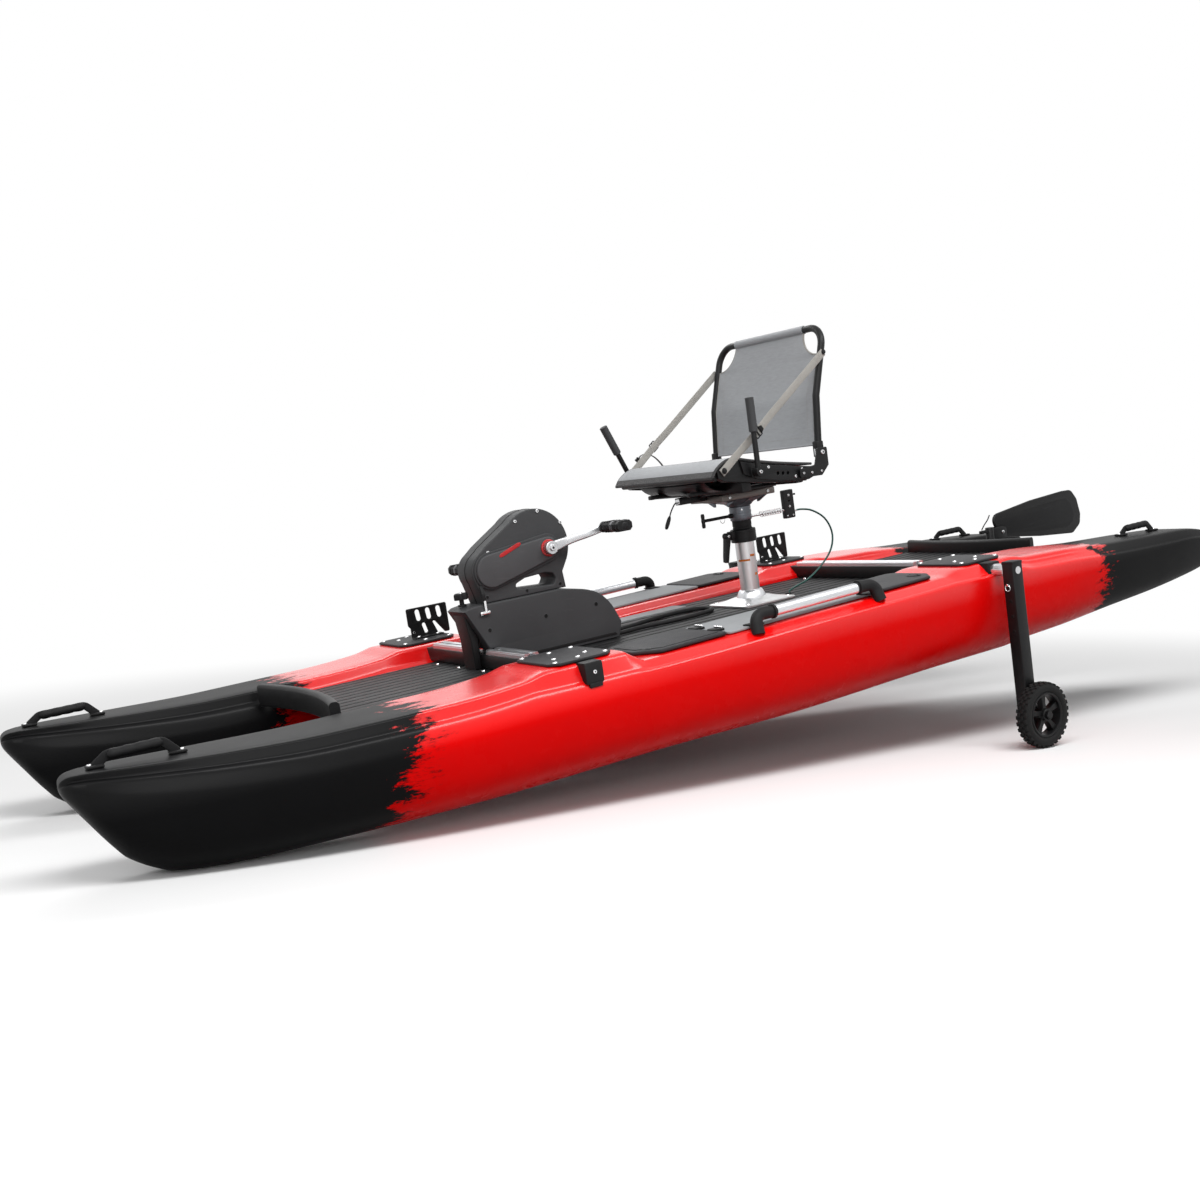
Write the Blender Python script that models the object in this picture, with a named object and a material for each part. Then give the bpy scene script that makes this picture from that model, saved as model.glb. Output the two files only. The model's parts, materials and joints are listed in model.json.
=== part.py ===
"""Twin-hull pedal boat on its landing wheels, in metres: +X to the bow, +Y to port, +Z up."""
import math

import bmesh
import bpy
from mathutils import Matrix, Vector

# Clearances
GAP = 0.0003
RUNNING = 0.0004

# Hulls
HULL_LENGTH = 3.86
HULL_WIDTH = 0.310
HULL_SPACING = 0.865
HULL_WALL = 0.006
# The cavity's half section: share of its half width, share of its height
CAVITY_LINES = ((0.14, 0.0), (0.50, 0.06), (0.78, 0.21), (0.91, 0.44), (0.965, 0.78), (0.66, 1.0))
HULL_TOE = 0.028
LIP_STEP = 0.006
LIP_DROP = 0.034
CROWN_HALF = 0.112
FLAT_TOP_FRONT = 0.268
FLAT_TOP_REAR = 0.288
HUMP_HALF = 0.115
HUMP_RAMP = 0.050
VENT_RADIUS = 0.008

# Lines of the bow and stern, row by row: share of the run to the tip, width share, keel height,
# top height, lip share and flat share
BOW_LINES = (
    (0.19, 0.99, 0.013, 0.279, 1.00, 0.14),
    (0.48, 0.92, 0.023, 0.280, 0.95, 0.14),
    (0.69, 0.79, 0.033, 0.289, 0.80, 0.13),
    (0.82, 0.65, 0.052, 0.297, 0.65, 0.12),
    (0.90, 0.53, 0.105, 0.302, 0.55, 0.12),
    (0.955, 0.41, 0.190, 0.304, 0.45, 0.14),
    (0.985, 0.28, 0.240, 0.302, 0.40, 0.20),
    (1.00, 0.14, 0.266, 0.292, 0.35, 0.30),
)
STERN_LINES = (
    (0.19, 0.97, 0.022, 0.280, 1.00, 0.16),
    (0.42, 0.90, 0.036, 0.259, 1.00, 0.16),
    (0.65, 0.80, 0.046, 0.246, 1.00, 0.16),
    (0.83, 0.69, 0.059, 0.233, 0.90, 0.16),
    (0.935, 0.57, 0.070, 0.214, 0.80, 0.18),
    (0.985, 0.43, 0.086, 0.191, 0.60, 0.24),
    (1.00, 0.26, 0.106, 0.171, 0.50, 0.30),
)
BOW_SHOULDER_TOP = 0.288
STERN_SHOULDER_TOP = 0.290
# Keel heights where the humps and the flats between them begin and end
KEEL_FRONT = 0.010
KEEL_MIDDLE = 0.000
KEEL_REAR = 0.008

# Crossbars
BAR_SIZE = 0.050
BAR_TOP = 0.300
BAR_WALL = 0.004
BAR_PAST_CENTRE = 0.1475
BAR_REACH = HULL_SPACING / 2 + BAR_PAST_CENTRE
FRONT_BAR_X = 0.739
REAR_BAR_X = -0.675
TRACK_WIDTH = 0.030
TRACK_RISE = 0.003
TRACK_OFF_DRIVE = 0.006

# Decks
DECK_THICKNESS = 0.014
RIB_HEIGHT = 0.006
RIB_PITCH = 0.044
RIB_GROOVE = 0.010
FORE_DECK_END = 1.270
AFT_DECK_END = -1.200
COAMING_TOP = 0.298
COAMING_THICKNESS = 0.026
COAMING_SWEEP = 0.036
STERN_COAMING_TOP = 0.292
WELL_HALF_WIDTH = 0.046
WELL_REAR = 0.440
WELL_FRONT = 0.620

# Clamp plates over the bars
PLATE_LENGTH = 0.180
PLATE_WIDTH = 0.200
PLATE_THICKNESS = 0.007
PLATE_CHAMFER = 0.022
PLATE_OUT = 0.0075
PLATE_CENTRE_Y = HULL_SPACING / 2 + PLATE_OUT
SCREW_RADIUS = 0.0065
SCREW_RISE = 0.003

# Side panels
PANEL_WIDTH = 0.205
PANEL_THICKNESS = 0.008
PANEL_MARGIN = 0.014

# Carry handles
HANDLE_SPAN = 0.168
HANDLE_RISE = 0.022
HANDLE_RADIUS = 0.009
HANDLE_FOOT = 0.018
BOW_HANDLE_FROM_TIP = 0.160
STERN_HANDLE_FROM_TIP = 0.354

# Side rails
RAIL_RADIUS = 0.013
RAIL_HALF = 0.205
RAIL_RISE = 0.042
RAIL_PAST_CENTRE = 0.1195
RAIL_OUT = HULL_SPACING / 2 + RAIL_PAST_CENTRE
RAIL_FOOT = 0.022
RAIL_PAD = 0.046

# Accessory brackets
BRACKET_LENGTH = 0.135
BRACKET_FRONT_X = 0.692
BRACKET_REAR_X = -0.685
BRACKET_HEIGHT = 0.092
BRACKET_SHEET = 0.004
BRACKET_FOOT = 0.030
BRACKET_HOLE = 0.011

# Pedal drive
DRIVE_HALF = 0.055
DRIVE_WALL = 0.006
BASE_TOP = 0.4245
BASE_NOSE_X = 0.802
BASE_NOSE_Z = 0.414
# The base's rounded rear edge in side view, from the deck up
BASE_REAR = (
    (0.308, 0.295), (0.321, 0.324), (0.338, 0.356), (0.369, 0.388), (0.405, 0.405), (0.450, 0.416),
)
# The finger slot's outline: x, and height above the base
SLOT_OUTLINE = (
    (0.627, 0.022), (0.629, 0.036), (0.597, 0.048), (0.532, 0.052), (0.507, 0.046), (0.4995, 0.031),
    (0.509, 0.015),
)
CASE_HALF = 0.045
CRANK_X = 0.516
CRANK_Z = 0.544
CASE_X = 0.548
CASE_Z = 0.553
CASE_RADIUS = 0.106
FRONT_LOBE_X = 0.700
FRONT_LOBE_Z = 0.510
FRONT_LOBE_RADIUS = 0.057
AXLE_RADIUS = 0.011
RING_RADIUS = 0.048
SPROCKET_RADIUS = 0.022
CHAIN_THICKNESS = 0.006
CHAIN_HALF = 0.004
CHAIN_ROOM = 0.004
JACKSHAFT_RADIUS = 0.008
JACKSHAFT_HALF = 0.036
COVER_RISE = 0.012
CRANK_LENGTH = 0.172
CRANK_RISE = math.radians(11.0)
CRANK_THICKNESS = 0.014
CRANK_BOSS = 0.019
CRANK_EYE = 0.015
CRANK_CLEARANCE = 0.005
CRANK_Y = CASE_HALF + COVER_RISE + CRANK_CLEARANCE
CRANK_FLARE = 0.030
PEDAL_WIDTH = 0.095
PEDAL_LENGTH = 0.052
PEDAL_HEIGHT = 0.032
SPINDLE_RADIUS = 0.006
LEG_X = 0.520
GEARCASE_Z = 0.005
GEARCASE_RADIUS = 0.024
PROPELLER_X = 0.420
PROPELLER_RADIUS = 0.078
KNOB_X = 0.779
KNOB_RADIUS = 0.021

# Pedestal and post
POST_X = -0.218
POST_RADIUS = 0.030
POST_WALL = 0.003
PEDESTAL_PLATE = 0.200
PEDESTAL_HUB = 0.046
PEDESTAL_RISE = 0.018
PEDESTAL_HUB_TOP = 0.292
COLLAR_BOTTOM = 0.444
COLLAR_TOP = 0.484
COLLAR_RADIUS = 0.040
SLEEVE_TOP = 0.512
NECK_TOP = 0.556
NECK_RADIUS = 0.034
POST_FOOT = 0.305
CAM_LENGTH = 0.078
CAM_RADIUS = 0.010
CAM_LUG = 0.016
LOCK_Z = 0.530
LOCK_REACH = 0.150
LOCK_ROD = 0.005
LOCK_BAR_HALF = 0.022
CABLE_ROD_Z = 0.512
CABLE_PLATE_X = -0.392
CABLE_PLATE_LENGTH = 0.042
CABLE_PLATE_TOP = 0.580
CABLE_PLATE_BOTTOM = 0.488
SPRING_RADIUS = 0.0095
SPRING_WIRE = 0.0012
SPRING_TURNS = 9
SPRING_START = -0.292
SPRING_END = CABLE_PLATE_X + 2 * SPRING_WIRE + GAP

# Seat
HEAD_TOP = 0.603
FORWARD_BAR_END = 0.016
SEAT_RAIL_Y = 0.238
SEAT_RAIL_WIDTH = 0.025
SEAT_HALF = SEAT_RAIL_Y + SEAT_RAIL_WIDTH / 2 + 0.0015
SEAT_CLOTH = 0.010
# The sling's upper side, from its front lip over the crest to the rear
SEAT_LINE = (
    (0.066, 0.670), (0.048, 0.692), (0.015, 0.711), (-0.020, 0.716), (-0.080, 0.703), (-0.160, 0.687),
    (-0.240, 0.674), (-0.310, 0.664),
)
# The side plate below it, from its upper rear corner along the bottom to the front
RAIL_UNDERSIDE = (
    (-0.308, 0.628), (-0.285, 0.613), (-0.180, 0.622), (-0.050, 0.640), (0.018, 0.650), (0.040, 0.662),
)
BACK_PIVOT_X = -0.345
BACK_PIVOT_Z = 0.690
BACK_LEAN = math.radians(6.0)
BACK_TOP_LEAN = math.radians(17.0)
BACK_BEND = 0.170
BACK_HEIGHT = 0.382
BACK_OUTSIDE_RAIL = 0.012
BACK_Y = SEAT_RAIL_Y + BACK_OUTSIDE_RAIL
BACK_TUBE = 0.011
BACK_CORNER = 0.060
BACK_CLOTH = 0.008
EYE_RADIUS = 0.014
EAR_THICKNESS = 0.006
PIN_RADIUS = 0.005
STRAP_WIDTH = 0.024
STRAP_THICKNESS = 0.002
STRAP_ALONG_BACK = 0.300
STRAP_FOOT_X = 0.030
STRAP_FOOT_Z = 0.676
LEVER_LENGTH = 0.215
LEVER_RADIUS = 0.008
GRIP_RADIUS = 0.0135
GRIP_LENGTH = 0.100
LEVER_LUG = 0.016
LEVER_Y = SEAT_RAIL_Y + SEAT_RAIL_WIDTH / 2 + LEVER_LUG
LEVER_Z = 0.664
PORT_LEVER_X = -0.082
STARBOARD_LEVER_X = -0.026
STARBOARD_LEVER_LEAN = math.radians(24.0)

# Rudder
RUDDER_BEHIND_DECK = 0.130
RUDDER_X = AFT_DECK_END - RUDDER_BEHIND_DECK
RUDDER_PIVOT_X = RUDDER_X - 0.055
RUDDER_PIVOT_Z = 0.290
RUDDER_THICKNESS = 0.012
RUDDER_POST = 0.015
RUDDER_ARM_Z = 0.222
RUDDER_ARM = 0.014
RUDDER_ARM_WALL = 0.005
HORN_TOP = 0.072
# The raised blade's side view about its pivot, from its upper front corner round
RUDDER_OUTLINE = (
    (0.045, 0.064), (-0.175, 0.089), (-0.355, 0.098), (-0.405, 0.096), (-0.433, 0.060), (-0.447, 0.000),
    (-0.439, -0.038), (-0.395, -0.067), (-0.215, -0.050), (-0.015, -0.022), (0.009, -0.018),
)

# Landing wheels
LEG_SIZE = 0.042
LEG_OFF_BAR = 0.044
LEG_Y = BAR_REACH + LEG_OFF_BAR + LEG_SIZE / 2
LEG_PIVOT_Z = 0.275
LEG_PIN = 0.011
WHEEL_X = -0.683
WHEEL_Z = -0.155
WHEEL_RADIUS = 0.097
WHEEL_WIDTH = 0.044
WHEEL_OFF_LEG = 0.003
WHEEL_Y = LEG_Y + LEG_SIZE / 2 + WHEEL_OFF_LEG + WHEEL_WIDTH / 2
RIM_RADIUS = 0.066
AXLE_BOLT = 0.008

# Cords
STEERING_CABLE = 0.006
DECK_HOSE = 0.014
RUDDER_LINE = 0.004
SEAT_CORD = 0.004

SIDES = 12
SMALL_SIDES = 8
ORIGIN = Vector((0.0, 0.0, 0.0))
DECK_TOP = BAR_TOP - BAR_SIZE - GAP
BOW_TIP = HULL_LENGTH / 2
PORT, STARBOARD = 1, -1


def clear_scene():
    for item in list(bpy.data.objects):
        bpy.data.objects.remove(item, do_unlink=True)


def finish(name, colour, roughness, metallic=0.0):
    material = bpy.data.materials.new(name)
    material.use_nodes = True
    shader = material.node_tree.nodes["Principled BSDF"]
    shader.inputs["Base Color"].default_value = (*colour, 1.0)
    shader.inputs["Roughness"].default_value = roughness
    shader.inputs["Metallic"].default_value = metallic
    return material


# Mesh helpers: each returns a closed bmesh in the boat's own frame
def ring_loft(rings):
    shape = bmesh.new()
    loops = [[shape.verts.new(point) for point in ring] for ring in rings]
    for first, second in zip(loops, loops[1:]):
        for i in range(len(first)):
            j = (i + 1) % len(first)
            shape.faces.new((first[i], first[j], second[j], second[i]))
    shape.faces.new(loops[0][::-1])
    shape.faces.new(loops[-1])
    bmesh.ops.recalc_face_normals(shape, faces=shape.faces)
    return shape


def triangles(shape):
    bmesh.ops.triangulate(shape, faces=shape.faces[:])
    return shape


def closed_loft(rings):
    shape = bmesh.new()
    loops = [[shape.verts.new(point) for point in ring] for ring in rings]
    for index, first in enumerate(loops):
        second = loops[(index + 1) % len(loops)]
        for i in range(len(first)):
            j = (i + 1) % len(first)
            shape.faces.new((first[i], first[j], second[j], second[i]))
    bmesh.ops.recalc_face_normals(shape, faces=shape.faces)
    return shape


def prism(outline, low, high, across="y"):
    def place(a, b, height):
        return {"x": (height, a, b), "y": (a, height, b), "z": (a, b, height)}[across]

    return ring_loft([[place(a, b, height) for a, b in outline] for height in (low, high)])


def block(low, high, bevel=0.0):
    outline = [(low[0], low[1]), (high[0], low[1]), (high[0], high[1]), (low[0], high[1])]
    shape = prism(outline, low[2], high[2], "z")
    if bevel:
        bmesh.ops.bevel(shape, geom=shape.edges[:], offset=bevel, segments=1, affect="EDGES")
    return shape


def side_vectors(direction):
    guide = Vector((0, 0, 1)) if abs(direction.z) < 0.9 else Vector((1, 0, 0))
    first = direction.cross(guide).normalized()
    return first, direction.cross(first).normalized()


def circle(centre, first, second, radius, sides, phase=0.0):
    turns = [phase + 2 * math.pi * i / sides for i in range(sides)]
    return [centre + radius * (math.cos(a) * first + math.sin(a) * second) for a in turns]


def turned(profile, centre, axis, sides=SIDES):
    """A solid of revolution: profile is (offset along the axis, radius) from end to end."""
    direction = Vector(axis).normalized()
    first, second = side_vectors(direction)
    base = Vector(centre)
    return ring_loft([circle(base + direction * s, first, second, r, sides) for s, r in profile])


def turned_ring(profile, centre, axis, sides=SIDES):
    """A ring of revolution: profile is a closed loop of (offset along the axis, radius)."""
    direction = Vector(axis).normalized()
    first, second = side_vectors(direction)
    base = Vector(centre)
    return closed_loft([circle(base + direction * s, first, second, r, sides) for s, r in profile])


def rod(start, end, radius, sides=SIDES):
    start, end = Vector(start), Vector(end)
    return turned([(0.0, radius), ((end - start).length, radius)], start, end - start, sides)


def rounded(points, radius, steps=4):
    """The polyline with each inner corner replaced by an arc."""
    points = [Vector(p) for p in points]
    path = [points[0]]
    for before, corner, after in zip(points, points[1:], points[2:]):
        back = (before - corner).normalized()
        ahead = (after - corner).normalized()
        half = back.angle(ahead) / 2
        reach = radius / math.tan(half)
        middle = corner + (back + ahead).normalized() * (radius / math.sin(half))
        start = (corner + back * reach - middle).normalized()
        end = (corner + ahead * reach - middle).normalized()
        for step in range(steps + 1):
            path.append(middle + radius * start.slerp(end, step / steps))
    path.append(points[-1])
    return path


def sweep(path, radius, sides=SMALL_SIDES, flat=1.0, up=(0, 0, 1)):
    """A bar along a path; flat squeezes its section along the up direction."""
    path = [Vector(p) for p in path]
    rings = []
    for i, point in enumerate(path):
        ahead = (path[min(i + 1, len(path) - 1)] - path[max(i - 1, 0)]).normalized()
        across = Vector(up).cross(ahead).normalized()
        lift = ahead.cross(across).normalized()
        rings.append(circle(point, across, lift * flat, radius, sides, math.pi / sides))
    return ring_loft(rings)


def tilted(shape, pivot, axis, angle):
    turn = Matrix.Translation(pivot) @ Matrix.Rotation(angle, 4, axis) @ Matrix.Translation(-Vector(pivot))
    bmesh.ops.transform(shape, matrix=turn, verts=shape.verts)
    return shape


def place(name, shape, origin):
    mesh = bpy.data.meshes.new(name)
    bmesh.ops.translate(shape, verts=shape.verts, vec=-Vector(origin))
    shape.to_mesh(mesh)
    shape.free()
    mesh.shade_smooth()
    mesh.set_sharp_from_angle(angle=math.radians(35))
    item = bpy.data.objects.new(name, mesh)
    bpy.context.scene.collection.objects.link(item)
    item.parent = BOAT
    item.location = origin
    return item


def join_shape(item, tool_shape, operation, label):
    tool = place(f"{item.name}_{label}", tool_shape, item.location)
    tool.hide_render = True
    tool.display_type = "WIRE"
    modifier = item.modifiers.new(label, "BOOLEAN")
    modifier.operation = operation
    modifier.solver = "EXACT"
    modifier.object = tool


def make(name, shape, material, origin=ORIGIN, add=(), cut=()):
    item = place(name, shape, origin)
    item.data.materials.append(material)
    for index, extra in enumerate(add):
        join_shape(item, extra, "UNION", f"add_{index}")
    for index, cutter in enumerate(cut):
        join_shape(item, cutter, "DIFFERENCE", f"cut_{index}")
    return item


# Smooth routes for cords: a Catmull-Rom curve read at even steps
def smooth_route(points, spacing):
    points = [Vector(p) for p in points]
    padded = [2 * points[0] - points[1], *points, 2 * points[-1] - points[-2]]
    fine = []
    for a, b, c, d in zip(padded, padded[1:], padded[2:], padded[3:]):
        for step in range(24):
            t = step / 24
            fine.append(0.5 * (2 * b + (c - a) * t + (2 * a - 5 * b + 4 * c - d) * t * t
                               + (3 * b - a - 3 * c + d) * t ** 3))
    fine.append(points[-1])
    length = sum((q - p).length for p, q in zip(fine, fine[1:]))
    count = max(int(round(length / spacing)), 2)
    route = [fine[0]]
    run, target = 0.0, length / count
    for p, q in zip(fine, fine[1:]):
        piece = (q - p).length
        while run + piece >= target and len(route) < count:
            route.append(p.lerp(q, (target - run) / piece))
            target += length / count
        run += piece
    route.append(fine[-1])
    return route


def tube(name, route, diameter, material, swell=None, resolution=2, origin=ORIGIN):
    curve = bpy.data.curves.new(name, "CURVE")
    curve.dimensions = "3D"
    curve.bevel_depth = diameter / 2
    curve.bevel_resolution = resolution
    curve.use_fill_caps = True
    spline = curve.splines.new("POLY")
    spline.points.add(len(route) - 1)
    for i, point in enumerate(route):
        spline.points[i].co = (*(Vector(point) - Vector(origin)), 1.0)
        spline.points[i].radius = swell(i / (len(route) - 1)) if swell else 1.0
    item = bpy.data.objects.new(name, curve)
    bpy.context.scene.collection.objects.link(item)
    item.parent = BOAT
    item.location = origin
    item.data.materials.append(material)
    return item


# Hull lines
def flat_top(x):
    front = FRONT_BAR_X - HUMP_HALF - HUMP_RAMP
    rear = REAR_BAR_X + HUMP_HALF + HUMP_RAMP
    return FLAT_TOP_FRONT + (FLAT_TOP_REAR - FLAT_TOP_FRONT) * (front - x) / (front - rear)


def stations():
    """Each station: x, half width, keel, top, lip drop, flat share, toe."""
    half = HULL_WIDTH / 2
    bow_start = FRONT_BAR_X + HUMP_HALF + HUMP_RAMP
    stern_start = REAR_BAR_X - HUMP_HALF - HUMP_RAMP
    rows = []
    for share, width, keel, top, lip, flat in reversed(BOW_LINES):
        x = bow_start + share * (BOW_TIP - bow_start)
        rows.append((x, half * width, keel, top, LIP_DROP * lip, flat, HULL_TOE * share ** 2))
    front_flat = bow_start - 2 * (HUMP_HALF + HUMP_RAMP)
    rear_flat = stern_start + 2 * (HUMP_HALF + HUMP_RAMP)
    rows.append((bow_start, half, KEEL_FRONT, BOW_SHOULDER_TOP, LIP_DROP, 0.15, 0.0))
    rows.append((bow_start - HUMP_RAMP, half, KEEL_FRONT, BAR_TOP, LIP_DROP + 0.012, 0.15, 0.0))
    rows.append((front_flat + HUMP_RAMP, half, KEEL_FRONT, BAR_TOP, LIP_DROP + 0.014, 0.15, 0.0))
    rows.append((front_flat, half, KEEL_FRONT, flat_top(front_flat), LIP_DROP * 0.6, 0.15, 0.0))
    middle = (front_flat + rear_flat) / 2
    rows.append((middle, half, KEEL_MIDDLE, flat_top(middle), LIP_DROP * 0.6, 0.15, 0.0))
    rows.append((rear_flat, half, KEEL_REAR, flat_top(rear_flat), LIP_DROP * 0.6, 0.15, 0.0))
    rows.append((rear_flat - HUMP_RAMP, half, KEEL_REAR, BAR_TOP, LIP_DROP, 0.15, 0.0))
    rows.append((stern_start + HUMP_RAMP, half, KEEL_REAR, BAR_TOP, LIP_DROP, 0.15, 0.0))
    rows.append((stern_start, half * 0.99, KEEL_REAR + 0.006, STERN_SHOULDER_TOP, LIP_DROP, 0.15, 0.0))
    for share, width, keel, top, lip, flat in STERN_LINES:
        x = stern_start - share * (BOW_TIP + stern_start)
        rows.append((x, half * width, keel, top, LIP_DROP * lip, flat, HULL_TOE * share ** 2))
    return rows


def hull_centre(toe):
    return HULL_SPACING / 2 - toe


def hull_ring(side, x, width, keel, top, drop, flat, toe):
    lip = top - drop
    step = min(LIP_STEP, width * 0.2)
    crown = min(CROWN_HALF, width * 0.74)
    rise = lip - keel
    half = (
        (flat * width, keel),
        ((0.36 + flat) * width, keel + 0.06 * rise),
        (0.80 * width, keel + 0.21 * rise),
        (0.93 * width, keel + 0.44 * rise),
        (width, keel + 0.82 * rise),
        (width, lip - 0.1 * drop),
        (width - step, lip),
        (width - 1.2 * step, lip + 0.12 * drop),
        (crown, top),
    )
    centre = hull_centre(toe)
    outer = [(centre + a, z) for a, z in half]
    inner = [(centre - a, z) for a, z in reversed(half)]
    return [Vector((x, side * y, z)) for y, z in outer + inner]


def cavity_ring(side, x, width, keel, top, toe):
    centre = hull_centre(toe)
    inside = width - 1.6 * HULL_WALL
    low, high = keel + HULL_WALL, top
    half = [(share * inside, low + rise * (high - low)) for share, rise in CAVITY_LINES]
    outer = [(centre + a, z) for a, z in half]
    inner = [(centre - a, z) for a, z in reversed(half)]
    return [Vector((x, side * y, z)) for y, z in outer + inner]


def between(rows, x):
    for ahead, behind in zip(rows, rows[1:]):
        if behind[0] <= x <= ahead[0]:
            share = (ahead[0] - x) / (ahead[0] - behind[0])
            return [a + (b - a) * share for a, b in zip(ahead, behind)]
    raise ValueError("the station is outside the hull")


def cavity_rings(side):
    rows = stations()
    channel_floor = BAR_TOP - BAR_SIZE - GAP - HULL_WALL
    places = [(row[0], row[3] - HULL_WALL) for row in rows[3:9] + rows[-8:-3]]
    for bar_x in (FRONT_BAR_X, REAR_BAR_X):
        edge = BAR_SIZE / 2 + GAP + HULL_WALL
        for sign in (1, -1):
            places.append((bar_x + sign * (edge + HUMP_RAMP), BAR_TOP - HULL_WALL - 0.004))
            places.append((bar_x + sign * edge, channel_floor))
    flats = [row for row in rows if FRONT_BAR_X - HUMP_HALF > row[0] > REAR_BAR_X + HUMP_HALF]
    places += [(row[0], row[3] - HULL_WALL) for row in flats]
    rings = []
    for x, top in sorted(places, reverse=True):
        _, width, keel, _, _, _, toe = between(rows, x)
        rings.append(cavity_ring(side, x, width, keel, top, toe))
    return rings


def bar_channel(side, bar_x):
    edge = BAR_SIZE / 2 + GAP
    ys = sorted((side * 0.15, side * (HULL_SPACING / 2 + HULL_WIDTH)))
    return block((bar_x - edge, ys[0], BAR_TOP - BAR_SIZE - GAP), (bar_x + edge, ys[1], BAR_TOP + 0.1))


def build_hull(name, side):
    rings = [hull_ring(side, *row) for row in stations()]
    inside = hull_centre(0.0) - HULL_WIDTH
    vent = rod((AFT_DECK_END, side * inside, 0.12), (AFT_DECK_END, side * hull_centre(0.0), 0.12),
               VENT_RADIUS, SMALL_SIDES)
    cuts = [triangles(ring_loft(cavity_rings(side))), vent, bar_channel(side, FRONT_BAR_X),
            bar_channel(side, REAR_BAR_X)]
    return make(name, triangles(ring_loft(rings)), FINISH["red_hull"], cut=cuts)


# Decks
def deck_half_width():
    return HULL_SPACING / 2 - HULL_WIDTH / 2 - GAP


def ribbed_section():
    half = deck_half_width()
    count = int((2 * half - RIB_GROOVE) // RIB_PITCH)
    start = -count * RIB_PITCH / 2
    low = DECK_TOP - RIB_HEIGHT
    top = [(-half, DECK_TOP)]
    for i in range(count + 1):
        groove = start + i * RIB_PITCH
        top.append((groove - RIB_GROOVE / 2, DECK_TOP))
        top.append((groove - RIB_GROOVE / 4, low))
        top.append((groove + RIB_GROOVE / 4, low))
        top.append((groove + RIB_GROOVE / 2, DECK_TOP))
    top.append((half, DECK_TOP))
    bottom = DECK_TOP - DECK_THICKNESS
    return [(half, bottom), (-half, bottom)] + top


def coaming(end_x, outward, top):
    """The raised lip at a deck's end, bowed inwards amidships."""
    half = deck_half_width()
    near, far = [], []
    for step in range(-4, 5):
        y = half * step / 4
        bow = COAMING_SWEEP * (1 - (step / 4) ** 2)
        near.append((end_x - outward * bow, y))
        far.append((end_x - outward * bow + outward * COAMING_THICKNESS, y))
    return prism(near + far[::-1], DECK_TOP - DECK_THICKNESS, top, "z")


def build_decks():
    section = ribbed_section()
    black = FINISH["black_deck"]
    seam = GAP / 2
    make("fore_deck", prism(section, FRONT_BAR_X + seam, FORE_DECK_END - COAMING_SWEEP / 2, "x"), black,
         add=[coaming(FORE_DECK_END, 1, COAMING_TOP)])
    well = block((WELL_REAR, -WELL_HALF_WIDTH, DECK_TOP - 0.05),
                 (WELL_FRONT, WELL_HALF_WIDTH, DECK_TOP + 0.05))
    gland = rod((STEERING_CABLE_ROUTE[-1][0], 0, DECK_TOP - 0.05),
                (STEERING_CABLE_ROUTE[-1][0], 0, DECK_TOP + 0.05), STEERING_CABLE / 2 + 5 * GAP, SIDES)
    make("mid_deck", prism(section, REAR_BAR_X + seam, FRONT_BAR_X - seam, "x"), black, cut=[well, gland])
    arm, bore = rudder_bracket()
    make("aft_deck", prism(section, AFT_DECK_END + COAMING_SWEEP / 2, REAR_BAR_X - seam, "x"), black,
         add=[coaming(AFT_DECK_END, -1, STERN_COAMING_TOP), arm], cut=[bore])


# Crossbars, clamp plates and brackets
def build_front_bar():
    half = BAR_SIZE / 2
    tracks = []
    for side in (PORT, STARBOARD):
        near, far = sorted((side * (DRIVE_HALF + TRACK_OFF_DRIVE), side * deck_half_width()))
        tracks.append(block((FRONT_BAR_X - TRACK_WIDTH / 2, near, BAR_TOP - BAR_WALL / 2),
                            (FRONT_BAR_X + TRACK_WIDTH / 2, far, BAR_TOP + TRACK_RISE)))
    bore = half - BAR_WALL
    middle = BAR_TOP - half
    hollow = block((FRONT_BAR_X - bore, -BAR_REACH - 0.01, middle - bore),
                   (FRONT_BAR_X + bore, BAR_REACH + 0.01, middle + bore))
    make("front_crossbar", block((FRONT_BAR_X - half, -BAR_REACH, BAR_TOP - BAR_SIZE),
                                 (FRONT_BAR_X + half, BAR_REACH, BAR_TOP)),
         FINISH["black_metal"], add=tracks, cut=[hollow])


def build_rear_bar():
    half = BAR_SIZE / 2
    bore = half - BAR_WALL
    middle = BAR_TOP - half
    track = block((REAR_BAR_X - TRACK_WIDTH / 2, -deck_half_width(), BAR_TOP - BAR_WALL / 2),
                  (REAR_BAR_X + TRACK_WIDTH / 2, deck_half_width(), BAR_TOP + TRACK_RISE))
    hollow = block((REAR_BAR_X - bore, -BAR_REACH + BAR_WALL, middle - bore),
                   (REAR_BAR_X + bore, BAR_REACH - BAR_WALL, middle + bore))
    drain = rod((REAR_BAR_X, 0, BAR_TOP - BAR_SIZE - 0.01), (REAR_BAR_X, 0, middle), 0.004, SMALL_SIDES)
    reach = LEG_Y + LEG_SIZE / 2 + GAP
    pins = []
    for side in (PORT, STARBOARD):
        start = (REAR_BAR_X, side * (BAR_REACH - BAR_WALL / 2), LEG_PIVOT_Z)
        pins.append(rod(start, (REAR_BAR_X, side * reach, LEG_PIVOT_Z), LEG_PIN, SIDES))
        shoulder = (REAR_BAR_X, side * (LEG_Y - LEG_SIZE / 2 - GAP), LEG_PIVOT_Z)
        pins.append(rod(start, shoulder, LEG_PIN * 1.7, SIDES))
    make("rear_crossbar", block((REAR_BAR_X - half, -BAR_REACH, BAR_TOP - BAR_SIZE),
                                (REAR_BAR_X + half, BAR_REACH, BAR_TOP)),
         FINISH["black_metal"], add=[track, *pins], cut=[hollow, drain])


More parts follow.
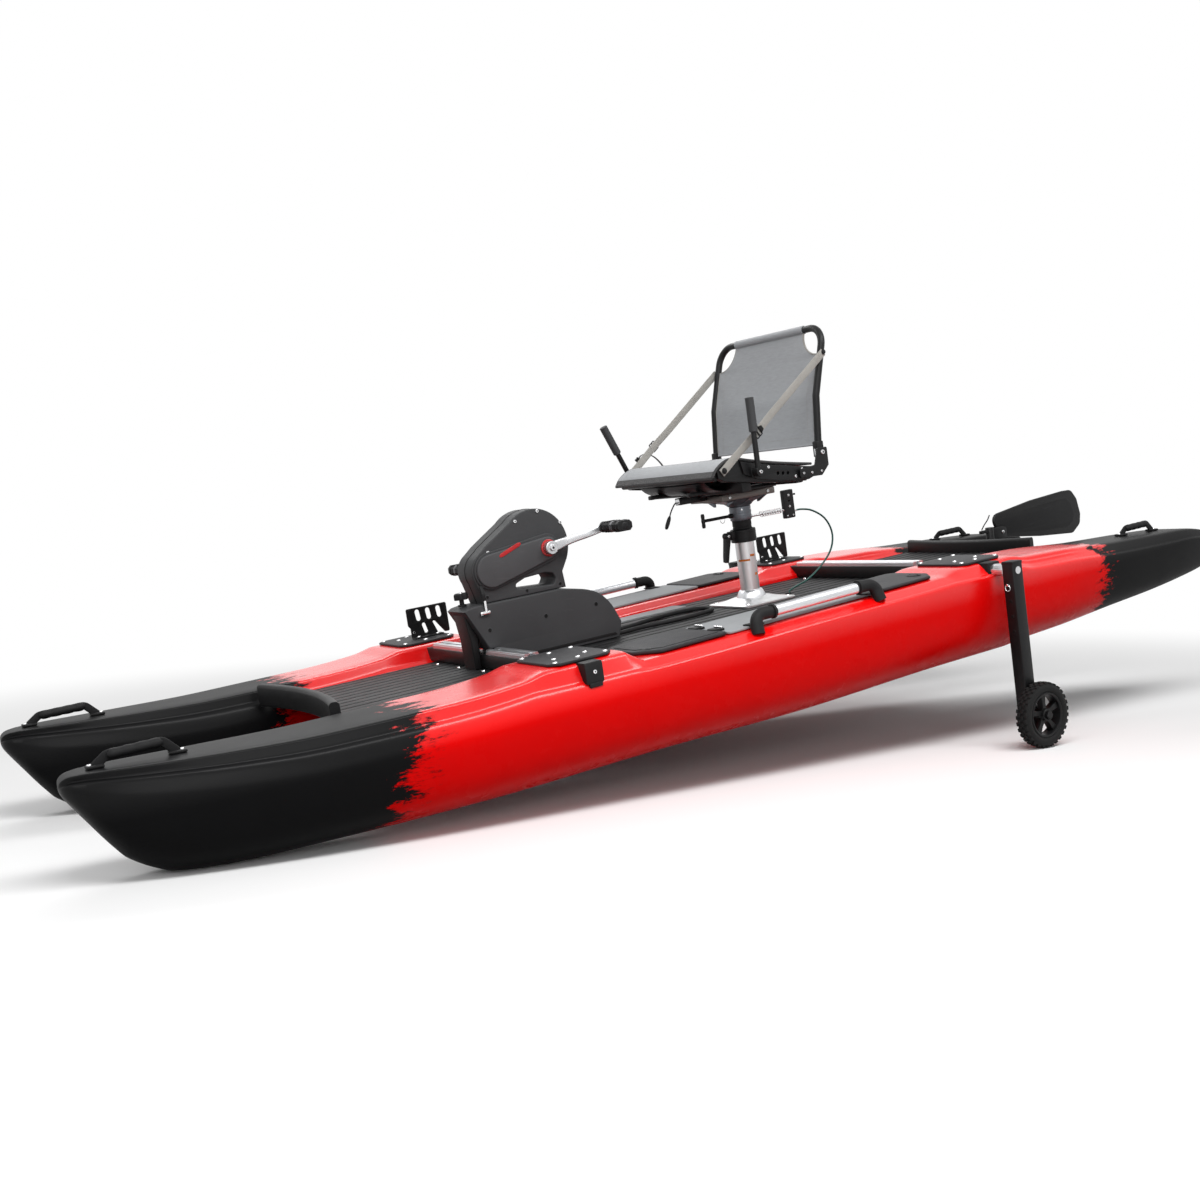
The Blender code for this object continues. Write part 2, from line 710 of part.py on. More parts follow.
def build_plate(name, bar_x, side):
    half, wide, cut = PLATE_LENGTH / 2, PLATE_WIDTH / 2, PLATE_CHAMFER
    corners = [(half, wide - cut), (half - cut, wide), (cut - half, wide), (-half, wide - cut),
               (-half, cut - wide), (cut - half, -wide), (half - cut, -wide), (half, cut - wide)]
    centre = side * PLATE_CENTRE_Y
    bottom = BAR_TOP + GAP
    top = bottom + PLATE_THICKNESS
    outline = [(bar_x + x, centre + y) for x, y in corners]
    heads = []
    for x in (-1, 1):
        for y in (-1, 1):
            spot = (bar_x + x * (half - cut * 0.8), centre + y * (wide - cut * 0.8), bottom + GAP)
            rise = top - spot[2]
            profile = [(0, SCREW_RADIUS), (rise + SCREW_RISE * 0.6, SCREW_RADIUS),
                       (rise + SCREW_RISE, SCREW_RADIUS * 0.6)]
            heads.append(turned(profile, spot, (0, 0, 1), SMALL_SIDES))
    return make(name, prism(outline, bottom, top, "z"), FINISH["black_plastic"], add=heads)


def build_accessory_bracket(name, bar_x):
    """A perforated upright sheet on a foot flange, standing on the starboard clamp plate."""
    base = BAR_TOP + PLATE_THICKNESS + 2 * GAP
    y = -PLATE_CENTRE_Y
    x0, x1 = bar_x - BRACKET_LENGTH / 2, bar_x + BRACKET_LENGTH / 2
    z1 = base + BRACKET_HEIGHT
    upright = block((x0, y, base), (x1, y + BRACKET_SHEET, z1))
    foot = block((x0 + 0.03, y, base), (x1 - 0.03, y + BRACKET_FOOT, base + BRACKET_SHEET))
    holes = []
    for row, height in enumerate((0.30, 0.74)):
        for column in range(3):
            centre = (x0 + BRACKET_LENGTH * (0.2 + 0.3 * column), y - 0.01, base + BRACKET_HEIGHT * height)
            end = (centre[0], y + BRACKET_SHEET + 0.01, centre[2])
            if row == 1 or column < 2:
                holes.append(rod(centre, end, BRACKET_HOLE, SMALL_SIDES))
    gap = prism([(x0 + BRACKET_LENGTH * 0.76, base + 0.012), (x0 + BRACKET_LENGTH * 0.92, base + 0.045),
                 (x0 + BRACKET_LENGTH * 0.70, base + 0.045)], y - 0.01, y + BRACKET_SHEET + 0.01, "y")
    make(name, upright, FINISH["black_metal"], add=[foot], cut=[*holes, gap])


def build_side_panel(name, side):
    front = FRONT_BAR_X - HUMP_HALF - HUMP_RAMP - PANEL_MARGIN
    rear = REAR_BAR_X + HUMP_HALF + HUMP_RAMP + PANEL_MARGIN
    middle = (front + rear) / 2
    y = side * HULL_SPACING / 2
    bottom = flat_top(middle) + GAP
    half = min(PANEL_WIDTH / 2, CROWN_HALF)
    length = (front - rear) / 2
    cut = PANEL_MARGIN
    outline = [(length, half - cut), (length - cut, half), (cut - length, half), (-length, half - cut),
               (-length, cut - half), (cut - length, -half), (length - cut, -half), (length, cut - half)]
    panel = prism([(middle + a, y + b) for a, b in outline], bottom, bottom + PANEL_THICKNESS, "z")
    slope = math.atan2(FLAT_TOP_REAR - FLAT_TOP_FRONT, front - rear + 2 * PANEL_MARGIN)
    tilted(panel, Vector((middle, y, bottom)), "Y", slope)
    make(name, panel, FINISH["black_plastic"])


def build_handle(name, x, side):
    row = between(stations(), x)
    ends = [between(stations(), x + sign * HANDLE_SPAN / 2) for sign in (1, -1)]
    y = side * hull_centre(row[6])
    feet = [Vector((end[0], y, end[3] + GAP)) for end in ends]
    top = max(foot.z for foot in feet) + HANDLE_RISE
    path = rounded([feet[0] + Vector((0, 0, 0.002)), Vector((x + HANDLE_SPAN * 0.34, y, top)),
                    Vector((x - HANDLE_SPAN * 0.34, y, top)), feet[1] + Vector((0, 0, 0.002))],
                   HANDLE_RISE * 0.8, 3)
    slope = math.atan2(ends[1][3] - ends[0][3], HANDLE_SPAN)
    pads = []
    for foot in feet:
        pad = block(foot - Vector((HANDLE_FOOT, HANDLE_FOOT * 0.8, 0)),
                    foot + Vector((HANDLE_FOOT, HANDLE_FOOT * 0.8, 0.007)))
        pads.append(tilted(pad, foot, "Y", slope))
    strap = sweep(path, HANDLE_RADIUS, SMALL_SIDES, 0.8, (0, 1, 0))
    reach = HANDLE_SPAN / 2 + 2 * HANDLE_FOOT
    crown = [(row[0], row[3] + GAP) for row in stations() if abs(row[0] - x) < reach]
    for sign in (1, -1):
        crown.append((x + sign * reach, between(stations(), x + sign * reach)[3] + GAP))
    crown.sort()
    hull_top = prism([(x + reach, 0.1), (x - reach, 0.1), *crown], y - 0.1, y + 0.1, "y")
    make(name, strap, FINISH["black_rubber"], add=pads, cut=[hull_top])


def build_rail(name, side):
    """A tube along the side panel, turned down at both ends onto feet on the panel."""
    path, pads = [], []
    for sign in (1, -1):
        x = sign * RAIL_HALF
        z = panel_top(x)
        path.append(Vector((x, side * RAIL_OUT, z + 0.004)))
        path.append(Vector((x, side * RAIL_OUT, z + RAIL_RISE)))
        ys = sorted((side * (RAIL_OUT - RAIL_PAD), side * (RAIL_OUT + RAIL_FOOT * 0.8)))
        pad = block((x - RAIL_FOOT, ys[0], z + GAP), (x + RAIL_FOOT, ys[1], z + 0.009))
        pads.append(tilted(pad, Vector((x, side * RAIL_OUT, z + GAP)), "Y", panel_slope()))
    route = [path[0], path[1], path[3], path[2]]
    bar = sweep(rounded(route, 0.026, 3), RAIL_RADIUS, SMALL_SIDES, 1.0, (0, 1, 0))
    make(name, bar, FINISH["aluminium"], add=pads)


def panel_slope():
    front = FRONT_BAR_X - HUMP_HALF - HUMP_RAMP
    rear = REAR_BAR_X + HUMP_HALF + HUMP_RAMP
    return math.atan2(FLAT_TOP_REAR - FLAT_TOP_FRONT, front - rear)


def panel_top(x):
    return flat_top(x) + GAP + PANEL_THICKNESS / math.cos(panel_slope())


# Pedal drive
def arc(centre_x, centre_z, radius, start, end, steps):
    """Points of an arc in the side view, angles in degrees from +X towards +Z."""
    points = []
    for i in range(steps + 1):
        angle = math.radians(start + (end - start) * i / steps)
        points.append((centre_x + radius * math.cos(angle), centre_z + radius * math.sin(angle)))
    return points


def stadium(big, small, steps=10):
    """The outline of a belt round the crank axle and the front lobe, for two radii."""
    run = Vector((FRONT_LOBE_X - CRANK_X, FRONT_LOBE_Z - CRANK_Z))
    heading = math.degrees(math.atan2(run.y, run.x))
    lean = math.degrees(math.acos((big - small) / run.length))
    rear = arc(CRANK_X, CRANK_Z, big, heading + lean, heading + 360 - lean, steps)
    front = arc(FRONT_LOBE_X, FRONT_LOBE_Z, small, heading - lean, heading + lean, steps // 2)
    return rear + front


def case_outline():
    rear = arc(CASE_X, CASE_Z, CASE_RADIUS, 214, 47, 10)
    saddle = [(CASE_X + 0.122, CASE_Z + 0.047), (CASE_X + 0.157, CASE_Z + 0.025)]
    front = arc(FRONT_LOBE_X, FRONT_LOBE_Z, FRONT_LOBE_RADIUS, 58, -28, 6)
    floor = BASE_TOP + GAP
    foot = [(FRONT_LOBE_X + 0.034, floor), (CASE_X - 0.078, floor), (CASE_X - 0.074, CASE_Z - 0.082)]
    return rear + saddle + front + foot


def lifting_slot():
    """The D-shaped hole below the axle, for the fingers."""
    return [(x, BASE_TOP + rise) for x, rise in SLOT_OUTLINE]


def build_case(name, side):
    inner = side * GAP / 2
    outer = side * CASE_HALF
    low, high = sorted((inner, outer))
    room = side * (CHAIN_HALF + CHAIN_ROOM)
    chain_r = CHAIN_THICKNESS + CHAIN_ROOM
    cavity = prism(stadium(RING_RADIUS + chain_r, SPROCKET_RADIUS + chain_r), *sorted((-room, room)), "y")
    axle = rod((CRANK_X, -0.2, CRANK_Z), (CRANK_X, 0.2, CRANK_Z), AXLE_RADIUS + 2 * RUNNING, 16)
    shaft = rod((FRONT_LOBE_X, -JACKSHAFT_HALF - GAP, FRONT_LOBE_Z),
                (FRONT_LOBE_X, JACKSHAFT_HALF + GAP, FRONT_LOBE_Z), JACKSHAFT_RADIUS + 2 * RUNNING, 16)
    slot = prism(lifting_slot(), -0.2, 0.2, "y")
    cover = prism(stadium(0.030, 0.046, 8), *sorted((outer - side * 0.004, outer + side * COVER_RISE)), "y")
    make(name, prism(case_outline(), low, high, "y"), FINISH["drive_plastic"], add=[cover],
         cut=[cavity, axle, shaft, slot])


def build_drive_base():
    floor = DECK_TOP + GAP
    bar_front = FRONT_BAR_X + BAR_SIZE / 2 + GAP
    bar_rear = FRONT_BAR_X - BAR_SIZE / 2 - GAP
    saddle = BAR_TOP + GAP
    rear = BASE_REAR[0][0] + 0.014
    outline = [(rear, floor), *BASE_REAR, (0.500, BASE_TOP), (0.765, BASE_TOP), (BASE_NOSE_X, BASE_NOSE_Z),
               (bar_front - 0.022, saddle), (bar_rear, saddle), (bar_rear, floor)]
    inside = DRIVE_HALF - DRIVE_WALL
    pocket = block((rear + 0.05, -inside, floor - 0.05), (bar_rear - DRIVE_WALL, inside, 0.370))
    foot = block((bar_front, -0.035, floor), (bar_front + 0.020, 0.035, 0.388))
    make("drive_base", prism(outline, -DRIVE_HALF, DRIVE_HALF, "y"), FINISH["drive_plastic"],
         add=[foot], cut=[pocket])


def crank_tip(side):
    heading = math.pi - CRANK_RISE if side == PORT else -CRANK_RISE
    run = Vector((math.cos(heading), 0, math.sin(heading)))
    return Vector((CRANK_X, 0, CRANK_Z)) + run * CRANK_LENGTH, run


def crank_arm(side):
    """The bodies of an arm: it leaves the axle, flares outwards and ends in the pedal's spindle."""
    tip, run = crank_tip(side)
    hub = Vector((CRANK_X, 0, CRANK_Z))
    across = run.cross(Vector((0, side, 0)))
    rings = []
    sections = ((hub, 0.0, 0.016), (hub + run * 0.05, 0.002, 0.014), (tip - run * 0.035, CRANK_FLARE, 0.012),
                (tip, CRANK_FLARE, 0.012))
    for centre, y, half in sections:
        near = Vector((0, side * (CRANK_Y + y), 0))
        far = Vector((0, side * (CRANK_Y + y + CRANK_THICKNESS), 0))
        wide = across * half
        rings.append([centre + wide + near, centre - wide + near, centre - wide + far, centre + wide + far])
    face = CRANK_Y + CRANK_FLARE
    out = Vector((0, side, 0))
    boss = rod(hub + out * CRANK_Y, hub + out * (CRANK_Y + CRANK_THICKNESS + 0.004), CRANK_BOSS, 16)
    eye = rod(tip + out * face, tip + out * (face + CRANK_THICKNESS), CRANK_EYE, SIDES)
    spindle = rod(tip + out * (face + 0.004), tip + out * (face + CRANK_THICKNESS + PEDAL_WIDTH * 0.8),
                  SPINDLE_RADIUS, SMALL_SIDES)
    return [ring_loft(rings), boss, eye, spindle]


def build_cranks():
    origin = Vector((CRANK_X, 0, CRANK_Z))
    across = Vector((0, 1, 0))
    axle = rod(origin - across * (CRANK_Y + CRANK_THICKNESS / 2), origin + across * (CRANK_Y + CRANK_THICKNESS),
               AXLE_RADIUS, SIDES)
    tooth = across * (CHAIN_HALF - 0.001)
    ring = rod(origin - tooth, origin + tooth, RING_RADIUS, 24)
    make("crank_axle", axle, FINISH["aluminium"], origin, add=[ring, *crank_arm(STARBOARD)])
    arm, *rest = crank_arm(PORT)
    bore = rod((CRANK_X, 0, CRANK_Z), (CRANK_X, 0.2, CRANK_Z), AXLE_RADIUS + 2 * RUNNING, 16)
    make("port_crank", arm, FINISH["aluminium"], origin, add=rest, cut=[bore])


def build_pedal(name, side):
    tip, _ = crank_tip(side)
    near = CRANK_Y + CRANK_FLARE + CRANK_THICKNESS + GAP
    half, tall, cut = PEDAL_LENGTH / 2, PEDAL_HEIGHT / 2, 0.007
    outline = [(half, tall - cut), (half - cut, tall), (cut - half, tall), (-half, tall - cut),
               (-half, cut - tall), (cut - half, -tall), (half - cut, -tall), (half, cut - tall)]
    ends = sorted((side * near, side * (near + PEDAL_WIDTH)))
    body = prism([(tip.x + x, tip.z + z) for x, z in outline], *ends, "y")
    out = Vector((0, side, 0))
    bore = rod(tip + out * (near - 0.02), tip + out * (near + PEDAL_WIDTH * 0.82),
               SPINDLE_RADIUS + 2 * RUNNING, SIDES)
    make(name, body, FINISH["black_metal"], tip, cut=[bore])


def build_transmission():
    inner = stadium(RING_RADIUS + RUNNING, SPROCKET_RADIUS + RUNNING, 20)
    outer = stadium(RING_RADIUS + CHAIN_THICKNESS, SPROCKET_RADIUS + CHAIN_THICKNESS, 20)
    loops = []
    for outline, y in ((inner, -CHAIN_HALF), (outer, -CHAIN_HALF), (outer, CHAIN_HALF), (inner, CHAIN_HALF)):
        loops.append([Vector((x, y, z)) for x, z in outline])
    make("drive_chain", closed_loft(loops), FINISH["steel"])
    centre = Vector((FRONT_LOBE_X, 0, FRONT_LOBE_Z))
    profile = [(-JACKSHAFT_HALF, JACKSHAFT_RADIUS), (-CHAIN_HALF + 0.001, JACKSHAFT_RADIUS),
               (-CHAIN_HALF + 0.001, SPROCKET_RADIUS), (CHAIN_HALF - 0.001, SPROCKET_RADIUS),
               (CHAIN_HALF - 0.001, JACKSHAFT_RADIUS), (JACKSHAFT_HALF, JACKSHAFT_RADIUS)]
    make("jackshaft", turned(profile, centre, (0, 1, 0), 20), FINISH["steel"], centre)


def build_lower_unit():
    floor = DECK_TOP + GAP
    inside = DRIVE_HALF - DRIVE_WALL - 2 * GAP
    flange = block((BASE_REAR[0][0] + 0.066, -inside, floor),
                   (FRONT_BAR_X - BAR_SIZE / 2 - DRIVE_WALL - 3 * GAP, inside, floor + 0.008))
    strut = [(LEG_X + 0.042, 0.0), (LEG_X + 0.020, 0.015), (LEG_X - 0.014, 0.015), (LEG_X - 0.042, 0.0),
             (LEG_X - 0.014, -0.015), (LEG_X + 0.020, -0.015)]
    leg = prism(strut, GEARCASE_Z, 0.355, "z")
    body = turned([(0.0, 0.008), (0.020, 0.019), (0.050, GEARCASE_RADIUS),
                   (LEG_X + 0.085 - PROPELLER_X - 0.021, 0.020)],
                  (LEG_X + 0.085, 0, GEARCASE_Z), (-1, 0, 0), 10)
    bore = rod((PROPELLER_X, 0, GEARCASE_Z), (PROPELLER_X + 0.06, 0, GEARCASE_Z), 0.006 + 2 * RUNNING, SIDES)
    make("gearcase", flange, FINISH["drive_plastic"], add=[leg, body], cut=[bore])


def build_propeller():
    centre = Vector((PROPELLER_X, 0, GEARCASE_Z))
    hub = turned([(-0.050, 0.006), (-0.0205, 0.006), (-0.0205, 0.018), (0.010, 0.017), (0.032, 0.006)],
                 centre, (-1, 0, 0), SIDES)
    blades = []
    for i in range(3):
        rings = []
        for share, chord, twist in ((0.15, 0.024, 58), (0.5, 0.040, 38), (0.85, 0.036, 26), (1.0, 0.014, 22)):
            turn = math.radians(twist)
            along = Vector((math.cos(turn), math.sin(turn), 0)) * chord / 2
            thick = Vector((-math.sin(turn), math.cos(turn), 0)) * 0.002
            base = Vector((0, 0, PROPELLER_RADIUS * share))
            rings.append([base + along, base + thick, base - along, base - thick])
        blade = ring_loft(rings)
        spin = Matrix.Translation(centre) @ Matrix.Rotation(2 * math.pi * i / 3, 4, "X")
        bmesh.ops.transform(blade, matrix=spin, verts=blade.verts)
        blades.append(blade)
    make("propeller", hub, FINISH["black_plastic"], centre, add=blades)


def build_drive_knob():
    base = Vector((KNOB_X, 0, BASE_TOP + GAP))
    stem = turned([(0, 0.012), (0.005, 0.012), (0.005, 0.006), (0.020, 0.006), (0.020, KNOB_RADIUS),
                   (0.034, KNOB_RADIUS), (0.037, KNOB_RADIUS * 0.8)], base, (0, 0, 1), SIDES)
    grips = []
    for i in range(6):
        angle = math.pi / 6 + math.pi * i / 3
        spot = base + Vector((math.cos(angle), math.sin(angle), 0)) * (KNOB_RADIUS * 1.12)
        grips.append(rod(spot + Vector((0, 0, 0.012)), spot + Vector((0, 0, 0.045)), 0.005, 6))
    make("drive_knob", stem, FINISH["black_plastic"], base, cut=grips)


# Pedestal and post
def build_pedestal():
    floor = DECK_TOP + GAP
    half = PEDESTAL_PLATE / 2
    base = Vector((POST_X, 0, 0))
    rings = []
    for share, rise in ((1.0, 0.0), (1.0, PEDESTAL_RISE), (0.55, PEDESTAL_RISE + 0.012)):
        reach = half * share
        rings.append([Vector((POST_X + x * reach, y * reach, floor + rise))
                      for x, y in ((1, 1), (-1, 1), (-1, -1), (1, -1))])
    plate = ring_loft(rings)
    column = turned([(floor + 0.010, PEDESTAL_HUB), (PEDESTAL_HUB_TOP, PEDESTAL_HUB * 0.85),
                     (PEDESTAL_HUB_TOP, POST_RADIUS), (COLLAR_BOTTOM, POST_RADIUS),
                     (COLLAR_BOTTOM, COLLAR_RADIUS), (COLLAR_TOP, COLLAR_RADIUS)], base, (0, 0, 1), 20)
    lug = block((POST_X + COLLAR_RADIUS - 0.008, -0.012, COLLAR_BOTTOM + 0.012),
                (POST_X + COLLAR_RADIUS + CAM_LUG, 0.012, COLLAR_TOP - 0.002))
    bore = rod((POST_X, 0, floor + 0.040), (POST_X, 0, COLLAR_TOP + 0.05), POST_RADIUS - POST_WALL, 20)
    make("pedestal", plate, FINISH["aluminium"], add=[column, lug], cut=[bore])


def cam_pivot():
    return Vector((POST_X + COLLAR_RADIUS + CAM_LUG + CAM_RADIUS + GAP, 0, COLLAR_TOP - 0.014))


def build_cam_lever():
    pivot = cam_pivot()
    head = arc(pivot.x, pivot.z, CAM_RADIUS, 235.0, -20.0, 10)
    tail = [(0.020, -CAM_LENGTH), (0.011, -CAM_LENGTH - 0.004)]
    lever = prism(head + [(pivot.x + x, pivot.z + z) for x, z in tail], -0.011, 0.011, "y")
    make("cam_lever", lever, FINISH["black_plastic"], pivot)


def build_inner_post():
    radius = POST_RADIUS - POST_WALL - 3 * RUNNING
    base = Vector((POST_X, 0, 0))
    lock = rod((POST_X, 0, LOCK_Z), (POST_X + 0.1, 0, LOCK_Z), LOCK_ROD + 2 * RUNNING, SIDES)
    post = turned([(POST_FOOT, radius), (COLLAR_TOP + GAP, radius), (COLLAR_TOP + GAP, POST_RADIUS),
                   (SLEEVE_TOP, POST_RADIUS), (SLEEVE_TOP, NECK_RADIUS), (NECK_TOP, NECK_RADIUS)],
                  base, (0, 0, 1), 20)
    make("inner_post", post, FINISH["grey_metal"], base, cut=[lock])


def build_lock_handle():
    start = Vector((POST_X + 0.012, 0, LOCK_Z))
    end = POST_X + LOCK_REACH
    bar = rod((end, 0, LOCK_Z - LOCK_BAR_HALF), (end, 0, LOCK_Z + LOCK_BAR_HALF), 0.006, SMALL_SIDES)
    pull = rod(start, (end, 0, LOCK_Z), LOCK_ROD, SMALL_SIDES)
    make("lock_handle", pull, FINISH["black_metal"], start, add=[bar])


def build_cable_bracket():
    x0 = CABLE_PLATE_X - CABLE_PLATE_LENGTH
    plate = block((x0, -0.008, CABLE_PLATE_BOTTOM), (CABLE_PLATE_X, 0.008, CABLE_PLATE_TOP), 0.002)
    stem = rod((POST_X - NECK_RADIUS / 2, 0, CABLE_ROD_Z + 0.006),
               (CABLE_PLATE_X - 0.01, 0, CABLE_ROD_Z + 0.006), 0.004, SMALL_SIDES)
    bolts = [rod((x0 + 0.02, -0.014, z), (x0 + 0.02, 0.014, z), 0.006, SMALL_SIDES) for z in (0.555, 0.530)]
    clear = rod((POST_X, 0, CABLE_ROD_Z - 0.1), (POST_X, 0, CABLE_ROD_Z + 0.1), NECK_RADIUS + GAP, 20)
    make("cable_bracket", plate, FINISH["black_metal"], add=[stem, *bolts], cut=[clear])


def spring_route():
    """The spring's helix round the bracket's stem, with straight ends square to the plate."""
    run = SPRING_END - SPRING_START
    steps = SPRING_TURNS * 9
    centre = CABLE_ROD_Z + 0.006
    points = []
    for i in range(steps + 1):
        turn = 2 * math.pi * i / 9
        points.append(Vector((SPRING_START + run * i / steps, SPRING_RADIUS * math.sin(turn),
                              centre + SPRING_RADIUS * math.cos(turn))))
    straight = Vector((2 * SPRING_WIRE, 0, 0))
    return [points[0] + straight, *points, points[-1] - straight]


def print_spring_gap(route):
    least = min((route[i] - route[j]).length for i in range(len(route)) for j in range(i + 5, len(route)))
    print(f"spring: least gap between curls {1000 * (least - 2 * SPRING_WIRE):.2f} mm")


# Seat
def build_swivel_head():
    low = NECK_TOP + GAP
    rings = []
    for z, front, rear, half in ((low, 0.036, 0.036, 0.036), (low + 0.010, 0.042, 0.042, 0.040),
                                 (HEAD_TOP - 0.016, 0.120, 0.075, 0.078), (HEAD_TOP, 0.128, 0.082, 0.082)):
        rings.append([Vector((POST_X + front, half, z)), Vector((POST_X - rear, half, z)),
                      Vector((POST_X - rear, -half, z)), Vector((POST_X + front, -half, z))])
    make("swivel_head", ring_loft(rings), FINISH["grey_metal"], Vector((POST_X, 0, low)))


def under_seat():
    """The sling's lower side: its upper side moved along the normal by the cloth's thickness."""
    points = [Vector(p) for p in SEAT_LINE]
    low = []
    for i, point in enumerate(points):
        run = (points[max(i - 1, 0)] - points[min(i + 1, len(points) - 1)]).normalized()
        low.append(point + Vector((run.y, -run.x)) * SEAT_CLOTH)
    return low


def ear_plate(side):
    """The rear plate that carries the backrest's pivot pin, with its spacer and pin."""
    inner = side * (BACK_Y + BACK_TUBE + GAP)
    outer = inner + side * EAR_THICKNESS
    x, z = BACK_PIVOT_X, BACK_PIVOT_Z
    outline = [(x - 0.020, z + 0.014), (x + 0.018, z + 0.014), (x + 0.034, z - 0.034), (x + 0.095, z - 0.040),
               (x + 0.095, z - 0.066), (x + 0.010, z - 0.068), (x - 0.020, z - 0.040)]
    plate = prism(outline, *sorted((inner, outer)), "y")
    rail = side * (SEAT_RAIL_Y + SEAT_RAIL_WIDTH / 2 - 0.004)
    ys = sorted((rail, inner + side * 0.003))
    spacer = block((x + 0.048, ys[0], z - 0.062), (x + 0.090, ys[1], z - 0.044))
    pin = rod((x, side * (BACK_Y - 0.004), z), (x, inner + side * 0.003, z), PIN_RADIUS, SMALL_SIDES)
    return [plate, spacer, pin]


def lever_bracket(side):
    x = PORT_LEVER_X if side == PORT else STARBOARD_LEVER_X
    ys = sorted((side * (SEAT_RAIL_Y + SEAT_RAIL_WIDTH / 2 - 0.004), side * LEVER_Y))
    lug = block((x - 0.014, ys[0], LEVER_Z - 0.014), (x + 0.014, ys[1], LEVER_Z + 0.014), 0.002)
    pin = rod((x, side * (LEVER_Y - 0.01), LEVER_Z), (x, side * (LEVER_Y + 0.02), LEVER_Z),
              PIN_RADIUS, SMALL_SIDES)
    return [lug, pin]


def build_seat_frame():
    width = SEAT_RAIL_WIDTH / 2
    floor = HEAD_TOP + GAP
    plate = block((POST_X - 0.09, -0.085, floor), (POST_X + 0.12, 0.085, floor + 0.012))
    parts = [
        block((-0.285, -SEAT_RAIL_Y, floor + 0.004), (-0.255, SEAT_RAIL_Y, 0.636)),
        block((-0.085, -SEAT_RAIL_Y, floor + 0.004), (-0.050, SEAT_RAIL_Y, 0.660)),
        block((-0.280, -0.030, floor + 0.004), (-0.055, 0.030, floor + 0.020)),
        block((POST_X + 0.130, -0.013, floor - 0.012), (FORWARD_BAR_END, 0.013, floor + 0.010)),
    ]
    top = [(p.x, p.y - GAP) for p in under_seat()[2:]]
    for side in (PORT, STARBOARD):
        ys = sorted((side * (SEAT_RAIL_Y - width), side * (SEAT_RAIL_Y + width)))
        parts.append(prism([*top, *RAIL_UNDERSIDE], *ys, "y"))
        parts += ear_plate(side)
        parts += lever_bracket(side)
    make("seat_frame", plate, FINISH["black_metal"], Vector((POST_X, 0, floor)), add=parts)


def build_seat_fabric():
    """The sling: it rolls over its front lip, crests, and falls towards the back."""
    low = under_seat()
    profile = [*SEAT_LINE, *[tuple(p) for p in reversed(low)]]
    sling = prism(profile, -SEAT_HALF, SEAT_HALF, "y")
    make("seat_fabric", sling, FINISH["grey_fabric"], Vector((POST_X, 0, HEAD_TOP)))


def on_back(along, y=0.0):
    """A point of the bent backrest, by its distance from the pivot."""
    first = min(along, BACK_BEND)
    second = max(along - BACK_BEND, 0.0)
    return Vector((BACK_PIVOT_X - first * math.sin(BACK_LEAN) - second * math.sin(BACK_TOP_LEAN), y,
                   BACK_PIVOT_Z + first * math.cos(BACK_LEAN) + second * math.cos(BACK_TOP_LEAN)))


def back_normal(along):
    lean = BACK_LEAN if along < BACK_BEND - 0.001 else BACK_TOP_LEAN
    if abs(along - BACK_BEND) <= 0.001:
        lean = (BACK_LEAN + BACK_TOP_LEAN) / 2
    return Vector((math.cos(lean), 0, math.sin(lean)))


def build_back_frame():
    pivot = Vector((BACK_PIVOT_X, 0, BACK_PIVOT_Z))
    upper = rounded([on_back(BACK_BEND + 0.02, BACK_Y), on_back(BACK_HEIGHT, BACK_Y),
                     on_back(BACK_HEIGHT, -BACK_Y), on_back(BACK_BEND + 0.02, -BACK_Y)], BACK_CORNER, 5)
    path = [on_back(0.0, BACK_Y), on_back(BACK_BEND, BACK_Y), *upper[1:-1], on_back(BACK_BEND, -BACK_Y),
            on_back(0.0, -BACK_Y)]
    normal = back_normal(BACK_BEND)
    hoop = sweep(path, BACK_TUBE, SMALL_SIDES, 1.0, normal)
    eyes, bores = [], []
    for side in (PORT, STARBOARD):
        out = Vector((0, side, 0))
        near, far = pivot + out * (BACK_Y - BACK_TUBE), pivot + out * (BACK_Y + BACK_TUBE)
        eyes.append(rod(near, far, EYE_RADIUS, SIDES))
        bores.append(rod(pivot + out * (BACK_Y - 0.005), pivot + out * (BACK_Y + 0.05),
                         PIN_RADIUS + 2 * RUNNING, SIDES))
    make("back_frame", hoop, FINISH["black_metal"], pivot, add=eyes, cut=bores)


def build_back_fabric():
    """The sling between the tubes: bent like them, its upper corners cut off."""
    pivot = Vector((BACK_PIVOT_X, 0, BACK_PIVOT_Z))
    inset = BACK_TUBE * math.cos(math.pi / SMALL_SIDES) + GAP
    half = BACK_Y - inset
    top = BACK_HEIGHT - inset - GAP
    notch = BACK_CORNER + 0.012
    rings = []
    for along, wide in ((0.024, half), (BACK_BEND, half), (top - notch, half), (top, half - notch)):
        centre = on_back(along)
        offset = back_normal(along) * BACK_CLOTH / 2
        across = Vector((0, wide, 0))
        rings.append([centre + across + offset, centre - across + offset, centre - across - offset,
                      centre + across - offset])
    make("back_fabric", ring_loft(rings), FINISH["grey_fabric"], pivot)


def build_strap(name, side):
    top = on_back(STRAP_ALONG_BACK, side * (BACK_Y + BACK_TUBE + GAP + STRAP_THICKNESS / 2))
    low = Vector((STRAP_FOOT_X, side * (SEAT_HALF + GAP + STRAP_THICKNESS / 2), STRAP_FOOT_Z))
    run = (low - top).normalized()
    lift = Vector((-run.z, 0, run.x)).normalized() * STRAP_WIDTH / 2
    thick = Vector((0, STRAP_THICKNESS / 2, 0))
    corners = (lift + thick, thick - lift, -lift - thick, lift - thick)
    rings = [[end + corner for corner in corners] for end in (top, low)]
    make(name, ring_loft(rings), FINISH["pale_webbing"], Vector((POST_X, 0, NECK_TOP)))


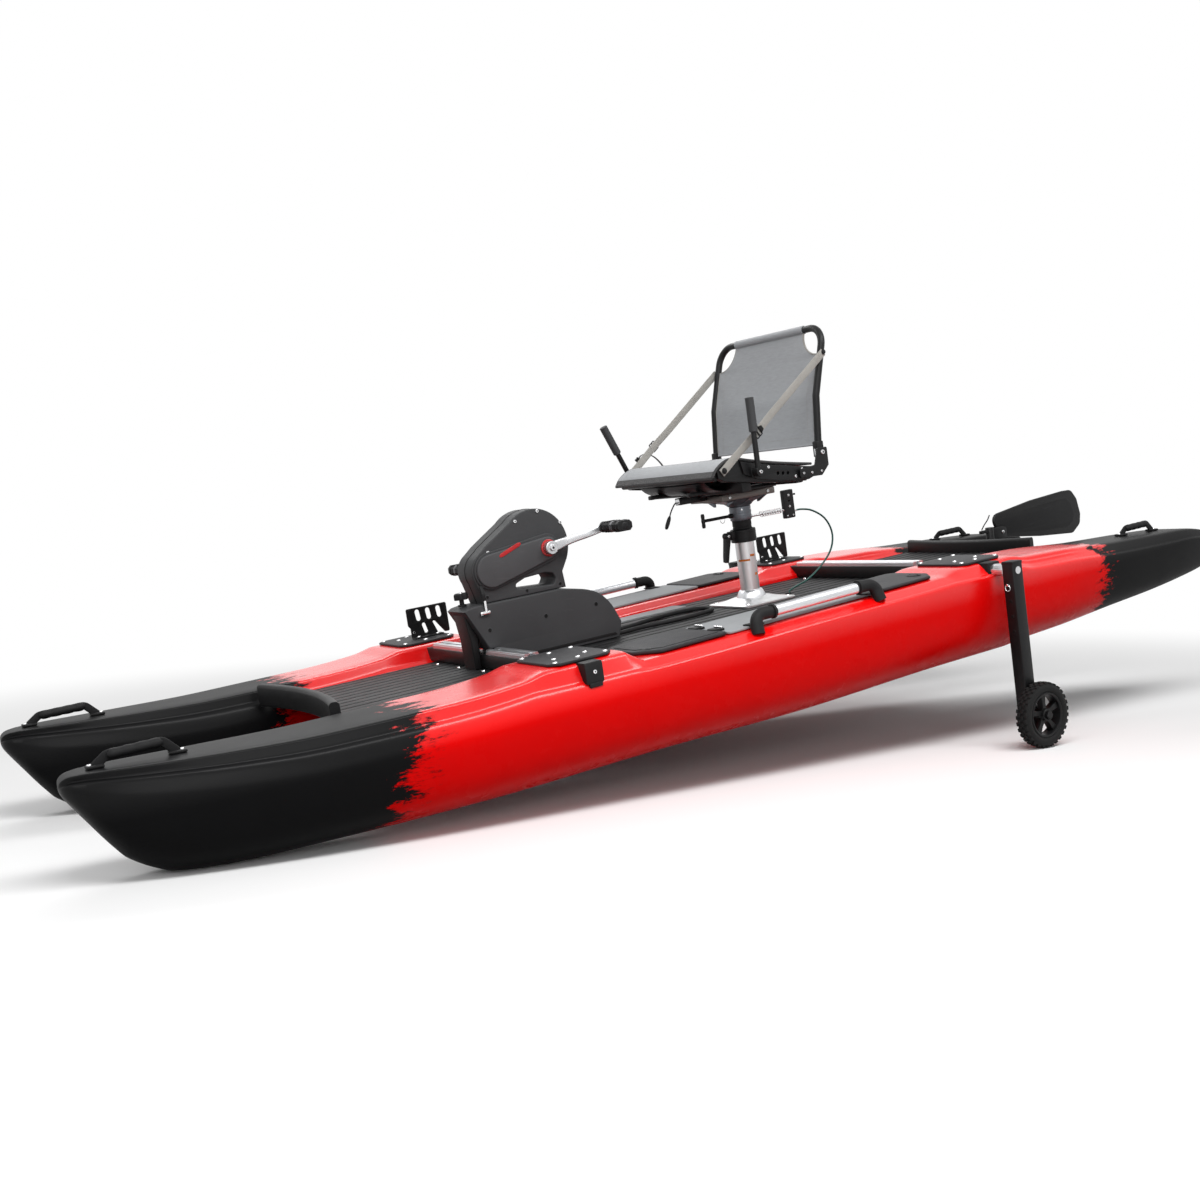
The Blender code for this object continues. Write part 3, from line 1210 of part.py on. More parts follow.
def build_lever(name, side):
    x = PORT_LEVER_X if side == PORT else STARBOARD_LEVER_X
    lean = 0.0 if side == PORT else STARBOARD_LEVER_LEAN
    pivot = Vector((x, side * (LEVER_Y + GAP), LEVER_Z))
    y = side * (LEVER_Y + GAP + EYE_RADIUS)
    eye = rod(pivot, pivot + Vector((0, side * 0.024, 0)), EYE_RADIUS, SIDES)
    up = Vector((math.sin(lean), 0, math.cos(lean)))
    foot = Vector((x, y, LEVER_Z))
    stick = turned([(0, LEVER_RADIUS), (LEVER_LENGTH - GRIP_LENGTH, LEVER_RADIUS),
                    (LEVER_LENGTH - GRIP_LENGTH, GRIP_RADIUS), (LEVER_LENGTH - 0.006, GRIP_RADIUS),
                    (LEVER_LENGTH, GRIP_RADIUS * 0.6)], foot, up, SMALL_SIDES)
    bore = rod((x, side * (LEVER_Y - 0.02), LEVER_Z), (x, side * (LEVER_Y + 0.0225), LEVER_Z),
               PIN_RADIUS + 2 * RUNNING, SIDES)
    make(name, eye, FINISH["black_plastic"], pivot, add=[stick], cut=[bore])


# Rudder
def coaming_outer_face():
    return AFT_DECK_END + COAMING_SWEEP - COAMING_THICKNESS


def rudder_bracket():
    """The arm on the stern coaming that carries the rudder's post, and the post's hole in it."""
    arm = block((RUDDER_X - RUDDER_POST - RUDDER_ARM_WALL, -0.026, RUDDER_ARM_Z),
                (coaming_outer_face() + 0.006, 0.026, RUDDER_ARM_Z + RUDDER_ARM))
    bore = rod((RUDDER_X, 0, RUDDER_ARM_Z - 0.05), (RUDDER_X, 0, RUDDER_ARM_Z + 0.05),
               RUDDER_POST + 2 * RUNNING, 16)
    return arm, bore


def build_rudder():
    steer = Vector((RUDDER_X, 0, RUDDER_ARM_Z))
    arm_top = RUDDER_ARM_Z + RUDDER_ARM
    flange = RUDDER_ARM + GAP
    post = turned([(-0.010, RUDDER_POST), (flange, RUDDER_POST), (flange, RUDDER_POST + 0.006),
                   (0.034, RUDDER_POST + 0.006), (0.034, RUDDER_POST), (0.092, RUDDER_POST)],
                  steer, (0, 0, 1), SIDES)
    cheeks = []
    for side in (PORT, STARBOARD):
        near, far = sorted((side * (RUDDER_THICKNESS / 2 + GAP), side * (RUDDER_THICKNESS / 2 + 0.007)))
        cheeks.append(block((RUDDER_PIVOT_X - 0.022, near, RUDDER_PIVOT_Z - 0.030),
                            (RUDDER_X - 0.004, far, RUDDER_PIVOT_Z + 0.022)))
    pivot = Vector((RUDDER_PIVOT_X, 0, RUDDER_PIVOT_Z))
    across = Vector((0, RUDDER_THICKNESS / 2 + 0.005, 0))
    pin = rod(pivot - across, pivot + across, PIN_RADIUS, SMALL_SIDES)
    horn = block((RUDDER_X, -0.007, arm_top + HORN_TOP - 0.012), (RUDDER_X + 0.050, 0.007, arm_top + HORN_TOP))
    make("rudder_head", post, FINISH["black_metal"], steer, add=[*cheeks, pin, horn])
    half = RUDDER_THICKNESS / 2
    blade = prism([(pivot.x + x, pivot.z + z) for x, z in RUDDER_OUTLINE], -half, half, "y")
    bore = rod(pivot - Vector((0, 0.1, 0)), pivot + Vector((0, 0.1, 0)), PIN_RADIUS + 2 * RUNNING, SIDES)
    make("rudder_blade", blade, FINISH["black_plastic"], pivot, cut=[bore])


# Landing wheels
def build_leg(name, side):
    half = LEG_SIZE / 2
    pivot = Vector((REAR_BAR_X, side * LEG_Y, LEG_PIVOT_Z))
    tube_low = WHEEL_Z - 0.026
    leg = block((REAR_BAR_X - half, side * LEG_Y - half, tube_low),
                (REAR_BAR_X + half, side * LEG_Y + half, LEG_PIVOT_Z + 0.028), 0.003)
    face = WHEEL_Y + WHEEL_WIDTH / 2
    axle = rod((WHEEL_X, side * LEG_Y, WHEEL_Z), (WHEEL_X, side * (face + 0.006), WHEEL_Z), AXLE_BOLT, SIDES)
    cap = rod((WHEEL_X, side * (face + GAP), WHEEL_Z), (WHEEL_X, side * (face + 0.008), WHEEL_Z),
              AXLE_BOLT * 1.7, SIDES)
    bore = rod(pivot - Vector((0, 0.1, 0)), pivot + Vector((0, 0.1, 0)), LEG_PIN + 2 * RUNNING, 16)
    make(name, leg, FINISH["black_metal"], pivot, add=[axle, cap], cut=[bore])


def build_wheel(prefix, side):
    centre = Vector((WHEEL_X, side * WHEEL_Y, WHEEL_Z))
    half = WHEEL_WIDTH / 2
    inner = RIM_RADIUS + GAP
    tyre = [(-half * 0.72, inner), (-half, RIM_RADIUS + 0.012), (-half, WHEEL_RADIUS - 0.012),
            (-half * 0.6, WHEEL_RADIUS), (half * 0.6, WHEEL_RADIUS), (half, WHEEL_RADIUS - 0.012),
            (half, RIM_RADIUS + 0.012), (half * 0.72, inner)]
    make(f"{prefix}_tyre", turned_ring(tyre, centre, (0, 1, 0), 28), FINISH["tyre_rubber"], centre)
    bore = AXLE_BOLT + 2 * RUNNING
    hub = [(-half * 0.9, bore), (-half * 0.9, 0.020), (-half * 0.4, 0.024), (-half * 0.4, RIM_RADIUS - 0.010),
           (-half * 0.70, RIM_RADIUS), (half * 0.70, RIM_RADIUS), (half * 0.4, RIM_RADIUS - 0.010),
           (half * 0.4, 0.024), (half * 0.9, 0.020), (half * 0.9, bore)]
    make(f"{prefix}_hub", turned_ring(hub, centre, (0, 1, 0), 28), FINISH["black_plastic"], centre)


# Cords: routes chosen by hand
STEERING_CABLE_ROUTE = (
    (CABLE_PLATE_X - CABLE_PLATE_LENGTH - GAP, 0.0, 0.509), (-0.466, 0.0, 0.509), (-0.512, 0.0, 0.498),
    (-0.562, 0.0, 0.464), (-0.585, 0.0, 0.412), (-0.570, 0.0, 0.360), (-0.520, 0.0, 0.315),
    (-0.457, 0.0, 0.281), (-0.405, 0.0, 0.268), (-0.376, 0.0, 0.258), (-0.368, 0.0, 0.240),
    (-0.368, 0.0, 0.222), (-0.368, 0.0, 0.205),
)
DECK_HOSE_ROUTE = (
    (0.3166, 0.030, 0.2575), (0.290, 0.030, 0.2575), (0.220, 0.020, 0.2575), (0.120, 0.034, 0.2575),
    (0.020, 0.030, 0.2575), (-0.050, 0.008, 0.2575), (-0.074, -0.040, 0.2575), (-0.040, -0.082, 0.2575),
    (0.040, -0.090, 0.2575), (0.140, -0.070, 0.2575), (0.220, -0.044, 0.2575), (0.290, -0.032, 0.2575),
    (0.3166, -0.032, 0.2575),
)


def build_cords():
    cable = smooth_route(STEERING_CABLE_ROUTE, 2.4 * STEERING_CABLE)
    tube("steering_cable", cable, STEERING_CABLE, FINISH["teal_cable"])
    tube("deck_hose", smooth_route(DECK_HOSE_ROUTE, 1.8 * DECK_HOSE), DECK_HOSE, FINISH["black_rubber"])
    horn = RUDDER_ARM_Z + RUDDER_ARM + HORN_TOP + GAP + RUDDER_LINE / 2
    corner = (RUDDER_PIVOT_X + RUDDER_OUTLINE[0][0], RUDDER_PIVOT_Z + RUDDER_OUTLINE[0][1])
    line = [(RUDDER_X + 0.040, 0.0, horn), (RUDDER_X + 0.024, 0.0, horn + 0.016),
            (RUDDER_X + 0.004, 0.0, horn + 0.032),
            (corner[0] + 0.002, 0.0, corner[1] + GAP + RUDDER_LINE / 2 + 0.001)]
    tube("rudder_line", smooth_route(line, 2.5 * RUDDER_LINE), RUDDER_LINE, FINISH["black_rubber"])
    end = FORWARD_BAR_END + 2 * GAP
    cord = [(end, 0.0, HEAD_TOP - 0.004), (end + 0.010, 0.0, HEAD_TOP - 0.005), (end + 0.024, -0.005, 0.576),
            (end + 0.034, -0.008, 0.552), (end + 0.046, -0.010, 0.528)]

    def toggle(share):
        return 3.0 if 0.60 < share < 0.97 else 1.0

    tube("seat_cord", smooth_route(cord, 2.2 * SEAT_CORD), SEAT_CORD, FINISH["black_rubber"], toggle)
    route = spring_route()
    print_spring_gap(route)
    tube("return_spring", route, 2 * SPRING_WIRE, FINISH["steel"], resolution=1)


# Standing on the ground: the bow's keel and both wheels touch
def resting_pitch():
    points = [point for row in stations() for point in hull_ring(PORT, *row)]

    def clearance(angle):
        hull = min(p.z * math.cos(angle) - p.x * math.sin(angle) for p in points)
        wheel = WHEEL_Z * math.cos(angle) - WHEEL_X * math.sin(angle) - WHEEL_RADIUS
        return hull - wheel

    low, high = 0.0, math.radians(25.0)
    for _ in range(60):
        middle = (low + high) / 2
        if clearance(middle) > 0:
            low = middle
        else:
            high = middle
    return low


def settle():
    """Tip the boat to its resting pitch and bring the middle of its base to the origin."""
    BOAT.rotation_euler = (0.0, resting_pitch(), 0.0)
    bpy.context.view_layer.update()
    graph = bpy.context.evaluated_depsgraph_get()
    corners = []
    for item in bpy.data.objects:
        if item.type in {"MESH", "CURVE"} and not item.hide_render:
            solid = item.evaluated_get(graph)
            mesh = solid.to_mesh()
            corners += [solid.matrix_world @ vert.co for vert in mesh.vertices]
            solid.to_mesh_clear()
    low = [min(p[i] for p in corners) for i in range(3)]
    high = [max(p[i] for p in corners) for i in range(3)]
    BOAT.location = (-(low[0] + high[0]) / 2, -(low[1] + high[1]) / 2, -low[2])
    bpy.context.view_layer.update()
    print("pitch", math.degrees(BOAT.rotation_euler.y), "offset", tuple(BOAT.location))


clear_scene()
BOAT = bpy.data.objects.new("boat_frame", None)
bpy.context.scene.collection.objects.link(BOAT)
FINISH = {
    "red_hull": finish("red_hull", (0.72, 0.012, 0.010), 0.35),
    "black_deck": finish("black_deck", (0.020, 0.020, 0.022), 0.55),
    "black_plastic": finish("black_plastic", (0.018, 0.018, 0.020), 0.50),
    "drive_plastic": finish("drive_plastic", (0.045, 0.045, 0.048), 0.60),
    "black_metal": finish("black_metal", (0.015, 0.015, 0.016), 0.40, 0.3),
    "black_rubber": finish("black_rubber", (0.012, 0.012, 0.013), 0.70),
    "aluminium": finish("aluminium", (0.62, 0.63, 0.65), 0.35, 1.0),
    "grey_metal": finish("grey_metal", (0.30, 0.33, 0.36), 0.45, 0.6),
    "steel": finish("steel", (0.55, 0.56, 0.58), 0.30, 1.0),
    "grey_fabric": finish("grey_fabric", (0.30, 0.32, 0.33), 0.90),
    "pale_webbing": finish("pale_webbing", (0.52, 0.51, 0.48), 0.85),
    "tyre_rubber": finish("tyre_rubber", (0.014, 0.014, 0.014), 0.80),
    "teal_cable": finish("teal_cable", (0.010, 0.110, 0.090), 0.45),
}

build_hull("port_hull", PORT)
build_hull("starboard_hull", STARBOARD)
build_decks()
build_front_bar()
build_rear_bar()
for label, bar_x in (("front", FRONT_BAR_X), ("rear", REAR_BAR_X)):
    build_plate(f"{label}_port_plate", bar_x, PORT)
    build_plate(f"{label}_starboard_plate", bar_x, STARBOARD)
build_accessory_bracket("front_accessory_bracket", BRACKET_FRONT_X)
build_accessory_bracket("rear_accessory_bracket", BRACKET_REAR_X)
for label, side in (("port", PORT), ("starboard", STARBOARD)):
    build_handle(f"bow_{label}_handle", BOW_TIP - BOW_HANDLE_FROM_TIP, side)
    build_handle(f"stern_{label}_handle", STERN_HANDLE_FROM_TIP - BOW_TIP, side)
    build_side_panel(f"{label}_side_panel", side)
    build_rail(f"{label}_rail", side)
    build_case(f"drive_case_{label}", side)
    build_pedal(f"{label}_pedal", side)
    build_strap(f"{label}_strap", side)
    build_lever(f"{label}_lever", side)
    build_leg(f"{label}_leg", side)
    build_wheel(label, side)
build_drive_base()
build_cranks()
build_transmission()
build_lower_unit()
build_propeller()
build_drive_knob()
build_pedestal()
build_cam_lever()
build_inner_post()
build_lock_handle()
build_cable_bracket()
build_swivel_head()
build_seat_frame()
build_seat_fabric()
build_back_frame()
build_back_fabric()
build_rudder()
build_cords()
settle()
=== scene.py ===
"""Looks of a twin-hull pedal boat standing on its bow keels and landing wheels."""
import json
import math

import bmesh
import bpy
import numpy as np
from mathutils import Matrix, Vector


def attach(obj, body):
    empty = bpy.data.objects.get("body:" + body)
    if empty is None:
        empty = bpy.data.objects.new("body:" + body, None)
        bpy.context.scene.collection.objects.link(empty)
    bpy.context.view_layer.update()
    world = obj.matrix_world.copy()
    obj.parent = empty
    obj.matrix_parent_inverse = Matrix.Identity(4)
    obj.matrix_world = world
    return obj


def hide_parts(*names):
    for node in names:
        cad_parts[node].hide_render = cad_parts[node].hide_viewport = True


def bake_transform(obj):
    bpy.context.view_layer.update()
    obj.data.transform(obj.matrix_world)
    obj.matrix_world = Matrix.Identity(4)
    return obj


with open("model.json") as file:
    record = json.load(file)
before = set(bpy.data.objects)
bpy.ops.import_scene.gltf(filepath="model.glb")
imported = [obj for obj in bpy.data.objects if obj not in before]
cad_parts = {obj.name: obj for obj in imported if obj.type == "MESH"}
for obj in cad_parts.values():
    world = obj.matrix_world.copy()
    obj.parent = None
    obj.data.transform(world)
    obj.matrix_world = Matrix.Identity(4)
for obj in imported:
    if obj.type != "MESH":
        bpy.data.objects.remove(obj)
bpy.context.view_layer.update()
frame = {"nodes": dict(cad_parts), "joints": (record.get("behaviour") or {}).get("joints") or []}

bl_info = {
    "name": "Twin-hull pedal boat",
    "version": (1, 0, 0),
    "blender": (4, 5, 0),
    "location": "View3D > Sidebar > Boat",
    "description": "Builds the finished surfaces of a twin-hull pedal boat around its working parts",
    "category": "Object",
}

JOINTS = {joint["name"]: joint for joint in frame["joints"]}
PORT, STARBOARD = 1, -1
SIDE_NAMES = {PORT: "port", STARBOARD: "starboard"}
AHEAD, ACROSS, UP = (1, 0, 0), (0, 1, 0), (0, 0, 1)

# The boat's own axes: +X to the bow, +Y to port, +Z square to the deck; it stands pitched nose down
CRANK_AXLE = Vector((0.516, 0.0, 0.544))
PITCH = math.atan2(JOINTS["seat_swivel"]["axis"][0], JOINTS["seat_swivel"]["axis"][2])
TURN = Matrix.Rotation(PITCH, 4, "Y")
BOAT = Matrix.Translation(Vector(JOINTS["crank_spin"]["pos_m"]) - TURN @ CRANK_AXLE) @ TURN

# Hull lines, as the working part has them
HULL_LENGTH = 3.86
BOW_TIP = HULL_LENGTH / 2
HULL_WIDTH = 0.310
HULL_SPACING = 0.865
HULL_TOE = 0.028
LIP_STEP = 0.006
LIP_DROP = 0.034
CROWN_HALF = 0.112
HUMP_HALF = 0.115
HUMP_RAMP = 0.050
FLAT_TOP_FRONT = 0.268
FLAT_TOP_REAR = 0.288
BAR_TOP = 0.300
BAR_SIZE = 0.050
BAR_REACH = 0.580
FRONT_BAR_X = 0.739
REAR_BAR_X = -0.675
DECK_TOP = 0.2497
DECK_HALF = HULL_SPACING / 2 - HULL_WIDTH / 2
# Row by row: share of the run to the tip, width share, keel height, top height, lip share and flat share
BOW_LINES = (
    (0.19, 0.99, 0.013, 0.279, 1.00, 0.14),
    (0.48, 0.92, 0.023, 0.280, 0.95, 0.14),
    (0.69, 0.79, 0.033, 0.289, 0.80, 0.13),
    (0.82, 0.65, 0.052, 0.297, 0.65, 0.12),
    (0.90, 0.53, 0.105, 0.302, 0.55, 0.12),
    (0.955, 0.41, 0.190, 0.304, 0.45, 0.14),
    (0.985, 0.28, 0.240, 0.302, 0.40, 0.20),
    (1.00, 0.14, 0.266, 0.292, 0.35, 0.30),
)
STERN_LINES = (
    (0.19, 0.97, 0.022, 0.280, 1.00, 0.16),
    (0.42, 0.90, 0.036, 0.259, 1.00, 0.16),
    (0.65, 0.80, 0.046, 0.246, 1.00, 0.16),
    (0.83, 0.69, 0.059, 0.233, 0.90, 0.16),
    (0.935, 0.57, 0.070, 0.214, 0.80, 0.18),
    (0.985, 0.43, 0.086, 0.191, 0.60, 0.24),
    (1.00, 0.26, 0.106, 0.171, 0.50, 0.30),
)
BOW_SHOULDER_TOP = 0.288
STERN_SHOULDER_TOP = 0.290


def colour_property(name, description, default):
    return bpy.props.FloatVectorProperty(name=name, description=description, subtype="COLOR", size=3,
                                         min=0.0, max=1.0, default=default)


def length_property(name, description, default):
    return bpy.props.FloatProperty(name=name, description=description, unit="LENGTH", default=default)


class BoatColours(bpy.types.PropertyGroup):
    """Colours of the boat's finishes."""

    red: colour_property("Hull red", "Moulded colour of the hulls", (0.86, 0.002, 0.002))
    black: colour_property("Black", "Black of the bow, stern and decks", (0.0042, 0.0042, 0.0045))
    fabric: colour_property("Sling", "Grey of the woven slings", (0.44, 0.455, 0.475))
    webbing: colour_property("Webbing", "Warm grey of the back straps", (0.40, 0.385, 0.355))
    cable: colour_property("Cable", "Sheath of the steering cable", (0.004, 0.060, 0.048))


class BoatSizes(bpy.types.PropertyGroup):
    """Sizes of the details that the working parts leave plain."""

    screw: length_property("Screw head", "Radius of the deck screws' heads", 0.0062)
    rib_pitch: length_property("Rib pitch", "Distance between the deck's ribs", 0.044)
    piping: length_property("Piping", "Radius of the seat sling's bound edges", 0.004)
    tread_blocks: bpy.props.IntProperty(
        name="Tread blocks", description="Blocks round each tyre, per row", default=30)


class BoatStage(bpy.types.PropertyGroup):
    """Camera, floor and light."""

    lens: bpy.props.FloatProperty(name="Lens", description="Focal length in millimetres", default=39.0)
    eye: bpy.props.FloatVectorProperty(
        name="Eye", description="Where the camera stands", subtype="TRANSLATION", size=3,
        default=(2.37175, 3.20945, 0.67821))
    aim: bpy.props.FloatVectorProperty(
        name="Aim", description="The camera's rotation", subtype="EULER", size=3,
        default=tuple(math.radians(angle) for angle in (87.0464, 2.2748, 147.7491)))
    floor: colour_property("Floor", "Colour of the floor", (0.92, 0.92, 0.92))
    bounce: colour_property("Bounce", "Shade of the floor as it lights the boat", (0.25, 0.25, 0.25))
    key: bpy.props.FloatProperty(
        name="Key light", description="Power of the overhead panel in watts", default=118.0)


def colours():
    return bpy.context.scene.boat_colours


def sizes():
    return bpy.context.scene.boat_sizes


# Shader node groups
def node_group(name, inputs, outputs):
    """An empty shader group with its sockets."""
    group = bpy.data.node_groups.new(name, "ShaderNodeTree")
    for label, default in inputs:
        socket = group.interface.new_socket(name=label, in_out="INPUT", socket_type="NodeSocketFloat")
        socket.default_value = default
    for label, kind in outputs:
        group.interface.new_socket(name=label, in_out="OUTPUT", socket_type=kind)
    return group, group.nodes.new("NodeGroupInput"), group.nodes.new("NodeGroupOutput")


class Wires:
    """Adds nodes to a tree and links them by socket name or number."""

    def __init__(self, tree):
        self.tree = tree

    def node(self, kind, inputs=None, **settings):
        """A new node; its settings come first, since they can change its sockets."""
        made = self.tree.nodes.new(kind)
        for key, value in settings.items():
            setattr(made, key, value)
        for key, value in (inputs or {}).items():
            self.feed(made.inputs[key], value)
        return made

    def feed(self, socket, value):
        if isinstance(value, bpy.types.NodeSocket):
            self.tree.links.new(value, socket)
        else:
            socket.default_value = value

    def maths(self, operation, first, second=0.0):
        return self.node("ShaderNodeMath", {0: first, 1: second}, operation=operation).outputs[0]

    def scaled(self, value, factor, offset):
        """The value times a factor, plus an offset."""
        settings = {0: value, 1: factor, 2: offset}
        return self.node("ShaderNodeMath", settings, operation="MULTIPLY_ADD").outputs[0]

    def mix(self, factor, first, second):
        settings = {0: factor, 6: first, 7: second}
        return self.node("ShaderNodeMix", data_type="RGBA", inputs=settings).outputs[2]

    def ramp(self, value, stops):
        made = self.node("ShaderNodeValToRGB", {0: value})
        elements = made.color_ramp.elements
        while len(elements) < len(stops):
            elements.new(0.5)
        for element, (place, shade) in zip(elements, stops):
            element.position = place
            element.color = (shade, shade, shade, 1.0)
        return made.outputs[0]

    def stretch(self, vector, scale):
        return self.node("ShaderNodeMapping", {"Vector": vector, "Scale": scale}).outputs[0]

    def noise(self, vector, scale, detail=2.0, roughness=0.5):
        settings = {"Vector": vector, "Scale": scale, "Detail": detail, "Roughness": roughness}
        return self.node("ShaderNodeTexNoise", settings).outputs[0]

    def place(self):
        return self.node("ShaderNodeTexCoord").outputs["Object"]

    def bump(self, shader, height, distance, strength=1.0):
        settings = {"Height": height, "Distance": distance, "Strength": strength}
        self.feed(shader.inputs["Normal"], self.node("ShaderNodeBump", settings).outputs[0])


def grain_group():
    """Moulded grain: a fine height, a broad patchiness and sparse scuffs."""
    group, given, result = node_group(
        "moulded_grain", [("Grain size", 0.0012), ("Scuffs", 0.3)],
        [("Height", "NodeSocketFloat"), ("Patches", "NodeSocketFloat"), ("Scuffs", "NodeSocketFloat")])
    wires = Wires(group)
    place = wires.place()
    scale = wires.maths("DIVIDE", 1.0, given.outputs["Grain size"])
    fine = wires.noise(place, scale, 3.0, 0.6)
    patches = wires.noise(place, 9.0, 4.0, 0.6)
    streaks = wires.noise(wires.stretch(place, (14.0, 90.0, 90.0)), 1.0, 5.0, 0.65)
    marks = wires.ramp(streaks, ((0.60, 0.0), (0.72, 1.0)))
    scuffs = wires.maths("MULTIPLY", marks, given.outputs["Scuffs"])
    wires.feed(result.inputs["Height"], fine)
    wires.feed(result.inputs["Patches"], patches)
    wires.feed(result.inputs["Scuffs"], scuffs)
    return group


def weave_group():
    """Plain weave: warp and weft that go over and under, read in two directions of the cloth."""
    group, given, result = node_group(
        "plain_weave", [("Thread", 0.0016)], [("Height", "NodeSocketFloat"), ("Shade", "NodeSocketFloat")])
    wires = Wires(group)
    split = wires.node("ShaderNodeSeparateXYZ", {0: wires.place()})
    turn = wires.maths("DIVIDE", math.pi, given.outputs["Thread"])
    run = wires.maths("MULTIPLY", split.outputs[1], turn)
    rise = wires.maths("MULTIPLY", wires.maths("SUBTRACT", split.outputs[2], split.outputs[0]), turn)
    warp = wires.maths("SINE", run)
    weft = wires.maths("SINE", rise)
    over = wires.maths("MULTIPLY", warp, weft)
    height = wires.scaled(over, 0.5, 0.5)
    slubs = wires.noise(wires.stretch(wires.place(), (260.0, 40.0, 260.0)), 1.0, 2.0)
    wires.feed(result.inputs["Height"], height)
    wires.feed(result.inputs["Shade"], slubs)
    return group


def brushed_group():
    """Fine lines along the boat's length and soft blotches, for drawn and brushed metal."""
    group, given, result = node_group(
        "brushed_lines", [("Fineness", 900.0)],
        [("Lines", "NodeSocketFloat"), ("Blotches", "NodeSocketFloat")])
    wires = Wires(group)
    place = wires.place()
    lines = wires.noise(wires.stretch(place, (0.02, 1.0, 1.0)), given.outputs["Fineness"], 2.0)
    blotches = wires.noise(place, 22.0, 4.0, 0.6)
    wires.feed(result.inputs["Lines"], lines)
    wires.feed(result.inputs["Blotches"], blotches)
    return group


GROUPS = {}


def shared(wires, name, maker, **values):
    """Places a shared node group in a material with its own values."""
    if name not in GROUPS:
        GROUPS[name] = maker()
    made = wires.node("ShaderNodeGroup")
    made.node_tree = GROUPS[name]
    for label, value in values.items():
        made.inputs[label.replace("_", " ").capitalize()].default_value = value
    return made.outputs


# Materials
FINISHES = {}
PATCH_TONE = 0.22
PATCH_GLOSS = 0.24
SCUFF_DULLING = 0.2
MOULDED_SHINE = 0.22
LINE_GLOSS = 0.22
# Where the hulls turn black, and how far the two colours run into each other, in the boat's metres
BOW_BLACK = 0.745
STERN_BLACK = 0.715
FEATHER_STRETCH = (8.0, 20.0, 28.0)
FEATHER_REACH = 0.46
FEATHER_SLANT = 0.45
FEATHER_MIDDLE = 0.15
FEATHER_EDGE = ((0.450, 0.0), (0.478, 0.30), (0.496, 1.0))
# Painted sheen: heights over which the hulls' coat comes in, so that only the upper band shines
PAINTED_SHEEN_HEIGHTS = ((0.195, 0.0), (0.245, 1.0))
BLACK_DULLING = 0.24
BLACK_COAT_LOSS = 0.85


def start_material(name):
    """A new material, a hand to wire it with and its shader."""
    material = bpy.data.materials.new(name)
    material.use_nodes = True
    wires = Wires(material.node_tree)
    return material, wires, material.node_tree.nodes["Principled BSDF"]


def dim(colour, share):
    """The colour times a share, opaque."""
    return tuple(channel * share for channel in colour[:3]) + (1.0,)


def moulded(name, colour, roughness, grain=0.0012, bump=0.00012, scuffs=0.25, metallic=0.0, coat=0.0):
    """Moulded or painted surface with grain, patchy gloss and light scuffs."""
    material, wires, shader = start_material(name)
    out = shared(wires, "moulded_grain", grain_group, grain_size=grain, scuffs=scuffs)
    tone = wires.mix(out["Patches"], dim(colour, 1.0 - PATCH_TONE), dim(colour, 1.0 + PATCH_TONE))
    worn = tuple(min(1.0, channel * 1.3 + 0.03) for channel in colour[:3]) + (1.0,)
    wires.feed(shader.inputs["Base Color"], wires.mix(out["Scuffs"], tone, worn))
    gloss = wires.scaled(out["Patches"], PATCH_GLOSS, roughness - PATCH_GLOSS / 2)
    dulled = wires.maths("MULTIPLY", out["Scuffs"], SCUFF_DULLING)
    wires.feed(shader.inputs["Roughness"], wires.maths("ADD", gloss, dulled))
    wires.bump(shader, out["Height"], bump)
    shader.inputs["Metallic"].default_value = metallic
    shader.inputs["Coat Weight"].default_value = coat
    shader.inputs["Specular IOR Level"].default_value = MOULDED_SHINE
    return material


def brushed(name, colour, roughness, fineness=900.0, tint=0.12):
    """Bare metal with drawn lines and handling marks."""
    material, wires, shader = start_material(name)
    out = shared(wires, "brushed_lines", brushed_group, fineness=fineness)
    tone = wires.mix(out["Blotches"], dim(colour, 1.0 - tint), dim(colour, 1.0 + tint * 0.6))
    wires.feed(shader.inputs["Base Color"], tone)
    wires.feed(shader.inputs["Roughness"], wires.scaled(out["Lines"], LINE_GLOSS, roughness - LINE_GLOSS / 2))
    wires.bump(shader, out["Lines"], 0.00004)
    shader.inputs["Metallic"].default_value = 1.0
    return material


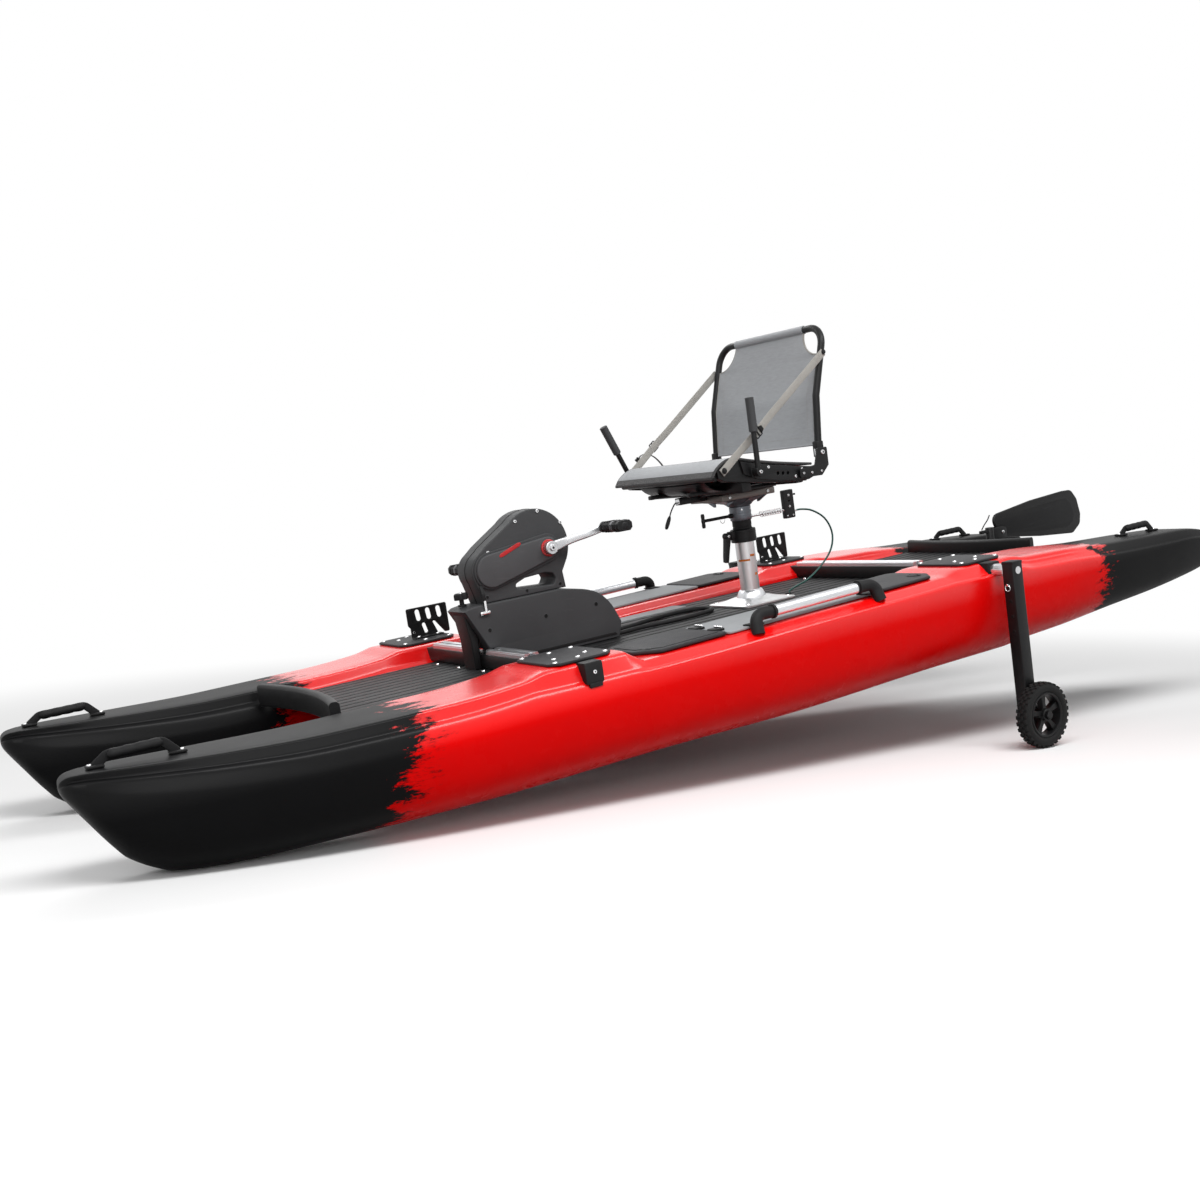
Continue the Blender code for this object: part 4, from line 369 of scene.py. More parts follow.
def hull_paint(name):
    """Red plastic that feathers into black at bow and stern, as the two colours run together in the mould."""
    material, wires, shader = start_material(name)
    home = BOAT.inverted()
    settings = {"Vector": wires.place(), "Location": home.to_translation(), "Rotation": home.to_euler()}
    place = wires.node("ShaderNodeMapping", settings).outputs[0]
    ahead, _, height = wires.node("ShaderNodeSeparateXYZ", {0: place}).outputs
    swirl = wires.noise(place, 7.0, 3.0, 0.55)
    bent = {0: wires.stretch(place, FEATHER_STRETCH), 1: swirl}
    bend = wires.node("ShaderNodeVectorMath", bent, operation="ADD")
    feather = wires.noise(bend.outputs[0], 1.6, 10.0, 0.72)
    spread = wires.maths("MULTIPLY", wires.maths("SUBTRACT", feather, 0.5), FEATHER_REACH)
    slant = wires.maths("MULTIPLY", wires.maths("SUBTRACT", height, FEATHER_MIDDLE), FEATHER_SLANT)
    to_bow = wires.maths("ADD", wires.maths("ADD", ahead, spread), slant)
    bow = wires.ramp(wires.maths("SUBTRACT", to_bow, BOW_BLACK), FEATHER_EDGE)
    to_stern = wires.maths("SUBTRACT", wires.maths("MULTIPLY", ahead, -1.0), spread)
    stern = wires.ramp(wires.maths("SUBTRACT", to_stern, STERN_BLACK), FEATHER_EDGE)
    black = wires.maths("MAXIMUM", bow, stern)
    out = shared(wires, "moulded_grain", grain_group, grain_size=0.0016, scuffs=0.10)
    red = wires.mix(out["Patches"], dim(colours().red, 0.93), dim(colours().red, 1.04))
    dark = wires.mix(out["Patches"], dim(colours().black, 0.75), dim(colours().black, 1.35))
    wires.feed(shader.inputs["Base Color"], wires.mix(black, red, dark))
    gloss = wires.scaled(out["Patches"], 0.12, 0.21)
    dulled = wires.maths("MULTIPLY", black, BLACK_DULLING)
    wires.feed(shader.inputs["Roughness"], wires.maths("ADD", gloss, dulled))
    wires.bump(shader, out["Height"], 0.00010)
    # Painted sheen: the coat is laid on by height, on the upper band only, and is mostly left off the black
    # ends
    sheen = wires.ramp(height, PAINTED_SHEEN_HEIGHTS)
    bare = wires.maths("SUBTRACT", 1.0, wires.maths("MULTIPLY", black, BLACK_COAT_LOSS))
    wires.feed(shader.inputs["Coat Weight"], wires.maths("MULTIPLY", sheen, bare))
    shader.inputs["Coat Roughness"].default_value = 0.24
    shader.inputs["Specular IOR Level"].default_value = 0.05
    return material


def woven(name, colour, thread, roughness=0.85):
    """Woven cloth or webbing with slubs."""
    material, wires, shader = start_material(name)
    out = shared(wires, "plain_weave", weave_group, thread=thread)
    shade = wires.mix(out["Shade"], dim(colour, 0.72), dim(colour, 1.18))
    wires.feed(shader.inputs["Base Color"], wires.mix(out["Height"], dim(colour, 0.55), shade))
    wires.bump(shader, out["Height"], 0.0005, 0.8)
    shader.inputs["Roughness"].default_value = roughness
    shader.inputs["Sheen Weight"].default_value = 0.25
    return material


# Each finish: its maker, its colour or a share of a chosen colour, its roughness or thread, and what differs
FINISH_TABLE = {
    "deck": (moulded, ("black", 2.0), 0.52, {"grain": 0.0022, "bump": 0.0003, "scuffs": 0.35}),
    "black_plastic": (moulded, ("black", 1.2), 0.46, {"bump": 0.0002}),
    "panel": (moulded, (0.024, 0.024, 0.026), 0.55, {"grain": 0.0028, "bump": 0.0005, "scuffs": 0.3}),
    "drive_plastic": (moulded, (0.040, 0.041, 0.043), 0.55, {"grain": 0.0016, "bump": 0.00025}),
    "cover_plastic": (moulded, (0.062, 0.063, 0.066), 0.50, {"grain": 0.0016, "bump": 0.0002}),
    "crank_metal": (moulded, (0.52, 0.53, 0.54), 0.34, {"grain": 0.001, "bump": 0.00006, "metallic": 0.9}),
    "pedal_band": (moulded, (0.10, 0.10, 0.105), 0.40, {"metallic": 0.6}),
    # Near-black of the discs that paint the shade inside holes
    "deep_black": (moulded, (0.002, 0.002, 0.002), 0.80, {"bump": 0.0001}),
    "black_metal": (moulded, (0.006, 0.006, 0.0065), 0.40, {"grain": 0.0009, "bump": 0.00008}),
    "black_rubber": (moulded, (0.006, 0.006, 0.0065), 0.62, {"grain": 0.0014, "bump": 0.0002}),
    "grip_rubber": (moulded, (0.045, 0.046, 0.048), 0.62, {"bump": 0.0002}),
    "tyre_rubber": (moulded, (0.007, 0.007, 0.007), 0.72, {"grain": 0.0010, "bump": 0.0003, "scuffs": 0.5}),
    "pad_grey": (moulded, (0.30, 0.31, 0.32), 0.60, {"grain": 0.002, "bump": 0.0003}),
    "cast_grey": (moulded, (0.155, 0.170, 0.190), 0.42, {"grain": 0.0018, "bump": 0.0002, "metallic": 0.55}),
    "flange_grey": (moulded, (0.16, 0.145, 0.135), 0.45, {"grain": 0.0015, "metallic": 0.5}),
    "trim_red": (moulded, (0.42, 0.012, 0.014), 0.38, {"bump": 0.0001, "coat": 0.3}),
    "orange_mark": (moulded, (0.62, 0.17, 0.03), 0.55, {}),
    "cable_sheath": (moulded, ("cable", 1.0), 0.38, {"coat": 0.2}),
    "aluminium": (brushed, (0.66, 0.67, 0.69), 0.36, {}),
    "satin_tube": (brushed, (0.60, 0.605, 0.61), 0.40, {"fineness": 500.0}),
    "steel": (brushed, (0.62, 0.62, 0.63), 0.24, {"fineness": 1400.0}),
    "chrome": (brushed, (0.80, 0.80, 0.81), 0.16, {"fineness": 1800.0, "tint": 0.05}),
    "sling": (woven, ("fabric", 1.0), 0.0024, {}),
    "hem": (woven, (0.014, 0.014, 0.015), 0.0015, {"roughness": 0.75}),
    "webbing": (woven, ("webbing", 1.0), 0.0017, {}),
}


def make_finish(name):
    """Makes a finish from its row in the table."""
    if name == "red_hull":
        return hull_paint(name)
    maker, colour, texture, options = FINISH_TABLE[name]
    if colour[0] in BoatColours.__annotations__:
        colour = dim(getattr(colours(), colour[0]), colour[1])
    return maker(name, colour, texture, **options)


def finish(name):
    """The finish of that name, made when first asked for."""
    if name not in FINISHES:
        FINISHES[name] = make_finish(name)
    return FINISHES[name]


# Mesh building in the boat's own axes
SMALLEST_RADIUS = 0.00005
ROUTE_STEPS = 24


def ring_faces(shape, loops, closed):
    """Faces between neighbouring loops."""
    pairs = list(zip(loops, loops[1:]))
    if closed:
        pairs.append((loops[-1], loops[0]))
    for first, second in pairs:
        count = len(first)
        for i in range(count):
            j = (i + 1) % count
            shape.faces.new((first[i], first[j], second[j], second[i]))


def loft(rings, closed=False):
    """Skin over rings of points; open lofts get flat ends."""
    shape = bmesh.new()
    loops = [[shape.verts.new(point) for point in ring] for ring in rings]
    ring_faces(shape, loops, closed)
    if not closed:
        shape.faces.new(loops[0][::-1])
        shape.faces.new(loops[-1])
    return shape


def side_vectors(direction):
    """Two directions square to the given one and to each other."""
    guide = Vector(UP) if abs(direction.z) < 0.9 else Vector(AHEAD)
    first = direction.cross(guide).normalized()
    return first, direction.cross(first).normalized()


def circle(centre, first, second, radius, count):
    """Points of a circle in the plane of two directions."""
    turns = [2 * math.pi * i / count for i in range(count)]
    return [centre + radius * (math.cos(a) * first + math.sin(a) * second) for a in turns]


def lathe(profile, centre, axis, count=24, closed=False):
    """Turned shape: profile is (offset along the axis, radius); a closed profile makes a ring."""
    direction = Vector(axis).normalized()
    first, second = side_vectors(direction)
    rings = []
    for along, radius in profile:
        rings.append(
            circle(Vector(centre) + direction * along, first, second, max(radius, SMALLEST_RADIUS), count))
    return loft(rings, closed)


def rod(start, end, radius, count=16, edge=0.0006):
    """Round bar with eased ends."""
    start, end = Vector(start), Vector(end)
    length = (end - start).length
    ease = min(edge, radius * 0.4, length * 0.2)
    profile = [(0, radius - ease), (ease, radius), (length - ease, radius), (length, radius - ease)]
    return lathe(profile, start, end - start, count)


def sweep(path, section, up=UP, sizes_at=None):
    """Carries a section, points of (across, lift), along a path."""
    path = [Vector(p) for p in path]
    rings = []
    last = len(path) - 1
    for i, point in enumerate(path):
        ahead = (path[min(i + 1, last)] - path[max(i - 1, 0)]).normalized()
        across = Vector(up).cross(ahead).normalized()
        lift = ahead.cross(across).normalized()
        share = sizes_at(i / last) if sizes_at else 1.0
        rings.append([point + (across * a + lift * b) * share for a, b in section])
    return loft(rings)


def round_section(radius, count=14, flat=1.0):
    """A circle or flattened circle as a section."""
    turns = [2 * math.pi * (i + 0.5) / count for i in range(count)]
    return [(radius * math.cos(a), radius * flat * math.sin(a)) for a in turns]


def box_section(wide, tall, corner, steps=3):
    """A rectangle with round corners, about its middle."""
    points = []
    for sx, sy, start in ((1, 1, 0), (-1, 1, 90), (-1, -1, 180), (1, -1, 270)):
        for i in range(steps + 1):
            a = math.radians(start + 90 * i / steps)
            across = sx * (wide / 2 - corner) + corner * math.cos(a)
            lift = sy * (tall / 2 - corner) + corner * math.sin(a)
            points.append((across, lift))
    return points


def tube(path, radius, count=14, up=UP, sizes_at=None):
    """A round tube along a path."""
    return sweep(path, round_section(radius, count), up, sizes_at)


def rounded(points, radius, steps=6):
    """The polyline with each inner corner turned into an arc."""
    points = [Vector(p) for p in points]
    path = [points[0]]
    for before, corner, after in zip(points, points[1:], points[2:]):
        back, ahead = (before - corner).normalized(), (after - corner).normalized()
        half = back.angle(ahead) / 2
        shortest = min((before - corner).length, (after - corner).length)
        reach = min(radius / math.tan(half), 0.48 * shortest)
        bend = reach * math.tan(half)
        middle = corner + (back + ahead).normalized() * (bend / math.sin(half))
        start = (corner + back * reach - middle).normalized()
        end = (corner + ahead * reach - middle).normalized()
        path += [middle + bend * start.slerp(end, i / steps) for i in range(steps + 1)]
    path.append(points[-1])
    return path


def smooth_route(points, count):
    """A Catmull-Rom curve through the points, read at even steps."""
    points = [Vector(p) for p in points]
    padded = [2 * points[0] - points[1], *points, 2 * points[-1] - points[-2]]
    fine = []
    for a, b, c, d in zip(padded, padded[1:], padded[2:], padded[3:]):
        for step in range(ROUTE_STEPS):
            t = step / ROUTE_STEPS
            square, cube = 2 * a - 5 * b + 4 * c - d, 3 * b - a - 3 * c + d
            fine.append(0.5 * (2 * b + (c - a) * t + square * t * t + cube * t ** 3))
    fine.append(points[-1])
    runs = np.cumsum([0.0] + [(q - p).length for p, q in zip(fine, fine[1:])])
    places = np.linspace(0.0, runs[-1], count)
    columns = [np.interp(places, runs, [p[i] for p in fine]) for i in range(3)]
    return [Vector(p) for p in zip(*columns)]


def cuboid(low, high, edge=0.002, steps=2):
    """Box with round edges between two opposite corners."""
    shape = bmesh.new()
    low, high = Vector([*map(min, low, high)]), Vector([*map(max, low, high)])
    bmesh.ops.create_cube(shape, size=1.0)
    for vert in shape.verts:
        vert.co = [a + (place + 0.5) * (b - a) for a, b, place in zip(low, high, vert.co)]
    eased = min(edge, 0.45 * min(high - low))
    bmesh.ops.bevel(shape, geom=shape.edges[:], offset=eased, segments=steps, affect="EDGES", profile=0.5)
    return shape


PLANES = {
    "x": Matrix(((0, 0, 1, 0), (1, 0, 0, 0), (0, 1, 0, 0), (0, 0, 0, 1))),
    "y": Matrix(((1, 0, 0, 0), (0, 0, -1, 0), (0, 1, 0, 0), (0, 0, 0, 1))),
    "z": Matrix.Identity(4),
}


def plate(outline, low, high, across="y", edge=0.0015, holes=(), steps=2):
    """Sheet cut to an outline, with holes and round edges, between two heights across its plane."""
    low, high = min(low, high), max(low, high)
    thick = high - low
    edge = min(edge, thick * 0.45)
    curve = bpy.data.curves.new("cut", "CURVE")
    curve.dimensions = "2D"
    curve.fill_mode = "BOTH"
    curve.extrude = thick / 2 - edge
    curve.bevel_depth = edge
    curve.bevel_resolution = steps
    curve.offset = -edge
    for loop in (outline, *holes):
        spline = curve.splines.new("POLY")
        spline.points.add(len(loop) - 1)
        for point, (a, b) in zip(spline.points, loop):
            point.co = (a, b, 0.0, 1.0)
        spline.use_cyclic_u = True
    holder = bpy.data.objects.new("cut", curve)
    bpy.context.scene.collection.objects.link(holder)
    bpy.context.view_layer.update()
    mesh = bpy.data.meshes.new_from_object(holder.evaluated_get(bpy.context.evaluated_depsgraph_get()))
    shape = bmesh.new()
    shape.from_mesh(mesh)
    bpy.data.objects.remove(holder, do_unlink=True)
    bpy.data.curves.remove(curve)
    bpy.data.meshes.remove(mesh)
    bmesh.ops.remove_doubles(shape, verts=shape.verts, dist=0.00002)
    middle = (low + high) / 2
    lift = {"x": (middle, 0, 0), "y": (0, middle, 0), "z": (0, 0, middle)}[across]
    bmesh.ops.transform(shape, matrix=Matrix.Translation(lift) @ PLANES[across], verts=shape.verts)
    return shape


def arc(centre, radius, start, end, steps):
    """Points of an arc, angles in degrees from the first axis to the second."""
    turns = [math.radians(start + (end - start) * i / steps) for i in range(steps + 1)]
    return [(centre[0] + radius * math.cos(a), centre[1] + radius * math.sin(a)) for a in turns]


def soft_corners(points, radius, steps=4):
    """A closed outline with its corners rounded."""
    flat = [Vector((a, b, 0)) for a, b in points]
    made = []
    for i, corner in enumerate(flat):
        before, after = flat[i - 1], flat[(i + 1) % len(flat)]
        made += rounded([before, corner, after], radius, steps)[1:-1]
    return [(p.x, p.y) for p in made]


def oval(centre, length, width, tilt=0.0, steps=8):
    """A slot with round ends."""
    reach = (length - width) / 2
    ends = arc((reach, 0), width / 2, -90, 90, steps) + arc((-reach, 0), width / 2, 90, 270, steps)
    c, s = math.cos(tilt), math.sin(tilt)
    return [(centre[0] + a * c - b * s, centre[1] + a * s + b * c) for a, b in ends]


def eight_sided(centre, wide, tall, cut, radius):
    """A rectangle of half sizes with its corners cut off and rounded."""
    corners = [(wide, tall - cut), (wide - cut, tall), (cut - wide, tall), (-wide, tall - cut),
               (-wide, cut - tall), (cut - wide, -tall), (wide - cut, -tall), (wide, cut - tall)]
    return soft_corners([(centre[0] + a, centre[1] + b) for a, b in corners], radius)


class Shape:
    """A piece under construction: several solids, each with its finish."""

    def __init__(self):
        self.mesh = bmesh.new()
        self.finishes = []

    def add(self, solid, look, matrix=None):
        if look not in self.finishes:
            self.finishes.append(look)
        if matrix is not None:
            bmesh.ops.transform(solid, matrix=matrix, verts=solid.verts)
        bmesh.ops.recalc_face_normals(solid, faces=solid.faces)
        for face in solid.faces:
            face.material_index = self.finishes.index(look)
        holder = bpy.data.meshes.new("part")
        solid.to_mesh(holder)
        solid.free()
        self.mesh.from_mesh(holder)
        bpy.data.meshes.remove(holder)
        return self

    def screw(self, spot, normal, radius=None, look="chrome"):
        """A pan head with a six-sided socket."""
        radius = radius or sizes().screw
        profile = [(-0.001, radius), (radius * 0.25, radius), (radius * 0.50, radius * 0.82),
                   (radius * 0.56, radius * 0.52)]
        self.add(lathe(profile, spot, normal, 16), look)
        lift = Vector(spot) + Vector(normal).normalized() * (radius * 0.561)
        socket = [(-radius * 0.02, radius * 0.40), (0.0, radius * 0.42)]
        return self.add(lathe(socket, lift, normal, 6), "black_metal")

    def build(self, name, body, replaces=(), slot=None, sharp=38, subdivide=0, level=False):
        """Makes the object; level keeps its own axes level, so that its box is no larger than the piece."""
        mesh = bpy.data.meshes.new(name)
        self.mesh.to_mesh(mesh)
        self.mesh.free()
        for look in self.finishes:
            mesh.materials.append(finish(look))
        mesh.shade_smooth()
        mesh.set_sharp_from_angle(angle=math.radians(sharp))
        piece = bpy.data.objects.new(name, mesh)
        bpy.context.scene.collection.objects.link(piece)
        if level:
            mesh.transform(BOAT)
        else:
            piece.matrix_world = BOAT
        if subdivide:
            modifier = piece.modifiers.new("round", "SUBSURF")
            modifier.levels = modifier.render_levels = subdivide
        if body:
            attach(piece, body)
        if replaces:
            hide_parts(*replaces)
        return piece


# Hulls
def monotone(xs, ys, places):
    """Cubic through the points that never overshoots them."""
    xs, ys = np.array(xs, float), np.array(ys, float)
    steps = np.diff(xs)
    slopes = np.diff(ys) / steps
    tangents = np.zeros(len(xs))
    for i in range(1, len(xs) - 1):
        if slopes[i - 1] * slopes[i] > 0:
            a, b = 2 * steps[i] + steps[i - 1], steps[i] + 2 * steps[i - 1]
            tangents[i] = (a + b) / (a / slopes[i - 1] + b / slopes[i])
    tangents[0], tangents[-1] = slopes[0], slopes[-1]
    cell = np.clip(np.searchsorted(xs, places) - 1, 0, len(xs) - 2)
    t = (places - xs[cell]) / steps[cell]
    start = (1 + 2 * t) * (1 - t) ** 2 * ys[cell] + t * (1 - t) ** 2 * steps[cell] * tangents[cell]
    end = t * t * (3 - 2 * t) * ys[cell + 1] + t * t * (t - 1) * steps[cell] * tangents[cell + 1]
    return start + end


def flat_top(x):
    """Height of the hull's flat between the humps, which slopes."""
    front = FRONT_BAR_X - HUMP_HALF - HUMP_RAMP
    rear = REAR_BAR_X + HUMP_HALF + HUMP_RAMP
    return FLAT_TOP_FRONT + (FLAT_TOP_REAR - FLAT_TOP_FRONT) * (front - x) / (front - rear)


def stations():
    """Each station from the stern: x, half width, keel, top, lip drop, flat share, toe."""
    half = HULL_WIDTH / 2
    bow_start = FRONT_BAR_X + HUMP_HALF + HUMP_RAMP
    stern_start = REAR_BAR_X - HUMP_HALF - HUMP_RAMP
    rows = []
    for share, width, keel, top, lip, flat in BOW_LINES:
        x = bow_start + share * (BOW_TIP - bow_start)
        rows.append((x, half * width, keel, top, LIP_DROP * lip, flat, HULL_TOE * share ** 2))
    front_flat = bow_start - 2 * (HUMP_HALF + HUMP_RAMP)
    rear_flat = stern_start + 2 * (HUMP_HALF + HUMP_RAMP)
    middle = (front_flat + rear_flat) / 2
    rows += [
        (bow_start, half, 0.010, BOW_SHOULDER_TOP, LIP_DROP, 0.15, 0.0),
        (bow_start - HUMP_RAMP, half, 0.010, BAR_TOP, LIP_DROP + 0.012, 0.15, 0.0),
        (front_flat + HUMP_RAMP, half, 0.010, BAR_TOP, LIP_DROP + 0.014, 0.15, 0.0),
        (front_flat, half, 0.010, flat_top(front_flat), LIP_DROP * 0.6, 0.15, 0.0),
        (middle, half, 0.0, flat_top(middle), LIP_DROP * 0.6, 0.15, 0.0),
        (rear_flat, half, 0.008, flat_top(rear_flat), LIP_DROP * 0.6, 0.15, 0.0),
        (rear_flat - HUMP_RAMP, half, 0.008, BAR_TOP, LIP_DROP, 0.15, 0.0),
        (stern_start + HUMP_RAMP, half, 0.008, BAR_TOP, LIP_DROP, 0.15, 0.0),
        (stern_start, half * 0.99, 0.014, STERN_SHOULDER_TOP, LIP_DROP, 0.15, 0.0),
    ]
    for share, width, keel, top, lip, flat in STERN_LINES:
        x = stern_start - share * (BOW_TIP + stern_start)
        rows.append((x, half * width, keel, top, LIP_DROP * lip, flat, HULL_TOE * share ** 2))
    return sorted(rows)


def hull_rows(places):
    """The stations' values, read smoothly at the given places."""
    columns = list(zip(*stations()))
    return np.array([places] + [monotone(columns[0], column, places) for column in columns[1:]]).T


def ease(value, low, high):
    """0 before low, 1 after high, smooth between."""
    t = min(max((value - low) / (high - low), 0.0), 1.0)
    return t * t * (3 - 2 * t)


LIP_DEEPER = 1.6
RIDGE_RISE = 0.0032
# Foot and head of each ridge, as shares of the way from the lip to the crown
RIDGE_PLACES = ((0.30, -1), (0.36, 1), (0.62, -1), (0.68, 1))
FLARE = 0.018


def ridged(x):
    """1 where two low ridges run along the shoulder, behind the rear crossbar."""
    return ease(x, -1.10, -1.02) * (1 - ease(x, -0.80, -0.74))


def hull_section(side, x, width, keel, top, drop, flat, toe):
    """A ring of the hull: keel, bilge, chine, lip, shoulder, crown, and down the other side."""
    lip = top - drop
    step = min(LIP_STEP * LIP_DEEPER, width * 0.2)
    crown = min(CROWN_HALF, width * 0.74)
    rise = lip - keel
    flare = FLARE * ease(x, 0.25, 1.0) * width / (HULL_WIDTH / 2)
    edge = width - flare
    ridge = RIDGE_RISE * ridged(x)
    half = [
        (flat * width, keel),
        ((0.36 + flat) * width, keel + 0.06 * rise),
        (0.80 * width, keel + 0.21 * rise),
        (0.92 * width, keel + 0.44 * rise),
        (0.975 * width, keel + 0.64 * rise),
        (width, keel + 0.80 * rise),
        (width - 0.55 * flare, keel + 0.90 * rise),
        (edge, lip - 0.10 * drop),
        (edge - step, lip),
        (edge - 1.3 * step, lip + 0.12 * drop),
    ]
    start = half[-1]
    for share, lift in RIDGE_PLACES:
        out = start[0] + (crown - start[0]) * share + 0.5 * ridge * lift
        half.append((out, start[1] + (top - start[1]) * share + ridge * lift))
    half += [(crown, top), (crown * 0.5, top)]
    centre = HULL_SPACING / 2 - toe
    outer = [(centre + a, z) for a, z in half]
    inner = [(centre - a, z) for a, z in reversed(half)]
    return [Vector((x, side * y, z)) for y, z in outer + inner]


def hull_places():
    """Where the rings stand: closer together at the tips and at the humps' ramps."""
    places = list(np.arange(-BOW_TIP + 0.08, BOW_TIP - 0.12, 0.045))
    places += [row[0] for row in stations()]
    places += [BOW_TIP - inside for inside in (0.10, 0.07, 0.045, 0.028)]
    places += [inside - BOW_TIP for inside in (0.055, 0.035, 0.022)]
    return np.array(sorted(set(round(x, 4) for x in places)))


class BOAT_OT_hulls(bpy.types.Operator):
    """The two moulded hulls with their crowns, lips and chines."""

    bl_idname = "boat.hulls"
    bl_label = "Hulls"

    def execute(self, context):
        for side, name in SIDE_NAMES.items():
            rings = [hull_section(side, *row) for row in hull_rows(hull_places())]
            Shape().add(loft(rings), "red_hull").build(
                f"{name}_hull_shell", "boat", [f"{name}_hull"], "red_hull", sharp=60, subdivide=2, level=True)
        return {"FINISHED"}


# Decks
GAP = 0.0003
DECK_THICKNESS = 0.014
RIB_DEPTH = 0.006
FORE_DECK_END = 1.270
AFT_DECK_END = -1.200
COAMING_SWEEP = 0.036
COAMING_THICKNESS = 0.026
COAMING_TOPS = {"fore": 0.298, "aft": 0.292}
CABLE_GLAND_X = -0.368
DECK_PAD = ((0.315, 0.192), (0.315, 0.270), (-0.105, 0.270), (-0.105, 0.192))


def ribbed_section():
    """The deck's cross-section: round-shouldered ribs over a flat underside."""
    half = DECK_HALF - GAP
    pitch = sizes().rib_pitch
    count = int((2 * half - 0.010) // pitch)
    groove = [(-0.0075, 0.0), (-0.0055, -0.0009), (-0.0040, -0.0045), (-0.0025, -RIB_DEPTH)]
    groove += [(-a, b) for a, b in reversed(groove)]
    top = [(-half, DECK_TOP - 0.002), (-half + 0.002, DECK_TOP)]
    for i in range(count + 1):
        centre = -count * pitch / 2 + i * pitch
        top += [(centre + a, DECK_TOP + b) for a, b in groove]
    top += [(half - 0.002, DECK_TOP), (half, DECK_TOP - 0.002)]
    bottom = DECK_TOP - DECK_THICKNESS
    return [(half, bottom), (-half, bottom)] + top


def deck_run(start, end):
    """A length of ribbed deck."""
    return loft([[Vector((x, y, z)) for y, z in ribbed_section()] for x in (start, end)])


def coaming(end_x, outward, top):
    """The raised lip at a deck's end: bowed inwards amidships, with a rolled upper edge."""
    half = DECK_HALF - GAP
    low = DECK_TOP - DECK_THICKNESS
    path = []
    for i in range(25):
        share = -1 + i / 12
        out = COAMING_THICKNESS / 2 - COAMING_SWEEP * (1 - share ** 2)
        path.append(Vector((end_x + outward * out, share * half, 0)))
    section = [(a, b + (top + low) / 2) for a, b in box_section(COAMING_THICKNESS, top - low, 0.010, 4)]
    return sweep(path, section)


class BOAT_OT_decks(bpy.types.Operator):
    """The ribbed decks, their end lips and the grey pads beside the seat."""

    bl_idname = "boat.decks"
    bl_label = "Decks"

    def execute(self, context):
        fore = Shape().add(deck_run(FRONT_BAR_X, FORE_DECK_END - COAMING_SWEEP / 2), "deck")
        fore.add(coaming(FORE_DECK_END, 1, COAMING_TOPS["fore"]), "black_plastic")
        stop = cuboid((1.215, -0.05, DECK_TOP - 0.004), (1.245, 0.05, DECK_TOP + 0.012), 0.005)
        fore.add(stop, "black_plastic")
        for y in (-0.215, -0.075, 0.075, 0.215):
            fore.screw((0.782, y, DECK_TOP), UP)
        fore.build("fore_deck_shell", "boat", ["fore_deck"], "black_deck")
        middle = Shape().add(deck_run(REAR_BAR_X, FRONT_BAR_X), "deck")
        for side in SIDE_NAMES:
            outline = soft_corners([(x, side * y) for x, y in DECK_PAD], 0.012)
            middle.add(plate(outline, DECK_TOP - 0.002, DECK_TOP + 0.004, "z", 0.0015), "pad_grey")
            for x in (0.700, -0.630):
                middle.screw((x, side * 0.215, DECK_TOP), UP)
        grommet = [(0.0, 0.010), (0.003, 0.010), (0.0045, 0.008), (0.0045, 0.0042), (0.0, 0.0042)]
        middle.add(lathe(grommet, (CABLE_GLAND_X, 0, DECK_TOP - 0.001), UP, 20, True), "black_rubber")
        middle.build("mid_deck_shell", "boat", ["mid_deck"], "black_deck")
        aft = Shape().add(deck_run(AFT_DECK_END + COAMING_SWEEP / 2, REAR_BAR_X), "deck")
        aft.add(coaming(AFT_DECK_END, -1, COAMING_TOPS["aft"]), "black_plastic")
        arm = [(-1.350, 0.222), (-1.350, 0.236), (-1.230, 0.240), (-1.184, 0.262), (-1.184, 0.222)]
        aft.add(plate(arm, -0.026, 0.026, "y", 0.003), "black_plastic")
        for y in (0.014, -0.014):
            aft.screw((-1.262, y, 0.239), UP)
        aft.build("aft_deck_shell", "boat", ["aft_deck"], "black_deck")
        return {"FINISHED"}


# Crossbars and what is clamped on them
TRACK_HALF = 0.022
TRACK_DEPTH = 0.013
TRACK_TOP = 0.303
TRACK_INNER = 0.061
CAP_INNER = 0.508
LEG_PIVOT_Z = 0.275


def track_section():
    """A slotted extrusion, about its top middle: (across, lift)."""
    half, depth = TRACK_HALF, TRACK_DEPTH
    right = [
        (half, -depth), (half, -0.0045), (half - 0.002, -0.004), (half - 0.002, -0.0012), (half - 0.003, 0),
        (0.0055, 0), (0.0045, -0.001), (0.0045, -0.004), (0.011, -0.004), (0.011, -0.0095)]
    left = [(-across, lift) for across, lift in reversed(right)]
    return left[-1:] + right + left[:-1]


def crossbar(bar_x, runs):
    """A square beam with slotted tracks, end caps and their screws."""
    shape = Shape()
    half = BAR_SIZE / 2
    low = BAR_TOP - BAR_SIZE
    beam = cuboid((bar_x - half, -CAP_INNER, low), (bar_x + half, CAP_INNER, BAR_TOP - 0.010), 0.003)
    shape.add(beam, "black_metal")
    for start, end in runs:
        path = [Vector((bar_x, start, TRACK_TOP)), Vector((bar_x, end, TRACK_TOP))]
        shape.add(sweep(path, track_section()), "aluminium")
        inset = 0.022 * np.sign(end - start)
        for y in (start + inset, end - inset):
            shape.screw((bar_x, y, TRACK_TOP - 0.0045), UP, 0.0042, "steel")
    for side in SIDE_NAMES:
        cap = cuboid((bar_x - half - 0.001, side * (CAP_INNER - 0.012), low - 0.004),
                     (bar_x + half + 0.001, side * BAR_REACH, BAR_TOP), 0.005)
        shape.add(cap, "black_plastic")
        lip = cuboid((bar_x - half + 0.006, side * 0.545, low - 0.013),
                     (bar_x + half - 0.006, side * (BAR_REACH + 0.002), low), 0.004)
        shape.add(lip, "black_plastic")
        shape.screw((bar_x, side * BAR_REACH, BAR_TOP - half), (0, side, 0), 0.0055)
    return shape


